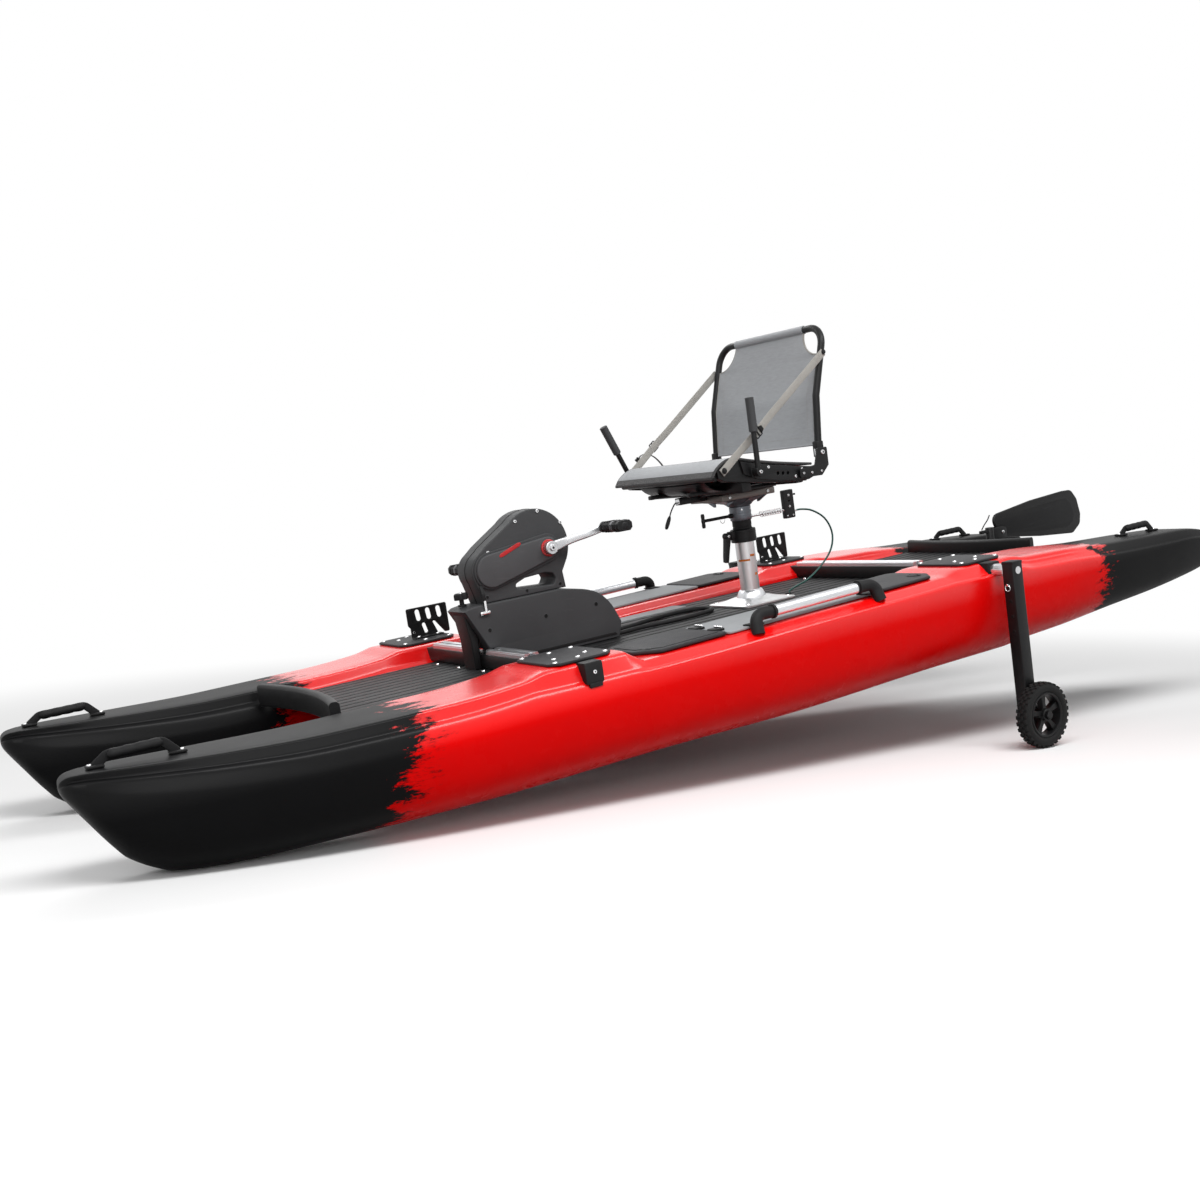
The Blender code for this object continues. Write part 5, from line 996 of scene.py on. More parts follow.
PLATE_HALF = 0.090
PLATE_WIDE = 0.100
PLATE_CUT = 0.022
PLATE_Y = 0.440
PLATE_BOTTOM = BAR_TOP + GAP
PLATE_TOP = PLATE_BOTTOM + 0.007
PLATE_SCREWS = (
    (-0.072, -0.082), (-0.072, 0.082), (0.072, -0.082), (0.072, 0.082), (0.0, -0.070), (0.0, 0.070),
    (0.045, 0.030), (-0.045, 0.030))


def clamp_plate(bar_x, side):
    """The plate over a crossbar's end, with its screws."""
    outline = eight_sided((bar_x, side * PLATE_Y), PLATE_HALF, PLATE_WIDE, PLATE_CUT, 0.006)
    shape = Shape().add(plate(outline, PLATE_BOTTOM, PLATE_TOP, "z", 0.002), "panel")
    for a, b in PLATE_SCREWS:
        shape.screw((bar_x + a, side * (PLATE_Y + b), PLATE_TOP), UP)
    return shape


BRACKET_PLACES = {"front": 0.692, "rear": -0.685}
BRACKET_LENGTH = 0.135
BRACKET_HEIGHT = 0.092
BRACKET_SHEET = 0.004


def accessory_bracket(centre):
    """A perforated upright: its forward edge stands on the plate, its after edge hangs as a finger."""
    low = PLATE_TOP + GAP
    front = centre + BRACKET_LENGTH / 2

    def spot(along, up):
        return front - along * BRACKET_LENGTH, low + up * BRACKET_HEIGHT

    edge = [(0.05, 0.0), (0.05, 0.34), (0.0, 0.44), (0.0, 1.0), (1.0, 1.0), (1.0, 0.02), (0.88, 0.02),
            (0.66, 0.46), (0.60, 0.46), (0.72, 0.0)]
    outline = soft_corners([spot(a, b) for a, b in edge], 0.005)
    holes = [oval(spot(a, 0.74), 0.036, 0.015, math.radians(84)) for a in (0.27, 0.53, 0.79)]
    holes.append(oval(spot(0.40, 0.28), 0.034, 0.012, math.radians(76)))
    shape = Shape().add(plate(outline, -PLATE_Y, -PLATE_Y + BRACKET_SHEET, "y", 0.0008, holes), "black_metal")
    foot = cuboid(
        (centre - 0.035, -PLATE_Y, low), (centre + 0.060, -PLATE_Y + 0.030, low + BRACKET_SHEET), 0.001)
    shape.add(foot, "black_metal")
    for x in (centre - 0.018, centre + 0.045):
        shape.screw((x, -PLATE_Y + 0.018, low + BRACKET_SHEET), UP, 0.0050)
    shape.screw((centre + 0.052, -PLATE_Y + BRACKET_SHEET, low + 0.018), ACROSS, 0.0045)
    return shape


class BOAT_OT_crossbars(bpy.types.Operator):
    """The two crossbars with their tracks, clamp plates and perforated brackets."""

    bl_idname = "boat.crossbars"
    bl_label = "Crossbars"

    def execute(self, context):
        reach = DECK_HALF - GAP
        front = crossbar(FRONT_BAR_X, [(TRACK_INNER, reach), (-TRACK_INNER, -reach)])
        front.build("front_bar", "boat", ["front_crossbar"], "black_metal")
        rear = crossbar(REAR_BAR_X, [(-reach, reach)])
        for side in SIDE_NAMES:
            pin = [(0.0, 0.019), (0.038, 0.019), (0.0435, 0.017), (0.0435, 0.011), (0.0863, 0.011)]
            rear.add(lathe(pin, (REAR_BAR_X, side * BAR_REACH, LEG_PIVOT_Z), (0, side, 0)), "steel")
        rear.build("rear_bar", "boat", ["rear_crossbar"], "black_metal")
        for place, bar_x in (("front", FRONT_BAR_X), ("rear", REAR_BAR_X)):
            for side in SIDE_NAMES:
                name = f"{place}_{SIDE_NAMES[side]}_plate"
                clamp_plate(bar_x, side).build(f"{name}_shell", "boat", [name], "black_plastic")
            name = f"{place}_accessory_bracket"
            accessory_bracket(BRACKET_PLACES[place]).build(f"{name}_shell", "boat", [name], "black_metal")
        return {"FINISHED"}


# Lids, pads, rails and carrying handles on the hulls
PANEL_FRONT = 0.560
PANEL_REAR = -0.496
LID_REAR = 0.296
REAR_LID_FRONT = -0.262
PANEL_SLOPE = math.atan2(FLAT_TOP_REAR - FLAT_TOP_FRONT,
                         FRONT_BAR_X - REAR_BAR_X - 2 * (HUMP_HALF + HUMP_RAMP))
PANEL_INNER = 0.330
PANEL_OUTER = 0.535
# Latches in the lids; each oval of a latch: length, width and lift
LATCH_PLACES = ((0.520, 0.400), (0.520, 0.478), (-0.455, 0.470))
LATCH_CUP = ((0.050, 0.026, 0.0), (0.046, 0.022, 0.0016), (0.036, 0.013, 0.0017), (0.034, 0.011, -0.0010))
LATCH_CORE = ((0.0335, 0.0105, -0.0012), (0.0335, 0.0105, 0.0002))
RAIL_Y = 0.552
RAIL_HALF = 0.205
RAIL_LIFT = 0.026
BAR_RADIUS = 0.0150
BAR_SQUASH = 0.92
BAR_POINTS = 28
GROOVE_POINTS = (21, 24)
GROOVE_DEPTH = 0.0016


def on_flat(x, y, lift=0.0):
    """A point on the hull's flat, between the humps."""
    return Vector((x, y, flat_top(x) + GAP + lift))


def flat_slab(corners, thick, look, side, shape, edge=0.003, corner=0.012, low=0.0):
    """A plate lying on the sloping flat."""
    outline = soft_corners([(x, side * y) for x, y in corners], corner)
    middle = sum(x for x, _ in corners) / len(corners)
    slab = plate(outline, low, low + thick, "z", edge, steps=3)
    pivot = Vector((middle, 0, 0))
    tilt = Matrix.Rotation(PANEL_SLOPE, 4, "Y")
    lift = Matrix.Translation((middle, 0, flat_top(middle) + GAP))
    shape.add(slab, look, lift @ tilt @ Matrix.Translation(-pivot))


def side_panel(side):
    """Two lids with latches, and the grey pad between them on its hinges."""
    shape = Shape()
    inner, outer = PANEL_INNER, PANEL_OUTER
    lid = [(PANEL_FRONT, inner + 0.025), (PANEL_FRONT, outer - 0.060), (PANEL_FRONT - 0.050, outer),
           (LID_REAR, outer), (LID_REAR, inner), (PANEL_FRONT - 0.030, inner)]
    flat_slab(lid, 0.010, "panel", side, shape, 0.004)
    inset = [
        (PANEL_FRONT - 0.016, inner + 0.034), (PANEL_FRONT - 0.016, outer - 0.070),
        (PANEL_FRONT - 0.062, outer - 0.016), (LID_REAR + 0.014, outer - 0.016),
        (LID_REAR + 0.014, inner + 0.016), (PANEL_FRONT - 0.044, inner + 0.016)]
    flat_slab(inset, 0.006, "panel", side, shape, 0.0022, low=0.006)
    pad = [
        (LID_REAR - 0.004, inner), (LID_REAR - 0.004, outer), (REAR_LID_FRONT, outer),
        (REAR_LID_FRONT, inner)]
    flat_slab(pad, 0.0065, "pad_grey", side, shape, 0.002)
    rear = [(REAR_LID_FRONT - 0.004, inner), (REAR_LID_FRONT - 0.004, outer), (PANEL_REAR + 0.040, outer),
            (PANEL_REAR, outer - 0.050), (PANEL_REAR, inner + 0.020), (PANEL_REAR + 0.020, inner)]
    flat_slab(rear, 0.009, "panel", side, shape, 0.004)
    for x, y in LATCH_PLACES:
        spot = on_flat(x, side * y, 0.0105)
        for steps, look in ((LATCH_CUP, "black_plastic"), (LATCH_CORE, "aluminium")):
            rings = [[spot + Vector((b, a, lift)) for a, b in oval((0, 0), *size)] for *size, lift in steps]
            shape.add(loft(rings), look)
    for y in (0.392, 0.478):
        base = on_flat(LID_REAR - 0.004, side * y, 0.006)
        hinge = cuboid(base + Vector((-0.016, -0.020, 0)), base + Vector((0.016, 0.020, 0.008)), 0.004)
        shape.add(hinge, "black_plastic")
        pin = rod(base + Vector((-0.010, -0.017, 0.009)), base + Vector((-0.010, 0.017, 0.009)), 0.0035)
        shape.add(pin, "chrome")
    return shape


def rail(side):
    """A grooved bar in two rubber elbows that turn down over the hull's edge."""
    shape = Shape()
    y = side * RAIL_Y
    ends = [Vector((x, y, flat_top(x) + 0.008 + RAIL_LIFT)) for x in (RAIL_HALF, -RAIL_HALF)]
    groove = []
    for i in range(BAR_POINTS):
        turn = 2 * math.pi * i / BAR_POINTS
        reach = BAR_RADIUS - (GROOVE_DEPTH if i in GROOVE_POINTS else 0.0)
        groove.append((reach * math.cos(turn) * BAR_SQUASH, reach * math.sin(turn)))
    inset = (ends[1] - ends[0]).normalized() * 0.040
    shape.add(sweep([ends[0] + inset, ends[1] - inset], groove), "aluminium")
    for end, sign in zip(ends, (1, -1)):
        foot = Vector((end.x + sign * 0.016, side * 0.566, flat_top(end.x) - 0.014))
        path = rounded(
            [end - Vector((sign * 0.058, 0, 0)), end + Vector((sign * 0.010, 0, 0)), foot], 0.030, 8)
        elbow = sweep(path, round_section(0.0165, 18, BAR_SQUASH), ACROSS, lambda t: 1.0 + 0.10 * t)
        shape.add(elbow, "black_rubber")
        collar = [(-0.004, 0.0165), (-0.003, 0.0195), (0.003, 0.0195), (0.004, 0.0165)]
        shape.add(lathe(collar, end - Vector((sign * 0.050, 0, 0)), AHEAD), "black_rubber")
        pad = on_flat(end.x, side * 0.530, 0.0066)
        foot_pad = cuboid(pad - Vector((0.020, 0.022, 0)), pad + Vector((0.020, 0.022, 0.0035)), 0.0015)
        shape.add(foot_pad, "black_rubber")
    return shape


HANDLES = {"bow": 1.770, "stern": -1.576}
HANDLE_SPAN = 0.168
HANDLE_RISE = 0.022


def finger_grip(share):
    """How thick the grip is along its length: four swells for the fingers and tapered ends."""
    swell = 0.90 + 0.10 * abs(math.sin(4 * math.pi * share))
    return swell * min(1.0, 0.62 + 6 * min(share, 1 - share))


def carrying_handle(x, side):
    """A strap on two feet with a thick finger-grooved grip."""
    shape = Shape()
    fore, middle, aft = hull_rows(np.array([x - HANDLE_SPAN / 2, x, x + HANDLE_SPAN / 2]))
    y = side * (HULL_SPACING / 2 - middle[6])
    feet = [Vector((row[0], y, row[3] + GAP)) for row in (aft, fore)]
    top = max(foot.z for foot in feet) + HANDLE_RISE
    high = [Vector((x + HANDLE_SPAN * 0.34, y, top)), Vector((x - HANDLE_SPAN * 0.34, y, top))]
    path = rounded([feet[0] + Vector((0, 0, 0.003)), *high, feet[1] + Vector((0, 0, 0.003))], 0.018, 6)
    shape.add(sweep(path, box_section(0.020, 0.0055, 0.0022), ACROSS), "black_rubber")
    grip = [high[0].lerp(high[1], i / 40) - Vector((0, 0, 0.001)) for i in range(41)]
    shape.add(sweep(grip, round_section(0.0115, 16), ACROSS, finger_grip), "black_rubber")
    slope = math.atan2(aft[3] - fore[3], HANDLE_SPAN)
    for foot in feet:
        pad = cuboid((-0.018, -0.0145, 0), (0.018, 0.0145, 0.007), 0.003)
        shape.add(pad, "black_rubber", Matrix.Translation(foot) @ Matrix.Rotation(-slope, 4, "Y"))
        outside = 0.010 if foot.x > x else -0.010
        shape.screw(foot + Vector((outside, 0, 0.007 + outside * math.tan(slope))), UP, 0.0050)
    return shape


class BOAT_OT_side_gear(bpy.types.Operator):
    """Lids, grey pads, rails and carrying handles on the hulls."""

    bl_idname = "boat.side_gear"
    bl_label = "Side gear"

    def execute(self, context):
        for side, name in SIDE_NAMES.items():
            side_panel(side).build(f"{name}_lids", "boat", [f"{name}_side_panel"], "black_plastic")
            rail(side).build(f"{name}_grab_rail", "boat", [f"{name}_rail"], "aluminium")
            for end, x in HANDLES.items():
                piece = f"{end}_{name}_handle"
                carrying_handle(x, side).build(f"{piece}_strap", "boat", [piece], "black_rubber")
        return {"FINISHED"}


# Pedal drive
DRIVE_HALF = 0.055
BASE_TOP = 0.4245
BASE_REAR = ((0.308, 0.295), (0.321, 0.324), (0.338, 0.356), (0.369, 0.388), (0.405, 0.405), (0.450, 0.416),
             (0.500, BASE_TOP))
SLOT_OUTLINE = (
    (0.627, 0.022), (0.629, 0.036), (0.597, 0.048), (0.532, 0.052), (0.507, 0.046), (0.4995, 0.031),
    (0.509, 0.015))
CASE_HALF = 0.045
CASE_CENTRE = (0.548, 0.553)
CASE_RADIUS = 0.106
LOBE_CENTRE = (0.700, 0.510)
LOBE_RADIUS = 0.057
COVER_RISE = 0.012
CRANK_LENGTH = 0.172
CRANK_RISE = math.radians(11.0)
CRANK_THICKNESS = 0.014
CRANK_Y = CASE_HALF + COVER_RISE + 0.005
CRANK_FLARE = 0.030
RING_RADIUS = 0.048
PEDAL_WIDTH = 0.095
PEDAL_LENGTH = 0.052
PEDAL_HEIGHT = 0.032
# The pedal from its crank outwards: start and end as shares of its width, growth and finish
PEDAL_SLICES = (
    (0.0, 0.10, -0.001, "black_plastic"),
    (0.86, 1.0, -0.001, "black_plastic"),
    (0.10, 0.52, -0.002, "black_rubber"),
    (0.64, 0.86, -0.002, "black_rubber"),
    (0.52, 0.64, -0.001, "pedal_band"),
)
PEDAL_BARS = (0.18, 0.32, 0.46, 0.72, 0.82)
KNOB_X = 0.779
KNOB_RADIUS = 0.021
RIM_SCREWS = ((0.5287, 0.650), (0.6028, 0.632), (0.4609, 0.6086), (0.700, 0.561), (0.450, 0.545))
CASE_HOLES = ((0.738, 0.522), (0.722, 0.441), (0.597, 0.437), (0.489, 0.437))
BASE_HOLES = ((0.5554, 0.3573), (0.3875, 0.3598), (0.735, 0.3523))


def crank_belt(rear, front, steps=14):
    """The outline of a belt round the crank axle and the front lobe."""
    run = Vector(LOBE_CENTRE) - Vector((CRANK_AXLE.x, CRANK_AXLE.z))
    heading = math.degrees(math.atan2(run.y, run.x))
    lean = math.degrees(math.acos((rear - front) / run.length))
    tail = arc((CRANK_AXLE.x, CRANK_AXLE.z), rear, heading + lean, heading + 360 - lean, steps)
    return tail + arc(LOBE_CENTRE, front, heading - lean, heading + lean, steps)


def case_outline(inset=0.0):
    """The drive case from the side: round rear, saddle, front lobe and foot."""
    x, z = CASE_CENTRE
    rear = arc(CASE_CENTRE, CASE_RADIUS - inset, 214, 47, 28)
    saddle = [(x + 0.122 - inset * 0.4, z + 0.047 - inset), (x + 0.157 - inset * 0.4, z + 0.025 - inset)]
    front = arc(LOBE_CENTRE, LOBE_RADIUS - inset, 58, -28, 14)
    low = BASE_TOP + GAP + inset
    foot = [
        (LOBE_CENTRE[0] + 0.034 - inset, low), (x - 0.078 + inset, low),
        (x - 0.074 + inset, z - 0.082 + inset)]
    return rear + saddle + front + foot


def dimple(shape, spot, side, radius):
    """A counterbored hole with a soft lip; its darkness is painted shade, a near-black disc over its mouth.
    """
    profile = [
        (0.0, radius * 1.35), (0.0006, radius * 1.2), (0.0006, radius), (-0.004, radius),
        (-0.004, radius * 1.2)]
    shape.add(lathe(profile, spot, (0, side, 0), 18, True), "drive_plastic")
    # Painted shade: a near-black disc over the hole's mouth stands in for the shade inside it
    floor = [(0.0, radius), (0.0002, radius)]
    shape.add(lathe(floor, spot + Vector((0, side * 0.0001, 0)), (0, side, 0), 18), "deep_black")


def drive_base():
    """The drive's foot with its front strut, holes and skirt."""
    shape = Shape()
    floor = DECK_TOP + 2 * GAP
    saddle = BAR_TOP + GAP
    rear = [(p.x, p.z) for p in smooth_route([(x, 0, z) for x, z in BASE_REAR], 26)]
    outline = [(0.322, floor), *rear, (0.765, BASE_TOP), (0.790, 0.421), (0.802, 0.414), (0.7423, saddle),
               (0.7137, saddle), (0.7137, floor)]
    shape.add(plate(outline, -DRIVE_HALF, DRIVE_HALF, "y", 0.005, steps=3), "drive_plastic")
    strut = [
        (0.7643, floor), (0.7843, floor), (0.7860, 0.330), (0.7960, 0.405), (0.7700, 0.405), (0.7643, 0.360)]
    shape.add(plate(strut, -0.034, 0.034, "y", 0.003), "black_plastic")
    for side in SIDE_NAMES:
        y = side * DRIVE_HALF
        for x, z in BASE_HOLES:
            dimple(shape, Vector((x, y, z)), side, 0.0055)
        skirt = [(0.330, 0.2600), (0.710, 0.2600), (0.710, 0.2680), (0.336, 0.2680)]
        shape.add(plate(skirt, y - side * 0.002, y + side * 0.0015, "y", 0.0007), "black_plastic")
    return shape


def bar_taper(share):
    """How thick the red bar is along its length."""
    return min(1.0, 0.45 + 7 * min(share, 1 - share))


def drive_case():
    """Both halves of the case with its slot, belt covers, red trim, screws and locking pin."""
    shape = Shape()
    slot = soft_corners([(x, BASE_TOP + rise) for x, rise in SLOT_OUTLINE], 0.008)
    shape.add(plate(case_outline(), -CASE_HALF, CASE_HALF, "y", 0.004, [slot], 3), "drive_plastic")
    shape.add(plate(case_outline(-0.0012), -0.0022, 0.0022, "y", 0.0006, [slot]), "black_plastic")
    for side in SIDE_NAMES:
        wall = side * CASE_HALF
        face = side * (CASE_HALF + COVER_RISE)
        step = side * (CASE_HALF + COVER_RISE * 0.45)
        shape.add(
            plate(crank_belt(0.041, 0.052), wall - side * 0.004, step, "y", 0.0026, steps=3), "drive_plastic")
        shape.add(plate(crank_belt(0.032, 0.046), wall, face, "y", 0.0040, steps=3), "cover_plastic")
        start, end = Vector((0.672, face, 0.545)), Vector((0.602, face, 0.571))
        path = [start.lerp(end, i / 10) for i in range(11)]
        trim = sweep(path, box_section(0.0115, 0.003, 0.0014), (0, side, 0), bar_taper)
        shape.add(trim, "trim_red")
        for x, z in RIM_SCREWS:
            shape.screw((x, wall, z), (0, side, 0), 0.0052)
        for x, z in CASE_HOLES:
            dimple(shape, Vector((x, wall, z)), side, 0.0042)
        lug = [(0.0, 0.024), (0.0035, 0.024), (0.0045, 0.022), (0.0045, 0.014), (0.0, 0.014)]
        lug_base = CRANK_AXLE + Vector((0, face - side * 0.001, 0))
        shape.add(lathe(lug, lug_base, (0, side, 0), 32, True), "trim_red")
    pin = Vector((0.7426, DRIVE_HALF, 0.405))
    catch = cuboid(pin + Vector((-0.015, -0.002, -0.008)), pin + Vector((0.015, 0.008, 0.002)), 0.002)
    shape.add(catch, "chrome")
    shape.add(rod(pin + Vector((-0.004, 0.004, 0.0)), pin + Vector((-0.004, 0.004, 0.030)), 0.0042), "chrome")
    bends = ((-0.004, 0.004, 0.020), (-0.002, 0.006, 0.048), (-0.004, -0.006, 0.070))
    strap = rounded([pin + Vector(bend) for bend in bends], 0.02, 6)
    shape.add(sweep(strap, box_section(0.010, 0.0025, 0.001), ACROSS), "black_rubber")
    return shape


def crank_tip(side):
    """Where the pedal's axle stands, and the arm's direction."""
    heading = math.pi - CRANK_RISE if side == PORT else -CRANK_RISE
    run = Vector((math.cos(heading), 0, math.sin(heading)))
    return CRANK_AXLE + run * CRANK_LENGTH, run


def crank_arm(shape, side):
    """A forged arm that flares outwards, with its axle bolt and pedal spindle."""
    tip, run = crank_tip(side)
    out = Vector((0, side, 0))
    lift = run.cross(out)
    rings = []
    for i in range(17):
        share = i / 16
        flare = CRANK_FLARE * ease(share, 0.20, 0.78)
        half = 0.0155 - 0.005 * ease(share, 0.0, 0.5) + 0.001 * ease(share, 0.8, 1.0)
        thick = CRANK_THICKNESS * (1.0 - 0.12 * ease(share, 0.2, 0.8))
        centre = CRANK_AXLE.lerp(tip, share) + out * (CRANK_Y + flare + CRANK_THICKNESS / 2)
        rings.append([centre + lift * a + out * b for a, b in box_section(2 * half, thick, 0.0045)])
    shape.add(loft(rings), "crank_metal")
    face = CRANK_Y + CRANK_FLARE
    boss = [
        (-0.001, 0.0185), (0.000, 0.019), (CRANK_THICKNESS + 0.002, 0.019), (CRANK_THICKNESS + 0.004, 0.017)]
    shape.add(lathe(boss, CRANK_AXLE + out * CRANK_Y, out, 32), "crank_metal")
    spacer = [(-0.0045, 0.0165), (-0.0005, 0.0165)]
    shape.add(lathe(spacer, CRANK_AXLE + out * CRANK_Y, out, 28), "black_plastic")
    shape.screw(CRANK_AXLE + out * (CRANK_Y + CRANK_THICKNESS + 0.004), out, 0.0095, "steel")
    eye = [(-0.001, 0.0140), (0.0, 0.015), (CRANK_THICKNESS - 0.001, 0.015), (CRANK_THICKNESS, 0.0140)]
    shape.add(lathe(eye, tip + out * face, out, 28), "black_plastic")
    near = tip + out * (face + 0.004)
    shape.add(rod(near, near + out * (CRANK_THICKNESS + PEDAL_WIDTH * 0.78), 0.006), "steel")


def pedal(side):
    """A platform pedal: body with a raised band, end caps, tread pins and a spindle cap."""
    shape = Shape()
    tip, _ = crank_tip(side)
    near = CRANK_Y + CRANK_FLARE + CRANK_THICKNESS + 2 * GAP
    half, tall = PEDAL_LENGTH / 2, PEDAL_HEIGHT / 2

    def span(*shares):
        return [side * (near + share * PEDAL_WIDTH) for share in shares]

    def outline(grow):
        return eight_sided((tip.x, tip.z), half + grow, tall + grow, 0.008, 0.003)

    windows = [oval((tip.x + a, tip.z), 0.020, 0.010, math.pi / 2) for a in (-0.016, 0.016)]
    for start, end, grow, look in PEDAL_SLICES:
        holes = windows if look == "black_rubber" else ()
        shape.add(plate(outline(grow), *span(start, end), "y", 0.0015, holes), look)
    for start in PEDAL_BARS:
        low, high = span(start, start + 0.04)
        for up in (1, -1):
            bar = cuboid((tip.x - half + 0.008, low, tip.z + up * (tall - 0.003)),
                         (tip.x + half - 0.008, high, tip.z + up * (tall - 0.0002)), 0.0008)
            shape.add(bar, "black_rubber")
    end = tip + Vector((0, side * (near + PEDAL_WIDTH), 0))
    shape.add(lathe([(-0.004, 0.010), (0.0, 0.010), (0.0012, 0.008)], end, (0, side, 0), 20), "black_metal")
    return shape


class BOAT_OT_drive(bpy.types.Operator):
    """The pedal drive: base, case, cranks, pedals and clamp knob."""

    bl_idname = "boat.drive"
    bl_label = "Pedal drive"

    def execute(self, context):
        drive_base().build("drive_base_shell", "boat", ["drive_base"], "drive_plastic")
        drive_case().build(
            "drive_case_shell", "boat", ["drive_case_port", "drive_case_starboard"], "drive_plastic")
        starboard = Shape()
        crank_arm(starboard, STARBOARD)
        axle = Vector((0, CRANK_Y + CRANK_THICKNESS, 0))
        starboard.add(rod(CRANK_AXLE - axle, CRANK_AXLE + axle * 0.9, 0.0108), "steel")
        chainring = [(-0.003, RING_RADIUS - 0.001), (-0.002, RING_RADIUS), (0.002, RING_RADIUS),
                     (0.003, RING_RADIUS - 0.001)]
        starboard.add(lathe(chainring, CRANK_AXLE, ACROSS, 48), "steel")
        starboard.build("starboard_crank", "crank", ["crank_axle"], "aluminium")
        port = Shape()
        crank_arm(port, PORT)
        port.build("port_crank_arm", "crank", ["port_crank"], "aluminium")
        for side, name in SIDE_NAMES.items():
            pedal(side).build(f"{name}_pedal_body", f"{name}_pedal", [f"{name}_pedal"], "black_metal")
        self.knob().build("drive_knob_head", "drive_knob", ["drive_knob"], "black_plastic")
        return {"FINISHED"}

    @staticmethod
    def knob():
        base = Vector((KNOB_X, 0, BASE_TOP + 2 * GAP))
        shape = Shape()
        stem = [(0, 0.0120), (0.0045, 0.0120), (0.0055, 0.0110), (0.0055, 0.0065), (0.020, 0.0065)]
        shape.add(lathe(stem, base, UP), "black_plastic")
        rings = []
        for lift, share in ((0.0190, 0.90), (0.0205, 1.0), (0.0330, 1.0), (0.0355, 0.93), (0.0368, 0.78)):
            ring = []
            for i in range(60):
                a = 2 * math.pi * i / 60
                reach = KNOB_RADIUS * share * (0.93 + 0.07 * math.cos(6 * a))
                ring.append(base + Vector((reach * math.cos(a), reach * math.sin(a), lift)))
            rings.append(ring)
        shape.add(loft(rings), "black_rubber")
        return shape.screw(base + Vector((0, 0, 0.0365)), UP, 0.0055, "steel")


# Cords
STEERING_CABLE = ((-0.4343, 0.509), (-0.466, 0.509), (-0.512, 0.498), (-0.562, 0.464), (-0.585, 0.412),
                  (-0.570, 0.360), (-0.520, 0.315), (-0.457, 0.281), (-0.405, 0.268), (-0.376, 0.258),
                  (-0.368, 0.240), (-0.368, 0.222), (-0.368, 0.205))
DECK_HOSE = (
    (0.3166, 0.030), (0.290, 0.030), (0.220, 0.020), (0.120, 0.034), (0.020, 0.030), (-0.050, 0.008),
    (-0.074, -0.040), (-0.040, -0.082), (0.040, -0.090), (0.140, -0.070), (0.220, -0.044), (0.290, -0.032),
    (0.3166, -0.032))
HOSE_Z = 0.2575
RUDDER_LINE = ((-1.290, 0.3103), (-1.306, 0.3263), (-1.326, 0.3423), (-1.338, 0.3573))
SEAT_CORD = ((0.0166, 0.0, 0.599), (0.0266, 0.0, 0.598), (0.0406, -0.005, 0.576), (0.0506, -0.008, 0.552),
             (0.0626, -0.010, 0.528))
CABLE_DIAMETER = 0.006
HOSE_DIAMETER = 0.014
LINE_DIAMETER = 0.004


def run_length(path):
    """Length of a polyline."""
    return sum((b - a).length for a, b in zip(path, path[1:]))


def loose_cord(name, path, diameter, look, body, node, **facts):
    """A cord as a curve of one open spline."""
    curve = bpy.data.curves.new(name, "CURVE")
    curve.dimensions = "3D"
    curve.bevel_depth = diameter / 2
    curve.bevel_resolution = 4
    curve.use_fill_caps = True
    spline = curve.splines.new("POLY")
    spline.points.add(len(path) - 1)
    for point, place in zip(spline.points, path):
        point.co = (*place, 1.0)
    spline.use_smooth = True
    curve.materials.append(finish(look))
    piece = bpy.data.objects.new(name, curve)
    bpy.context.scene.collection.objects.link(piece)
    piece.matrix_world = BOAT
    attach(piece, body)
    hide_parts(node)
    return piece


def stretching_cord(name, path, diameter, look, bodies, reach, node, **facts):
    """A cord as a mesh tube, baked in place."""
    shape = Shape().add(tube(path, diameter / 2, 12, ACROSS), look)
    piece = shape.build(name, None, [node])
    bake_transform(piece)
    return piece


class BOAT_OT_cords(bpy.types.Operator):
    """The steering cable, the hose on the deck, the rudder's line and the seat's pull cord."""

    bl_idname = "boat.cords"
    bl_label = "Cords"

    def execute(self, context):
        cable = smooth_route([(x, 0, z) for x, z in STEERING_CABLE], 40)
        stretching_cord(
            "cable_run", cable, CABLE_DIAMETER, "cable_sheath", ("post", "boat"),
            ((-0.5, 0, 0.475), (-0.5, 0, 0.285)), "steering_cable", far_end="object", stiffness="stiff")
        hose = smooth_route([(x, y, HOSE_Z) for x, y in DECK_HOSE], 40)
        loose_cord("hose_run", hose, HOSE_DIAMETER, "black_rubber", "boat", "deck_hose", far_end="object",
                   stiffness="stiff")
        line = smooth_route([(x, 0, z) for x, z in RUDDER_LINE], 16)
        stretching_cord(
            "rudder_lift_line", line, LINE_DIAMETER, "black_rubber", ("rudder_head", "rudder_blade"),
            ((-1.294, 0, 0.3140), (-1.336, 0, 0.3560)), "rudder_line", far_end="object", stiffness="limp",
            lay="taut")
        pull = smooth_route(SEAT_CORD, 24)
        toggle = Shape()
        start, end = pull[13], pull[-1] + (pull[-1] - pull[-2]) * 0.5
        shank = (
            (0.0, 0.0026), (0.075, 0.0042), (0.25, 0.0058), (0.65, 0.0062), (0.90, 0.0052), (1.0, 0.0030))
        profile = [(share * (end - start).length, radius) for share, radius in shank]
        toggle.add(lathe(profile, start, end - start, 16), "black_rubber")
        handle = toggle.build("pull_toggle", "seat")
        loose_cord("pull_cord", pull, LINE_DIAMETER, "black_rubber", "seat", "seat_cord", far_end="fitting",
                   stiffness="limp", lay="hanging", with_pieces=[handle])
        return {"FINISHED"}


# Seat post
POST_X = -0.218
POST_RADIUS = 0.030
COLLAR_LOW = 0.444
COLLAR_TOP = 0.484
NECK_LOW = 0.512
NECK_TOP = 0.556
NECK_RADIUS = 0.034
LOCK_Z = 0.530
SPRING_Z = 0.518
CAM_PIVOT = Vector((-0.1517, 0.0, 0.470))
# Painted height marks on the tube: angle from the bow in degrees, then heights
HEIGHT_MARKS = ((-5, 73, 0.384, 0.390), (76, 112, 0.397, 0.404), (95, 114, 0.337, 0.345))


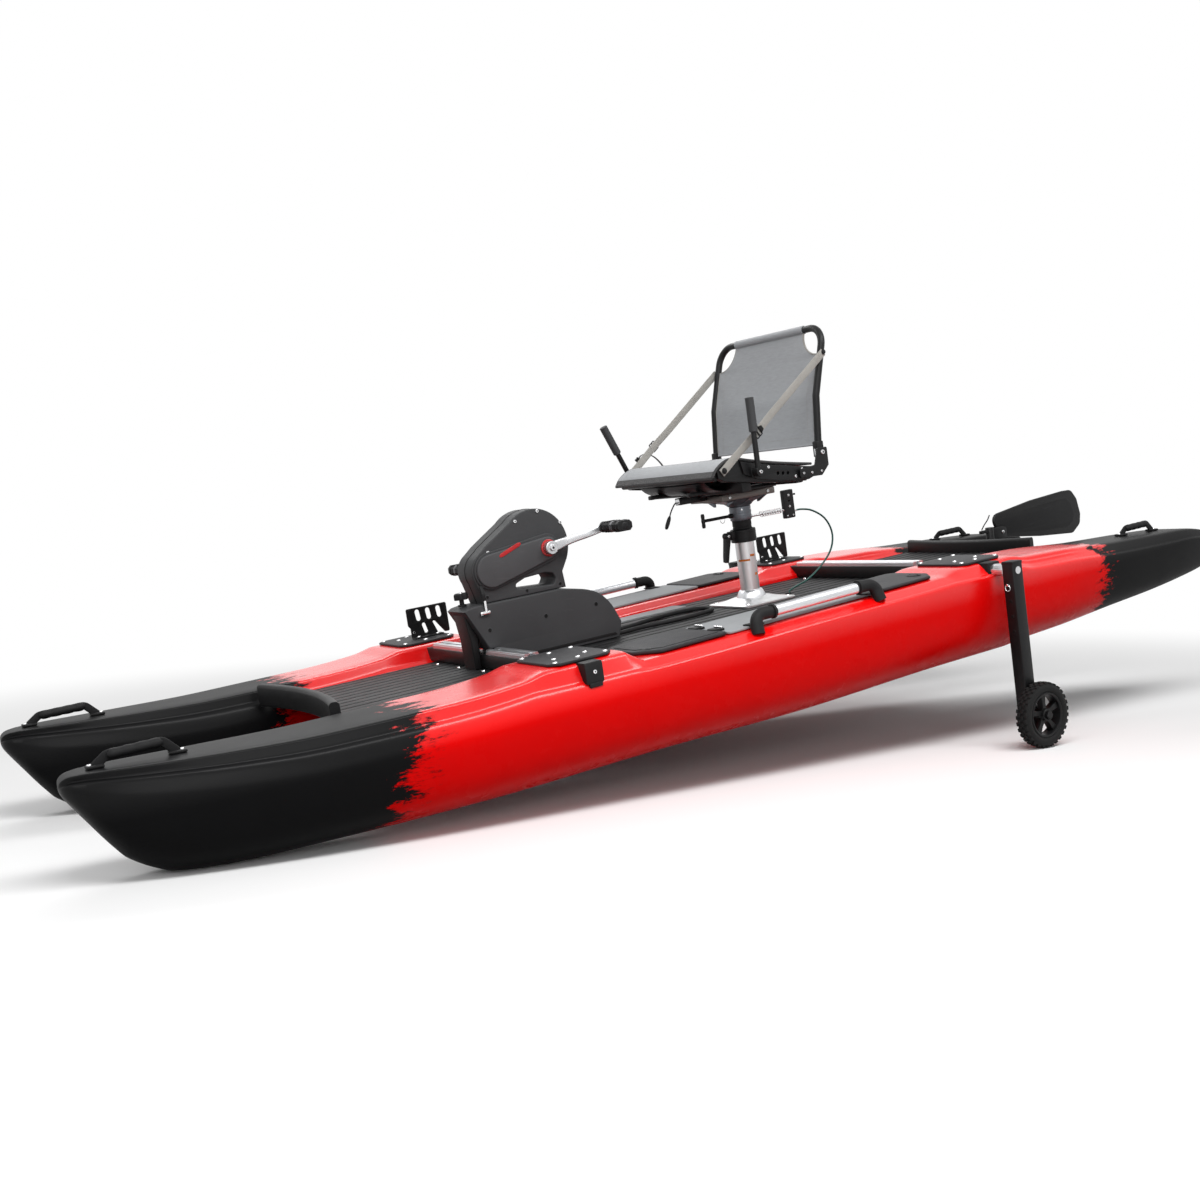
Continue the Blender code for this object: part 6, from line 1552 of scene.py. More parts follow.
def about_post(profile, count, closed=False):
    """A turned shape about the seat's tube."""
    return lathe(profile, (POST_X, 0, 0), UP, count, closed)


def on_post(turn, radius, z):
    """A point round the seat's tube."""
    angle = math.radians(turn)
    return Vector((POST_X + radius * math.cos(angle), radius * math.sin(angle), z))


def pedestal():
    """Foot plate, hub, tube with its height marks, and clamp collar."""
    shape = Shape()
    base = DECK_TOP + GAP
    steps = ((0.0, 0.0985, 0.012), (0.0015, 0.0998, 0.012), (0.0060, 0.0998, 0.012), (0.0075, 0.0980, 0.012),
             (0.0090, 0.080, 0.020), (0.0140, 0.064, 0.024), (0.0200, 0.050, 0.030))
    rings = []
    for lift, half, corner in steps:
        outline = box_section(2 * half, 2 * half, corner, 6)
        rings.append([Vector((POST_X + a, b, base + lift)) for a, b in outline])
    shape.add(loft(rings), "satin_tube")
    hub = [
        (0.016, 0.046), (0.024, 0.0445), (0.034, 0.040), (0.041, 0.036), (0.0425, 0.0330),
        (0.0425, POST_RADIUS)]
    shape.add(lathe([(0.010, 0.047), *hub], (POST_X, 0, base), UP, 40), "aluminium")
    shape.add(about_post([(0.260, POST_RADIUS), (COLLAR_LOW + 0.004, POST_RADIUS)], 48), "satin_tube")
    for a in (-0.080, 0.080):
        for b in (-0.080, 0.080):
            shape.screw((POST_X + a, b, base + 0.0080), UP, 0.0065)
    for start, end, low, high in HEIGHT_MARKS:
        under, over = POST_RADIUS - 0.0004, POST_RADIUS + 0.0003
        strip = ((under, low), (over, low), (over, high), (under, high))
        turns = [start + (end - start) * i / 8 for i in range(9)]
        shape.add(loft([[on_post(turn, r, z) for r, z in strip] for turn in turns]), "orange_mark")
    collar = [
        (COLLAR_LOW, 0.0305), (COLLAR_LOW, 0.0385), (COLLAR_LOW + 0.0015, 0.040), (COLLAR_TOP - 0.002, 0.040),
        (COLLAR_TOP, 0.0380), (COLLAR_TOP, 0.0290), (COLLAR_LOW + 0.010, 0.0290)]
    shape.add(about_post(collar, 48, True), "black_plastic")
    for z in (COLLAR_LOW + 0.010, COLLAR_TOP - 0.010):
        bead = [(z - 0.0012, 0.0398), (z - 0.0006, 0.0404), (z + 0.0006, 0.0404), (z + 0.0012, 0.0398)]
        shape.add(about_post(bead, 48), "black_plastic")
    for side in (STARBOARD, PORT):
        shape.add(
            cuboid((-0.184, side * 0.003, 0.4565), (-0.1620, side * 0.012, 0.4820), 0.002), "black_plastic")
    return shape


def inner_post():
    """The sliding tube, its bush and the cast neck."""
    shape = Shape()
    shape.add(about_post([(0.306, 0.0255), (0.3075, 0.0262), (COLLAR_TOP - 0.004, 0.0262)], 40), "satin_tube")
    bush = [
        (COLLAR_TOP - 0.006, 0.0262), (COLLAR_TOP + GAP, 0.0262), (COLLAR_TOP + GAP, 0.0292),
        (COLLAR_TOP + 0.0012, 0.0300), (0.4900, 0.0300), (0.4908, 0.0285), (0.4926, 0.0285), (0.4934, 0.0300),
        (NECK_LOW, 0.0300)]
    shape.add(about_post(bush, 44), "black_rubber")
    neck = [
        (NECK_LOW - 0.0005, 0.0285), (NECK_LOW, 0.0325), (NECK_LOW + 0.002, NECK_RADIUS),
        (0.526, NECK_RADIUS), (0.527, 0.0332), (0.534, 0.0332), (0.535, NECK_RADIUS),
        (NECK_TOP - 0.002, NECK_RADIUS), (NECK_TOP, 0.032)]
    shape.add(about_post(neck, 44), "cast_grey")
    for turn in (60, 120, 240, 300):
        spot = on_post(turn, NECK_RADIUS - 0.0002, 0.545)
        shape.screw(spot, spot - Vector((POST_X, 0, 0.545)), 0.0034, "steel")
    return shape


def cam_lever():
    """A hook-shaped lever that squeezes the collar, its tail hanging in front of the tube."""
    head = arc((0.0, 0.0), 0.0100, -40, 200, 16)
    tail = [(-0.0096, -0.010), (-0.0030, -0.030), (0.0040, -0.056), (0.0095, -0.078), (0.0115, -0.0820),
            (0.0190, -0.0785), (0.0170, -0.060), (0.0130, -0.038), (0.0098, -0.020)]
    outline = [(CAM_PIVOT.x + a, CAM_PIVOT.z + b) for a, b in head + tail]
    shape = Shape().add(plate(outline, -0.0105, 0.0105, "y", 0.0022, steps=3), "black_plastic")
    for side in SIDE_NAMES:
        shape.screw(CAM_PIVOT + Vector((0, side * 0.0105, 0)), (0, side, 0), 0.0048, "steel")
    return shape


def lock_handle():
    """A pin with a T handle and a split ring."""
    shape = Shape()
    start = Vector((-0.205, 0, LOCK_Z))
    shape.add(rod(start, (-0.070, 0, LOCK_Z), 0.0049), "black_metal")
    collar = [(0.0, 0.0065), (0.001, 0.0075), (0.009, 0.0075), (0.010, 0.0065)]
    shape.add(lathe(collar, (-0.1825, 0, LOCK_Z), AHEAD), "black_metal")
    grip = [
        (0.0, 0.0035), (0.0015, 0.0052), (0.008, 0.0060), (0.015, 0.0054), (0.022, 0.0064), (0.029, 0.0054),
        (0.036, 0.0060), (0.0425, 0.0052), (0.044, 0.0035)]
    shape.add(lathe(grip, (-0.0705, 0, LOCK_Z - 0.022), UP, 20), "black_plastic")
    centre = Vector((-0.145, 0.0, LOCK_Z - 0.0065))
    rings = []
    for i in range(32):
        turn = 2 * math.pi * i / 32
        out = Vector((math.cos(turn), 0.25 * math.cos(turn), math.sin(turn)))
        flat = out.cross(Vector(ACROSS)).normalized()
        rings.append(circle(centre + out * 0.0110, out, out.cross(flat), 0.0009, 8))
    shape.add(loft(rings, True), "chrome")
    return shape


def cable_bracket():
    """The upright that holds the steering cable's end and the spring's rod."""
    shape = Shape()
    shape.add(rod((POST_X - NECK_RADIUS + 0.002, 0, SPRING_Z), (-0.394, 0, SPRING_Z), 0.0038), "steel")
    outline = soft_corners(
        [(-0.4335, 0.4885), (-0.3925, 0.4885), (-0.3925, 0.5795), (-0.4335, 0.5795)], 0.004)
    shape.add(
        plate(outline, -0.0078, 0.0078, "y", 0.0015, [oval((-0.413, 0.543), 0.010, 0.004)]), "black_metal")
    for side in SIDE_NAMES:
        for x, z in ((-0.413, 0.562), (-0.413, 0.526), (-0.424, 0.497), (-0.401, 0.497)):
            shape.screw((x, side * 0.0078, z), (0, side, 0), 0.0042 if z > 0.51 else 0.0030, "steel")
    nut = [(0.0, 0.0050), (0.004, 0.0050), (0.0045, 0.0046)]
    ferrule = [(0.0, 0.0036), (0.006, 0.0036), (0.011, 0.0032)]
    for profile, count in ((nut, 6), (ferrule, 16)):
        shape.add(lathe(profile, (-0.4330, 0, 0.509), (-1, 0, 0), count), "steel")
    shape.add(rod((-0.4335, 0, 0.562), (-0.4430, 0, 0.562), 0.0030), "steel")
    shape.add(cuboid((-0.4430, -0.008, 0.559), (-0.4390, 0.008, 0.565), 0.0015), "black_plastic")
    return shape


def return_spring():
    """A coil round the bracket's rod."""
    turns, per_turn, radius, wire = 9, 22, 0.0083, 0.0012
    path = []
    for i in range(turns * per_turn + 1):
        angle = 2 * math.pi * i / per_turn
        x = -0.294 - 0.0930 * i / (turns * per_turn)
        path.append(Vector((x, radius * math.cos(angle), SPRING_Z + radius * math.sin(angle))))
    return Shape().add(tube(path, wire, 8, AHEAD), "chrome")


class BOAT_OT_post(bpy.types.Operator):
    """The seat's foot, height clamp, lock pin and cable bracket."""

    bl_idname = "boat.post"
    bl_label = "Seat post"

    def execute(self, context):
        pedestal().build("pedestal_shell", "boat", ["pedestal"], "aluminium")
        inner_post().build("neck", "post", ["inner_post"], "grey_metal")
        cam_lever().build("clamp_lever", "cam_lever", ["cam_lever"], "black_plastic")
        lock_handle().build("lock_pin", "lock_handle", ["lock_handle"], "black_metal")
        cable_bracket().build("cable_plate", "post", ["cable_bracket"], "black_metal")
        return_spring().build("spring_coil", "post", ["return_spring"], "steel", sharp=80)
        return {"FINISHED"}


# Seat and backrest
SEAT_LINE = (
    (0.066, 0.670), (0.048, 0.692), (0.015, 0.711), (-0.020, 0.716), (-0.080, 0.703), (-0.160, 0.687),
    (-0.240, 0.674), (-0.310, 0.664))
RAIL_UNDERSIDE = (
    (-0.308, 0.628), (-0.285, 0.613), (-0.180, 0.622), (-0.050, 0.640), (0.018, 0.650), (0.040, 0.662))
SEAT_HALF = 0.250
SEAT_CLOTH = 0.007
FRAME_LOW = 0.6033
BACK_PIVOT = Vector((-0.345, 0.0, 0.690))
BACK_LEAN = math.radians(6.0)
BACK_TOP_LEAN = math.radians(17.0)
BACK_BEND = 0.170
BACK_HEIGHT = 0.382
BACK_Y = 0.250
BACK_TUBE = 0.011
BACK_CORNER = 0.060
BACK_CLOTH = 0.005
BACK_NOTCH = 0.074
BACK_HALF = BACK_Y - BACK_TUBE - 0.0008
BACK_LOW = 0.024
BACK_BELLY = 0.010
BACK_ROWS = 22
SEAT_ROWS = 44
SEAT_SAG = 0.005
CLOTH_STEPS = np.linspace(-1, 1, 33)
CLOTH_MIDDLE = 16
STRAP_WIDTH = 0.024
STRAP_TOP = 0.300
STRAP_STEPS = 40
STRAP_LOOP = (
    (-0.040, -0.262, 0.730), (-0.052, -0.266, 0.750), (-0.074, -0.266, 0.756), (-0.104, -0.264, 0.744),
    (-0.128, -0.262, 0.718), (-0.136, -0.260, 0.700))
BUCKLE_STEP = 13
STRAP_FOOT = (0.030, 0.676)
LEVER_Z = 0.664
LEVER_X = {PORT: -0.082, STARBOARD: -0.026}
LEVER_LEAN = {PORT: 0.0, STARBOARD: math.radians(24.0)}
LEVER_LENGTH = 0.215
GRIP_LENGTH = 0.100


def on_back(along, y=0.0):
    """A point on the backrest's middle surface, measured up from its hinge."""
    first = min(along, BACK_BEND)
    second = max(along - BACK_BEND, 0.0)
    behind = first * math.sin(BACK_LEAN) + second * math.sin(BACK_TOP_LEAN)
    rise = first * math.cos(BACK_LEAN) + second * math.cos(BACK_TOP_LEAN)
    return BACK_PIVOT + Vector((-behind, y, rise))


def cloth(rows, thick):
    """A closed sheet over rows of points, half its thickness to either side."""
    shape = bmesh.new()
    last_row, last = len(rows) - 1, len(rows[0]) - 1
    layers = []
    for side in (0.5, -0.5):
        layer = []
        for i, row in enumerate(rows):
            line = []
            for j, point in enumerate(row):
                along = rows[min(i + 1, last_row)][j] - rows[max(i - 1, 0)][j]
                across = row[min(j + 1, last)] - row[max(j - 1, 0)]
                line.append(shape.verts.new(point + along.cross(across).normalized() * thick * side))
            layer.append(line)
        layers.append(layer)
    for layer in layers:
        for first, second in zip(layer, layer[1:]):
            for j in range(last):
                shape.faces.new((first[j], first[j + 1], second[j + 1], second[j]))
    rim = [(0, j) for j in range(last)] + [(i, last) for i in range(last_row)]
    rim += [(last_row, j) for j in range(last, 0, -1)] + [(i, 0) for i in range(last_row, 0, -1)]
    for (i, j), (m, n) in zip(rim, rim[1:] + rim[:1]):
        shape.faces.new((layers[0][i][j], layers[0][m][n], layers[1][m][n], layers[1][i][j]))
    return shape


def stitches(shape, path, look, length=0.0045, gap=0.003):
    """Short raised threads along a line."""
    run, place = run_length(path), 0.0
    dense = smooth_route(path, max(3, int(run / 0.0015)))
    step = run / (len(dense) - 1)
    while place + length < run:
        first, second = dense[int(place / step)], dense[min(int((place + length) / step), len(dense) - 1)]
        shape.add(rod(first, second, 0.0006, 6, 0.0002), look)
        place += length + gap


def seat_points(drop):
    """The sling's side view, smoothed and lowered square to itself."""
    line = smooth_route([(x, 0, z) for x, z in SEAT_LINE], SEAT_ROWS)
    made = []
    for i, point in enumerate(line):
        ahead = line[min(i + 1, SEAT_ROWS - 1)] - line[max(i - 1, 0)]
        made.append(point + Vector((-ahead.z, 0, ahead.x)).normalized() * drop)
    return made


def seat_sling():
    """Rows of the seat's cloth, sagging towards the middle."""
    rows = []
    for i, point in enumerate(seat_points(SEAT_CLOTH / 2)):
        share = i / (SEAT_ROWS - 1)
        sag = SEAT_SAG * math.sin(math.pi * min(max((share - 0.16) / 0.84, 0.0), 1.0))
        rows.append([point + Vector((0, SEAT_HALF * v, -sag * (1 - v * v))) for v in CLOTH_STEPS])
    return rows


def back_sling():
    """Rows across the back: full width to the notches, then narrowing along a hollow curve to the top bar."""
    top = BACK_HEIGHT - BACK_TUBE - 0.0008
    alongs = list(np.linspace(BACK_LOW, top - BACK_NOTCH, BACK_ROWS))
    alongs += [top - BACK_NOTCH * (1.0 - share ** 1.5) for share in np.linspace(0, 1, 10)[1:]]
    rows = []
    for along in alongs:
        up = max(0.0, along - (top - BACK_NOTCH)) / BACK_NOTCH
        wide = BACK_HALF - BACK_NOTCH * math.sqrt(max(0.0, 1.0 - (1.0 - up) ** 2))
        belly = BACK_BELLY * math.sin(math.pi * (along - BACK_LOW) / (top - BACK_LOW))
        lean = BACK_LEAN if along < BACK_BEND else BACK_TOP_LEAN
        behind = Vector((-math.cos(lean), 0, -math.sin(lean)))
        rows.append([on_back(along, wide * v) + behind * belly * (1 - v * v) for v in CLOTH_STEPS])
    return rows


def cast_head():
    """The swivel: a ribbed casting that spreads to a flange."""
    shape = Shape()
    steps = ((0.5566, 0.034, 0.034, 0.034, 0.030), (0.5600, 0.037, 0.037, 0.037, 0.032),
             (0.5665, 0.044, 0.042, 0.040, 0.028), (0.5740, 0.072, 0.055, 0.054, 0.022),
             (0.5800, 0.100, 0.066, 0.068, 0.016), (0.5850, 0.112, 0.072, 0.074, 0.012))
    rings = []
    for z, front, rear, half, corner in steps:
        middle = POST_X + (front - rear) / 2
        rings.append([Vector((middle + a, b, z)) for a, b in box_section(front + rear, 2 * half, corner, 5)])
    shape.add(loft(rings), "cast_grey")
    for side in SIDE_NAMES:
        for x in (-0.050, 0.012, 0.070):
            web = [
                (side * 0.030, 0.5625), (side * 0.036, 0.5625), (side * 0.080, 0.5840),
                (side * 0.030, 0.5840)]
            shape.add(plate(web, POST_X + x - 0.003, POST_X + x + 0.003, "x", 0.001), "cast_grey")
    shape.add(cuboid((-0.2995, -0.0815, 0.5825), (-0.0905, 0.0815, 0.6028), 0.003), "flange_grey")
    for side in SIDE_NAMES:
        for x in (-0.270, -0.120):
            shape.screw((x, side * 0.0815, 0.5925), (0, side, 0), 0.0048, "steel")
    return shape


def side_plate_outline():
    """The seat's side plate, which follows the sling."""
    top = [(x, z - 0.0115) for x, z in SEAT_LINE if x < 0.0]
    return [
        (-0.040, 0.7010), *top[1:], (-0.318, 0.6520), (-0.318, 0.6250), (-0.290, 0.6160), (-0.180, 0.6260),
        (-0.093, 0.6440), (-0.048, 0.6640)]


SIDE_PLATE_HOLES = ((-0.174, 0.6490), (-0.193, 0.6468), (-0.212, 0.6450))
SIDE_PLATE_SCREWS = ((-0.140, 0.672), (-0.267, 0.650), (-0.110, 0.662), (-0.240, 0.632))
# The hinge's ears and their screws, measured from the hinge
HINGE_EAR = (
    (-0.020, 0.014), (0.018, 0.014), (0.034, -0.034), (0.095, -0.040), (0.095, -0.066), (0.010, -0.068),
    (-0.020, -0.040))
EAR_SCREWS = ((0.050, -0.055), (0.082, -0.053), (0.012, -0.055))
EAR_FACE = 0.2670
PAN_LINE = (
    (0.030, 0.6500), (0.018, 0.6360), (-0.010, 0.6220), (-0.050, 0.6170), (-0.140, 0.6165), (-0.250, 0.6190),
    (-0.290, 0.6300))


def seat_frame():
    """Side rails and plates, hinge ears, lever lugs, cross members and the pan under the sling."""
    shape = Shape()
    under = [(p.x, p.z) for p in seat_points(0.0105)]
    for side in SIDE_NAMES:
        outline = [point for point in under if point[0] < 0.045] + list(RAIL_UNDERSIDE)
        shape.add(plate(outline, side * 0.2255, side * 0.2490, "y", 0.002), "black_metal")
        holes = [arc(spot, 0.0052, 0, 345, 23) for spot in SIDE_PLATE_HOLES]
        shape.add(
            plate(side_plate_outline(), side * 0.2492, side * 0.2560, "y", 0.0012, holes), "black_metal")
        for x, z in SIDE_PLATE_SCREWS:
            shape.screw((x, side * 0.2560, z), (0, side, 0), 0.0048)
        ear = soft_corners([(BACK_PIVOT.x + a, BACK_PIVOT.z + b) for a, b in HINGE_EAR], 0.005)
        shape.add(plate(ear, side * 0.2615, side * EAR_FACE, "y", 0.0012), "black_metal")
        shape.screw(BACK_PIVOT + Vector((0, side * EAR_FACE, 0)), (0, side, 0), 0.0075, "steel")
        for a, b in EAR_SCREWS:
            shape.screw(BACK_PIVOT + Vector((a, side * EAR_FACE, b)), (0, side, 0), 0.0040, "steel")
        shape.add(
            cuboid((-0.335, side * 0.2540, 0.6235), (-0.256, side * 0.2630, 0.6480), 0.002), "black_metal")
        pivot = Vector((LEVER_X[side], 0, LEVER_Z))
        lug = cuboid(pivot + Vector((-0.0135, side * 0.2470, -0.0135)),
                     pivot + Vector((0.0135, side * 0.2660, 0.0135)), 0.003)
        shape.add(lug, "black_metal")
    for low, high, top in ((-0.285, -0.255, 0.634), (-0.085, -0.050, 0.655)):
        shape.add(cuboid((low, -0.236, FRAME_LOW + 0.006), (high, 0.236, top), 0.004), "black_metal")
    shape.add(cuboid((-0.282, -0.030, FRAME_LOW), (-0.055, 0.030, 0.6320), 0.003), "black_metal")
    shape.add(cuboid((-0.3060, -0.0845, FRAME_LOW), (-0.0990, 0.0845, 0.6153), 0.002), "black_metal")
    shape.add(cuboid((-0.0880, -0.0130, 0.5916), (0.0155, 0.0130, 0.6130), 0.002), "black_metal")
    shape.add(cuboid((0.0120, -0.0100, 0.5945), (0.0162, 0.0100, 0.6100), 0.001), "steel")
    dish = [Vector((0, y, 0.006 * (y / 0.2) ** 2)) for y in np.linspace(-0.165, 0.165, 17)]
    pan = smooth_route([(x, 0, z) for x, z in PAN_LINE], 30)
    shape.add(cloth([[point + lift for lift in dish] for point in pan], 0.0025), "black_metal")
    shape.add(rod((0.0440, -0.240, 0.6640), (0.0440, 0.240, 0.6640), 0.0090, 20, 0.002), "black_metal")
    for y in (-0.10, 0.10):
        shape.add(cuboid((-0.060, y - 0.010, 0.6160), (0.046, y + 0.010, 0.6285), 0.003), "black_metal")
    return shape


def hinge_block(shape, side):
    """The moulded foot of the backrest's tube, with its pin."""
    block = cuboid(BACK_PIVOT + Vector((-0.0150, side * 0.2385, -0.0140)),
                   BACK_PIVOT + Vector((0.0120, side * 0.2606, 0.0340)), 0.004)
    shape.add(block, "black_plastic")
    pin = BACK_PIVOT + Vector((0.0125, side * BACK_Y, 0))
    shape.add(rod(pin + Vector((0, 0, -0.010)), pin + Vector((0, 0, 0.012)), 0.0028), "chrome")


def back_frame():
    """The bent tube of the backrest with its hinge blocks and strap bolts."""
    shape = Shape()
    for side in SIDE_NAMES:
        hinge_block(shape, side)
    start = BACK_BEND + 0.02
    corners = ((start, BACK_Y), (BACK_HEIGHT, BACK_Y), (BACK_HEIGHT, -BACK_Y), (start, -BACK_Y))
    upper = rounded([on_back(along, y) for along, y in corners], BACK_CORNER, 12)
    lower = [0.0] + [BACK_BEND + shift for shift in (-0.02, -0.01, 0.0, 0.01)]
    path = [on_back(along, BACK_Y) for along in lower] + upper[1:-1]
    path += [on_back(along, -BACK_Y) for along in reversed(lower)]
    ahead = Vector((math.cos(BACK_LEAN), 0, math.sin(BACK_LEAN)))
    shape.add(tube(path, BACK_TUBE - 0.0002, 18, ahead), "black_metal")
    for side in SIDE_NAMES:
        spot = on_back(STRAP_TOP, side * (BACK_Y + BACK_TUBE - 0.001))
        shape.screw(spot + Vector((0, side * 0.0030, 0)), (0, side, 0), 0.0075, "black_metal")
    return shape


def strap(side):
    """Webbing from the backrest's tube to the seat's front corner, doubled below its buckle."""
    top = on_back(STRAP_TOP, side * 0.2623)
    foot = Vector((STRAP_FOOT[0], side * 0.2533, STRAP_FOOT[1]))
    out = Vector((0, side, 0))
    path, tail = [], []
    for i in range(STRAP_STEPS + 1):
        bulge = 0.0048 * math.exp(-((i - BUCKLE_STEP) / 3.5) ** 2)
        path.append(foot.lerp(top, i / STRAP_STEPS) + out * bulge)
        if i <= BUCKLE_STEP:
            tail.append(path[-1] + out * (0.0016 + 0.0006 * math.sin(i * 0.9)))
    edgeways = (top - foot).cross(out)
    shape = Shape()
    shape.add(sweep(path, box_section(0.0019, STRAP_WIDTH, 0.0008, 2), edgeways), "webbing")
    shape.add(sweep(tail, box_section(0.0014, STRAP_WIDTH - 0.001, 0.0006, 2), edgeways), "webbing")
    return shape, path, out


def buckle(path, out):
    """A ladder-lock buckle on the strap, with its bolt at the strap's foot."""
    shape = Shape()
    run = (path[-1] - path[0]).normalized()
    lift = run.cross(out).normalized()
    basis = Matrix((run, lift, out)).transposed().to_4x4()
    place = Matrix.Translation(path[BUCKLE_STEP] + out * 0.0030) @ basis
    frame_line = soft_corners([(-0.013, -0.0155), (0.013, -0.0155), (0.013, 0.0155), (-0.013, 0.0155)], 0.003)
    gaps = []
    for low, high in ((-0.0107, -0.0023), (0.0023, 0.0107)):
        gaps.append(soft_corners([(low, -0.0125), (high, -0.0125), (high, 0.0125), (low, 0.0125)], 0.001))
    shape.add(plate(frame_line, -0.0018, 0.0018, "z", 0.0009, gaps), "black_plastic", place)
    tongue = [(0.013, -0.011), (0.024, -0.007), (0.024, 0.007), (0.013, 0.011)]
    shape.add(plate(tongue, 0.0, 0.0022, "z", 0.0009), "black_plastic", place)
    foot = path[0] + run * 0.010 + out * 0.0030
    shape.add(lathe([(0.0, 0.0090), (0.0012, 0.0090), (0.0018, 0.0080)], foot, out, 24), "black_metal")
    return shape.screw(foot + out * 0.0018, out, 0.0060, "black_metal")


def lever(side):
    """A hand lever: boss, shaft and ribbed grip."""
    shape = Shape()
    x, lean = LEVER_X[side], LEVER_LEAN[side]
    pivot = Vector((x, side * 0.2669, LEVER_Z))
    boss = [(0.0, 0.0130), (0.001, 0.0138), (0.023, 0.0138), (0.024, 0.0130)]
    shape.add(lathe(boss, pivot, (0, side, 0), 28), "black_plastic")
    shape.screw(pivot + Vector((0, side * 0.024, 0)), (0, side, 0), 0.0060, "steel")
    up = Vector((math.sin(lean), 0, math.cos(lean)))
    foot = Vector((x, side * 0.2808, LEVER_Z))
    start = LEVER_LENGTH - GRIP_LENGTH
    shape.add(lathe([(0.0, 0.0080), (start + 0.004, 0.0080)], foot, up, 20), "black_metal")
    grip = [(start, 0.0098), (start + 0.002, 0.0125)]
    for i in range(34):
        grip.append((start + 0.004 + 0.092 * i / 33, 0.0130 if i % 2 else 0.0122))
    grip += [(LEVER_LENGTH - 0.002, 0.0128), (LEVER_LENGTH - 0.0004, 0.0110), (LEVER_LENGTH, 0.0070)]
    return shape.add(lathe(grip, foot, up, 28), "grip_rubber")


class BOAT_OT_seat(bpy.types.Operator):
    """The swivelling seat: casting, frame, slings, straps and hand levers."""

    bl_idname = "boat.seat"
    bl_label = "Seat"

    def execute(self, context):
        cast_head().build("swivel_casting", "seat", ["swivel_head"], "grey_metal")
        frame_piece = seat_frame().build("seat_base", "seat", ["seat_frame"], "black_metal")
        hoop = back_frame().build("back_hoop", "backrest", ["back_frame"], "black_metal")
        self.seat_cloth(frame_piece)
        self.back_cloth(hoop)
        for side, name in SIDE_NAMES.items():
            shape, path, out = strap(side)
            webbing = shape.build(f"{name}_back_strap", None, [f"{name}_strap"], "pale_webbing")
            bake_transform(webbing)
            buckle(path, out).build(f"{name}_buckle", "seat")
            lever(side).build(f"{name}_hand_lever", f"{name}_lever", [f"{name}_lever"], "black_plastic")
        self.strap_tail().build("strap_tail", "seat")
        return {"FINISHED"}

    @staticmethod
    def seat_cloth(frame_piece):
        rows = seat_sling()
        piece = Shape().add(cloth(rows, SEAT_CLOTH), "sling").build("seat_sling", "seat", ["seat_fabric"],
                                                                  "grey_fabric", sharp=70)
        trim = Shape()
        for j in (0, -1):
            trim.add(tube([row[j] for row in rows], sizes().piping, 10, ACROSS), "hem")
        lip = [[point + Vector((0.0006, 0, 0)) for point in row] for row in rows[:3]]
        trim.add(cloth(lip, SEAT_CLOTH + 0.0016), "hem")
        trim.add(tube(rows[0], 0.0046, 10), "hem")
        for row in (9, 40):
            stitches(trim, [point + Vector((0, 0, SEAT_CLOTH / 2)) for point in rows[row][1:-1]], "webbing")
        binding = trim.build("seat_binding", "seat")

    @staticmethod
    def back_cloth(hoop):
        rows = back_sling()
        piece = Shape().add(cloth(rows, BACK_CLOTH), "sling").build("back_sling", "backrest", ["back_fabric"],
                                                                  "grey_fabric", sharp=70)
        trim = Shape()
        ahead = Vector((math.cos(BACK_LEAN), 0, math.sin(BACK_LEAN)))
        for j in (0, -1):
            trim.add(tube([row[j] for row in rows], 0.0030, 10, ahead), "webbing")
        trim.add(tube(rows[0], 0.0036, 10, ahead), "sling")
        top = [on_back(BACK_HEIGHT, y) for y in np.linspace(rows[-1][0].y, rows[-1][-1].y, 12)]
        trim.add(tube(top, BACK_TUBE + 0.0020, 22, ahead), "sling")
        face = ahead * (BACK_CLOTH / 2)
        for j in (2, -3):
            stitches(trim, [row[j] + face for row in rows[:BACK_ROWS]], "webbing")
        stitches(trim, [point + face for point in rows[2][2:-2]], "webbing")
        binding = trim.build("back_binding", "backrest")
        middle = [row[CLOTH_MIDDLE] for row in rows]
        widths = [run_length(row) for row in rows]
        steps = zip(widths, widths[1:], middle, middle[1:])
        area = sum(0.5 * (first + second) * (end - start).length for first, second, start, end in steps)

    @staticmethod
    def strap_tail():
        """The starboard strap's black keeper and the webbing loop behind it."""
        shape = Shape()
        loop = smooth_route(STRAP_LOOP, 30)
        shape.add(sweep(loop, box_section(0.0014, 0.0090, 0.0005, 2), ACROSS), "hem")
        run = Vector((0.063, 0, -0.052)).normalized()
        for shift in (0.0, 0.008):
            centre = Vector((-0.047, -0.2620, 0.738)) + run * shift
            shape.add(cuboid((-0.003, -0.004, -0.0145), (0.003, 0.004, 0.0145), 0.0015), "black_plastic",
                      Matrix.Translation(centre) @ Matrix.Rotation(math.radians(40), 4, "Y"))
        return shape


# Rudder
RUDDER_X = -1.330
RUDDER_PIVOT = Vector((-1.385, 0.0, 0.290))
RUDDER_POST = ((0.2125, 0.0135), (0.214, 0.0147), (0.2362, 0.0147), (0.2362, 0.0195), (0.238, 0.0208),
               (0.2445, 0.0208), (0.246, 0.0195), (0.246, 0.0148), (0.312, 0.0148), (0.3138, 0.0135))
CHEEK_OUTLINE = ((-1.334, 0.262), (-1.334, 0.310), (-1.385, 0.311), (-1.4055, 0.303), (-1.4055, 0.272),
                 (-1.385, 0.2615))
BLADE_OUTLINE = (
    (0.045, 0.064), (-0.175, 0.089), (-0.355, 0.098), (-0.405, 0.096), (-0.433, 0.060), (-0.447, 0.0),
    (-0.439, -0.038), (-0.395, -0.067), (-0.215, -0.050), (-0.015, -0.022), (0.009, -0.018))


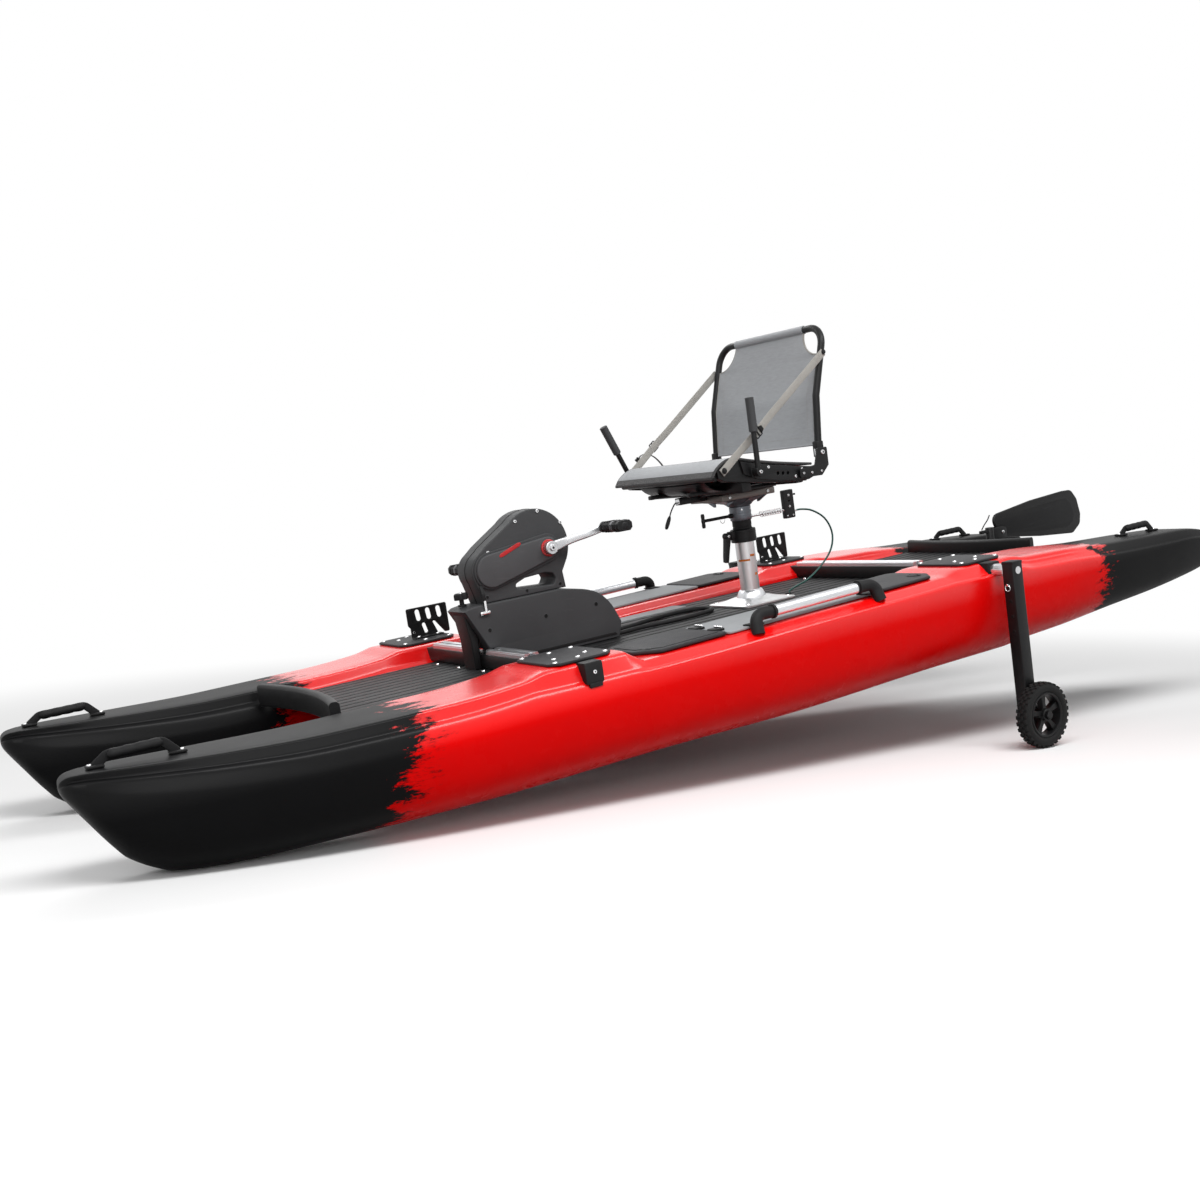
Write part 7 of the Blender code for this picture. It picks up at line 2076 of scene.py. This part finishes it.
class BOAT_OT_rudder(bpy.types.Operator):
    """The rudder's post, cheeks and lifting blade."""

    bl_idname = "boat.rudder"
    bl_label = "Rudder"

    def execute(self, context):
        head = Shape()
        head.add(lathe(RUDDER_POST, (RUDDER_X, 0, 0), UP, 32), "black_metal")
        for side in SIDE_NAMES:
            cheek = plate(soft_corners(CHEEK_OUTLINE, 0.006), side * 0.0066, side * 0.0128, "y", 0.0012)
            head.add(cheek, "black_metal")
            head.screw(RUDDER_PIVOT + Vector((0, side * 0.0128, 0)), (0, side, 0), 0.0062, "steel")
        horn = soft_corners([(-1.330, -0.0068), (-1.281, -0.0068), (-1.281, 0.0068), (-1.330, 0.0068)], 0.003)
        head.add(plate(horn, 0.2965, 0.3078, "z", 0.0015), "black_metal")
        head.build("rudder_post", "rudder_head", ["rudder_head"], "black_metal")
        blade = Shape()
        outline = soft_corners([(RUDDER_PIVOT.x + a, RUDDER_PIVOT.z + b) for a, b in BLADE_OUTLINE], 0.026)
        blade.add(plate(outline, -0.0058, 0.0058, "y", 0.0050, steps=4), "black_plastic")
        smaller = [(a * 0.86 - 0.022, 0.012 + (b - 0.012) * 0.66) for a, b in BLADE_OUTLINE]
        inset = soft_corners([(RUDDER_PIVOT.x + a, RUDDER_PIVOT.z + b) for a, b in smaller], 0.020)
        blade.add(plate(inset, -0.0062, 0.0062, "y", 0.0006), "black_rubber")
        blade.build("blade", "rudder_blade", ["rudder_blade"], "black_plastic")
        return {"FINISHED"}


# Landing legs and wheels
LEG_X = -0.675
LEG_Y = 0.645
LEG_HALF = 0.021
CAP_HALF = LEG_HALF + 0.0004
# The square tube and its two end caps: half size, lower and upper end, rounding, its steps and finish
LEG_LENGTHS = (
    (LEG_HALF, -0.180, 0.302, 0.0045, 3, "black_metal"),
    (CAP_HALF, 0.292, 0.3025, 0.003, 2, "black_plastic"),
    (CAP_HALF, -0.1885, -0.178, 0.003, 2, "black_plastic"),
)
WHEEL_CENTRE = (-0.683, 0.691, -0.155)
WHEEL_RADIUS = 0.097
WHEEL_WIDTH = 0.044
RIM_RADIUS = 0.066
# Rows of tread blocks: place as a share of the tyre's half width, lean and how far they are sunk
TREAD_ROWS = ((-0.64, 0.16, 0.0015), (-0.22, 0.0, 0.0), (0.22, 0.0, 0.0), (0.64, -0.16, 0.0015))


def leg(side):
    """A square leg with end caps, pin holes, wheel axle and locking clip."""
    shape = Shape()
    y = side * LEG_Y
    for half, low, high, edge, steps, look in LEG_LENGTHS:
        length = cuboid((LEG_X - half, y - half, low), (LEG_X + half, y + half, high), edge, steps)
        shape.add(length, look)
    for z in (0.185, 0.140, 0.095):
        for face in (1, -1):
            spot = Vector((LEG_X + face * LEG_HALF, y, z))
            lip = [(0.0, 0.0062), (0.0007, 0.0058), (0.0007, 0.0042), (0.0, 0.0042)]
            shape.add(lathe(lip, spot, (face, 0, 0), 20, True), "black_metal")
            # Painted shade: a near-black disc fills each pin hole
            shape.add(lathe([(-0.001, 0.0042), (0.0002, 0.0042)], spot, (face, 0, 0), 20), "deep_black")
    axle = Vector((WHEEL_CENTRE[0], y, WHEEL_CENTRE[2]))
    out = WHEEL_CENTRE[1] + WHEEL_WIDTH / 2 - LEG_Y
    shape.add(rod(axle, axle + Vector((0, side * (out + 0.004), 0)), 0.0078), "steel")
    cap = [(0.0004, 0.0130), (0.0055, 0.0130), (0.0078, 0.0105)]
    shape.add(lathe(cap, axle + Vector((0, side * out, 0)), (0, side, 0), 6), "black_metal")
    clip = Vector((LEG_X + LEG_HALF, y, 0.235))
    shape.add(rod(clip + Vector((-0.002, 0, 0)), clip + Vector((0.009, 0, 0)), 0.0035), "chrome")
    ring = [(0.0, 0.0088), (0.0008, 0.0096), (0.0016, 0.0088), (0.0008, 0.0080)]
    shape.add(lathe(ring, clip + Vector((0.006, 0, -0.009)), AHEAD, 24, True), "chrome")
    return shape


def tyre(side):
    """A tyre with a rounded tread and staggered blocks."""
    shape = Shape()
    centre = Vector((WHEEL_CENTRE[0], side * WHEEL_CENTRE[1], WHEEL_CENTRE[2]))
    half = WHEEL_WIDTH / 2
    tread = WHEEL_RADIUS - 0.0042
    wall = [(0.72, RIM_RADIUS + 0.0005), (0.92, RIM_RADIUS + 0.005), (0.99, RIM_RADIUS + 0.013),
            (0.94, tread - 0.008), (0.74, tread - 0.002), (0.40, tread)]
    profile = [(-half * share, radius) for share, radius in wall]
    profile += [(half * share, radius) for share, radius in reversed(wall)]
    shape.add(lathe(profile, centre, ACROSS, 72, True), "tyre_rubber")
    count = sizes().tread_blocks
    for row, (shift, lean, low) in enumerate(TREAD_ROWS):
        for i in range(count):
            angle = 2 * math.pi * (i + 0.5 * (row % 2)) / count
            turned = Matrix.Translation(centre) @ Matrix.Rotation(angle, 4, "Y")
            lifted = Matrix.Translation((0, shift * half, tread - low)) @ Matrix.Rotation(lean, 4, "X")
            block = cuboid((-0.0058, -0.0040, -0.002), (0.0058, 0.0040, 0.0040), 0.0010, 1)
            shape.add(block, "tyre_rubber", turned @ lifted)
    return shape


SPOKES = 5
SPOKE_OUTLINE = ((0.012, 0.0095), (0.032, 0.0062), (0.058, 0.0100), (0.058, -0.0100), (0.032, -0.0062),
                 (0.012, -0.0095))


def hub(side):
    """A moulded wheel: rim, five spokes and a capped bearing."""
    shape = Shape()
    y = side * WHEEL_CENTRE[1]
    x, z = WHEEL_CENTRE[0], WHEEL_CENTRE[2]
    centre = Vector((x, y, z))
    rim = [(-0.0170, RIM_RADIUS - 0.007), (-0.0190, RIM_RADIUS - 0.003), (-0.0175, RIM_RADIUS)]
    rim += [(-along, radius) for along, radius in reversed(rim)] + [(0.0, RIM_RADIUS - 0.010)]
    shape.add(lathe(rim, centre, ACROSS, 60, True), "black_plastic")
    low, high = y - 0.0110, y + 0.0110
    for i in range(SPOKES):
        turn = 2 * math.pi * i / SPOKES + 0.3
        c, s = math.cos(turn), math.sin(turn)
        outline = [(x + a * c - b * s, z + a * s + b * c) for a, b in SPOKE_OUTLINE]
        shape.add(plate(outline, low, high, "y", 0.0018), "black_plastic")
    boss = [(-0.0195, 0.0105), (-0.0195, 0.0165), (-0.0180, 0.0180)]
    boss += [(-along, radius) for along, radius in reversed(boss)]
    shape.add(lathe(boss, centre, ACROSS, 32, True), "black_plastic")
    return shape


class BOAT_OT_wheels(bpy.types.Operator):
    """The folding landing legs with their wheels."""

    bl_idname = "boat.wheels"
    bl_label = "Landing wheels"

    def execute(self, context):
        for side, name in SIDE_NAMES.items():
            leg(side).build(f"{name}_leg_tube", f"{name}_leg", [f"{name}_leg"], "black_metal")
            tyre(side).build(f"{name}_tread", f"{name}_wheel", [f"{name}_tyre"], "tyre_rubber")
            hub(side).build(f"{name}_spokes", f"{name}_wheel", [f"{name}_hub"], "black_plastic")
        return {"FINISHED"}


# Finishes of the working parts that show, where they aren't of black plastic
CAD_LOOKS = {"gearcase": "drive_plastic", "drive_chain": "steel", "jackshaft": "steel"}


class BOAT_OT_plain_parts(bpy.types.Operator):
    """Finishes for the working parts that show as they are."""

    bl_idname = "boat.plain_parts"
    bl_label = "Plain parts"

    def execute(self, context):
        for name, node in frame["nodes"].items():
            if not node.hide_render:
                node.data.materials.clear()
                node.data.materials.append(finish(CAD_LOOKS.get(name, "black_plastic")))
        return {"FINISHED"}


# Stage
AMBIENT = 0.30
# Each panel of light: name, place, aim, size and share of the key light's power
LIGHT_PANELS = (
    ("overhead", (0.2, 2.0, 3.1), (0.0, 0.1, 0.3), (4.6, 0.9), 1.0),
    ("far_side", (0.0, -2.4, 3.0), (0.0, 0.0, 0.4), (4.2, 0.8), 0.45),
    ("bow_side", (4.2, 1.6, 2.2), (0.8, 0.2, 0.3), (1.8, 1.4), 0.16),
    ("fill", (1.6, 4.4, 1.5), (0.0, 0.0, 0.4), (3.0, 1.8), 0.34),
)
FLOOR_REACH = 30.0
FLOOR_DROP = 0.0008
FLOOR_FADE = (1.9, 4.6)
SENSOR_WIDTH = 36.0


def seen_rays(wires):
    """1 for rays that show the background: to the camera, in reflections and through glass."""
    path = wires.node("ShaderNodeLightPath").outputs
    shown = wires.maths("MAXIMUM", path["Is Camera Ray"], path["Is Transmission Ray"])
    return wires.maths("MAXIMUM", shown, path["Is Glossy Ray"])


class BOAT_OT_stage(bpy.types.Operator):
    """Camera, pale floor and soft light."""

    bl_idname = "boat.stage"
    bl_label = "Stage"

    def execute(self, context):
        scene = context.scene
        look = scene.boat_stage
        camera = bpy.data.cameras.new("camera")
        camera.lens = look.lens
        camera.sensor_width = SENSOR_WIDTH
        holder = bpy.data.objects.new("camera", camera)
        holder.location = look.eye
        holder.rotation_euler = look.aim
        scene.collection.objects.link(holder)
        scene.camera = holder
        scene.view_settings.view_transform = "Standard"
        self.floor(scene, look)
        self.world(scene)
        for name, place, aim, size, share in LIGHT_PANELS:
            self.panel(scene, name, Vector(place), Vector(aim), size, look.key * share)
        return {"FINISHED"}

    @staticmethod
    def panel(scene, name, place, aim, size, power):
        light = bpy.data.lights.new(name, "AREA")
        light.shape = "RECTANGLE"
        light.size, light.size_y = size
        light.energy = power
        holder = bpy.data.objects.new(name, light)
        holder.location = place
        holder.rotation_euler = (aim - place).to_track_quat("-Z", "Y").to_euler()
        scene.collection.objects.link(holder)

    @staticmethod
    def floor(scene, look):
        mesh = bpy.data.meshes.new("floor")
        corners = [(a * FLOOR_REACH, b * FLOOR_REACH, 0) for a, b in ((-1, -1), (1, -1), (1, 1), (-1, 1))]
        mesh.from_pydata(corners, [], [(0, 1, 2, 3)])
        material, wires, shader = start_material("floor")
        seen = seen_rays(wires)
        wires.feed(shader.inputs["Base Color"], wires.mix(seen, (*look.bounce, 1.0), (*look.floor, 1.0)))
        shader.inputs["Roughness"].default_value = 0.9
        shader.inputs["Specular IOR Level"].default_value = 0.0
        far = wires.node("ShaderNodeVectorMath", {0: wires.place()}, operation="LENGTH").outputs["Value"]
        ends = {0: far, 1: FLOOR_FADE[0], 2: FLOOR_FADE[1]}
        fade = wires.node("ShaderNodeMapRange", ends, interpolation_type="SMOOTHSTEP")
        glow = wires.node("ShaderNodeEmission", {"Color": (1.0, 1.0, 1.0, 1.0), "Strength": seen})
        blend = wires.node(
            "ShaderNodeMixShader", {0: fade.outputs[0], 1: shader.outputs[0], 2: glow.outputs[0]})
        wires.feed(material.node_tree.nodes["Material Output"].inputs["Surface"], blend.outputs[0])
        mesh.materials.append(material)
        floor = bpy.data.objects.new("floor", mesh)
        floor.location.z = -FLOOR_DROP
        scene.collection.objects.link(floor)

    @staticmethod
    def world(scene):
        world = bpy.data.worlds.new("studio")
        world.use_nodes = True
        wires = Wires(world.node_tree)
        background = world.node_tree.nodes["Background"]
        wires.feed(background.inputs["Color"], (1.0, 1.0, 1.0, 1.0))
        wires.feed(background.inputs["Strength"], wires.scaled(seen_rays(wires), 1.0 - AMBIENT, AMBIENT))
        scene.world = world


OPERATORS = [BOAT_OT_stage, BOAT_OT_cords, BOAT_OT_hulls, BOAT_OT_decks, BOAT_OT_crossbars, BOAT_OT_side_gear,
             BOAT_OT_drive, BOAT_OT_post, BOAT_OT_seat, BOAT_OT_rudder, BOAT_OT_wheels, BOAT_OT_plain_parts]


class BOAT_PT_panel(bpy.types.Panel):
    """Shows the boat's colours, sizes and stage, and a button for each builder."""

    bl_idname = "BOAT_PT_panel"
    bl_label = "Pedal boat"
    bl_space_type = "VIEW_3D"
    bl_region_type = "UI"
    bl_category = "Boat"

    def draw(self, context):
        for owner in (context.scene.boat_colours, context.scene.boat_sizes, context.scene.boat_stage):
            column = self.layout.column()
            for key in owner.bl_rna.properties.keys():
                if key not in {"rna_type", "name"}:
                    column.prop(owner, key)
        for operator in OPERATORS:
            self.layout.operator(operator.bl_idname)


CLASSES = [BoatColours, BoatSizes, BoatStage, *OPERATORS, BOAT_PT_panel]


def register():
    for item in CLASSES:
        bpy.utils.register_class(item)
    bpy.types.Scene.boat_colours = bpy.props.PointerProperty(type=BoatColours)
    bpy.types.Scene.boat_sizes = bpy.props.PointerProperty(type=BoatSizes)
    bpy.types.Scene.boat_stage = bpy.props.PointerProperty(type=BoatStage)


def unregister():
    del bpy.types.Scene.boat_stage
    del bpy.types.Scene.boat_sizes
    del bpy.types.Scene.boat_colours
    for item in reversed(CLASSES):
        bpy.utils.unregister_class(item)


def main():
    register()
    for operator in OPERATORS:
        group, name = operator.bl_idname.split(".")
        getattr(getattr(bpy.ops, group), name)()
    bpy.context.view_layer.update()


if __name__ == "__main__":
    main()
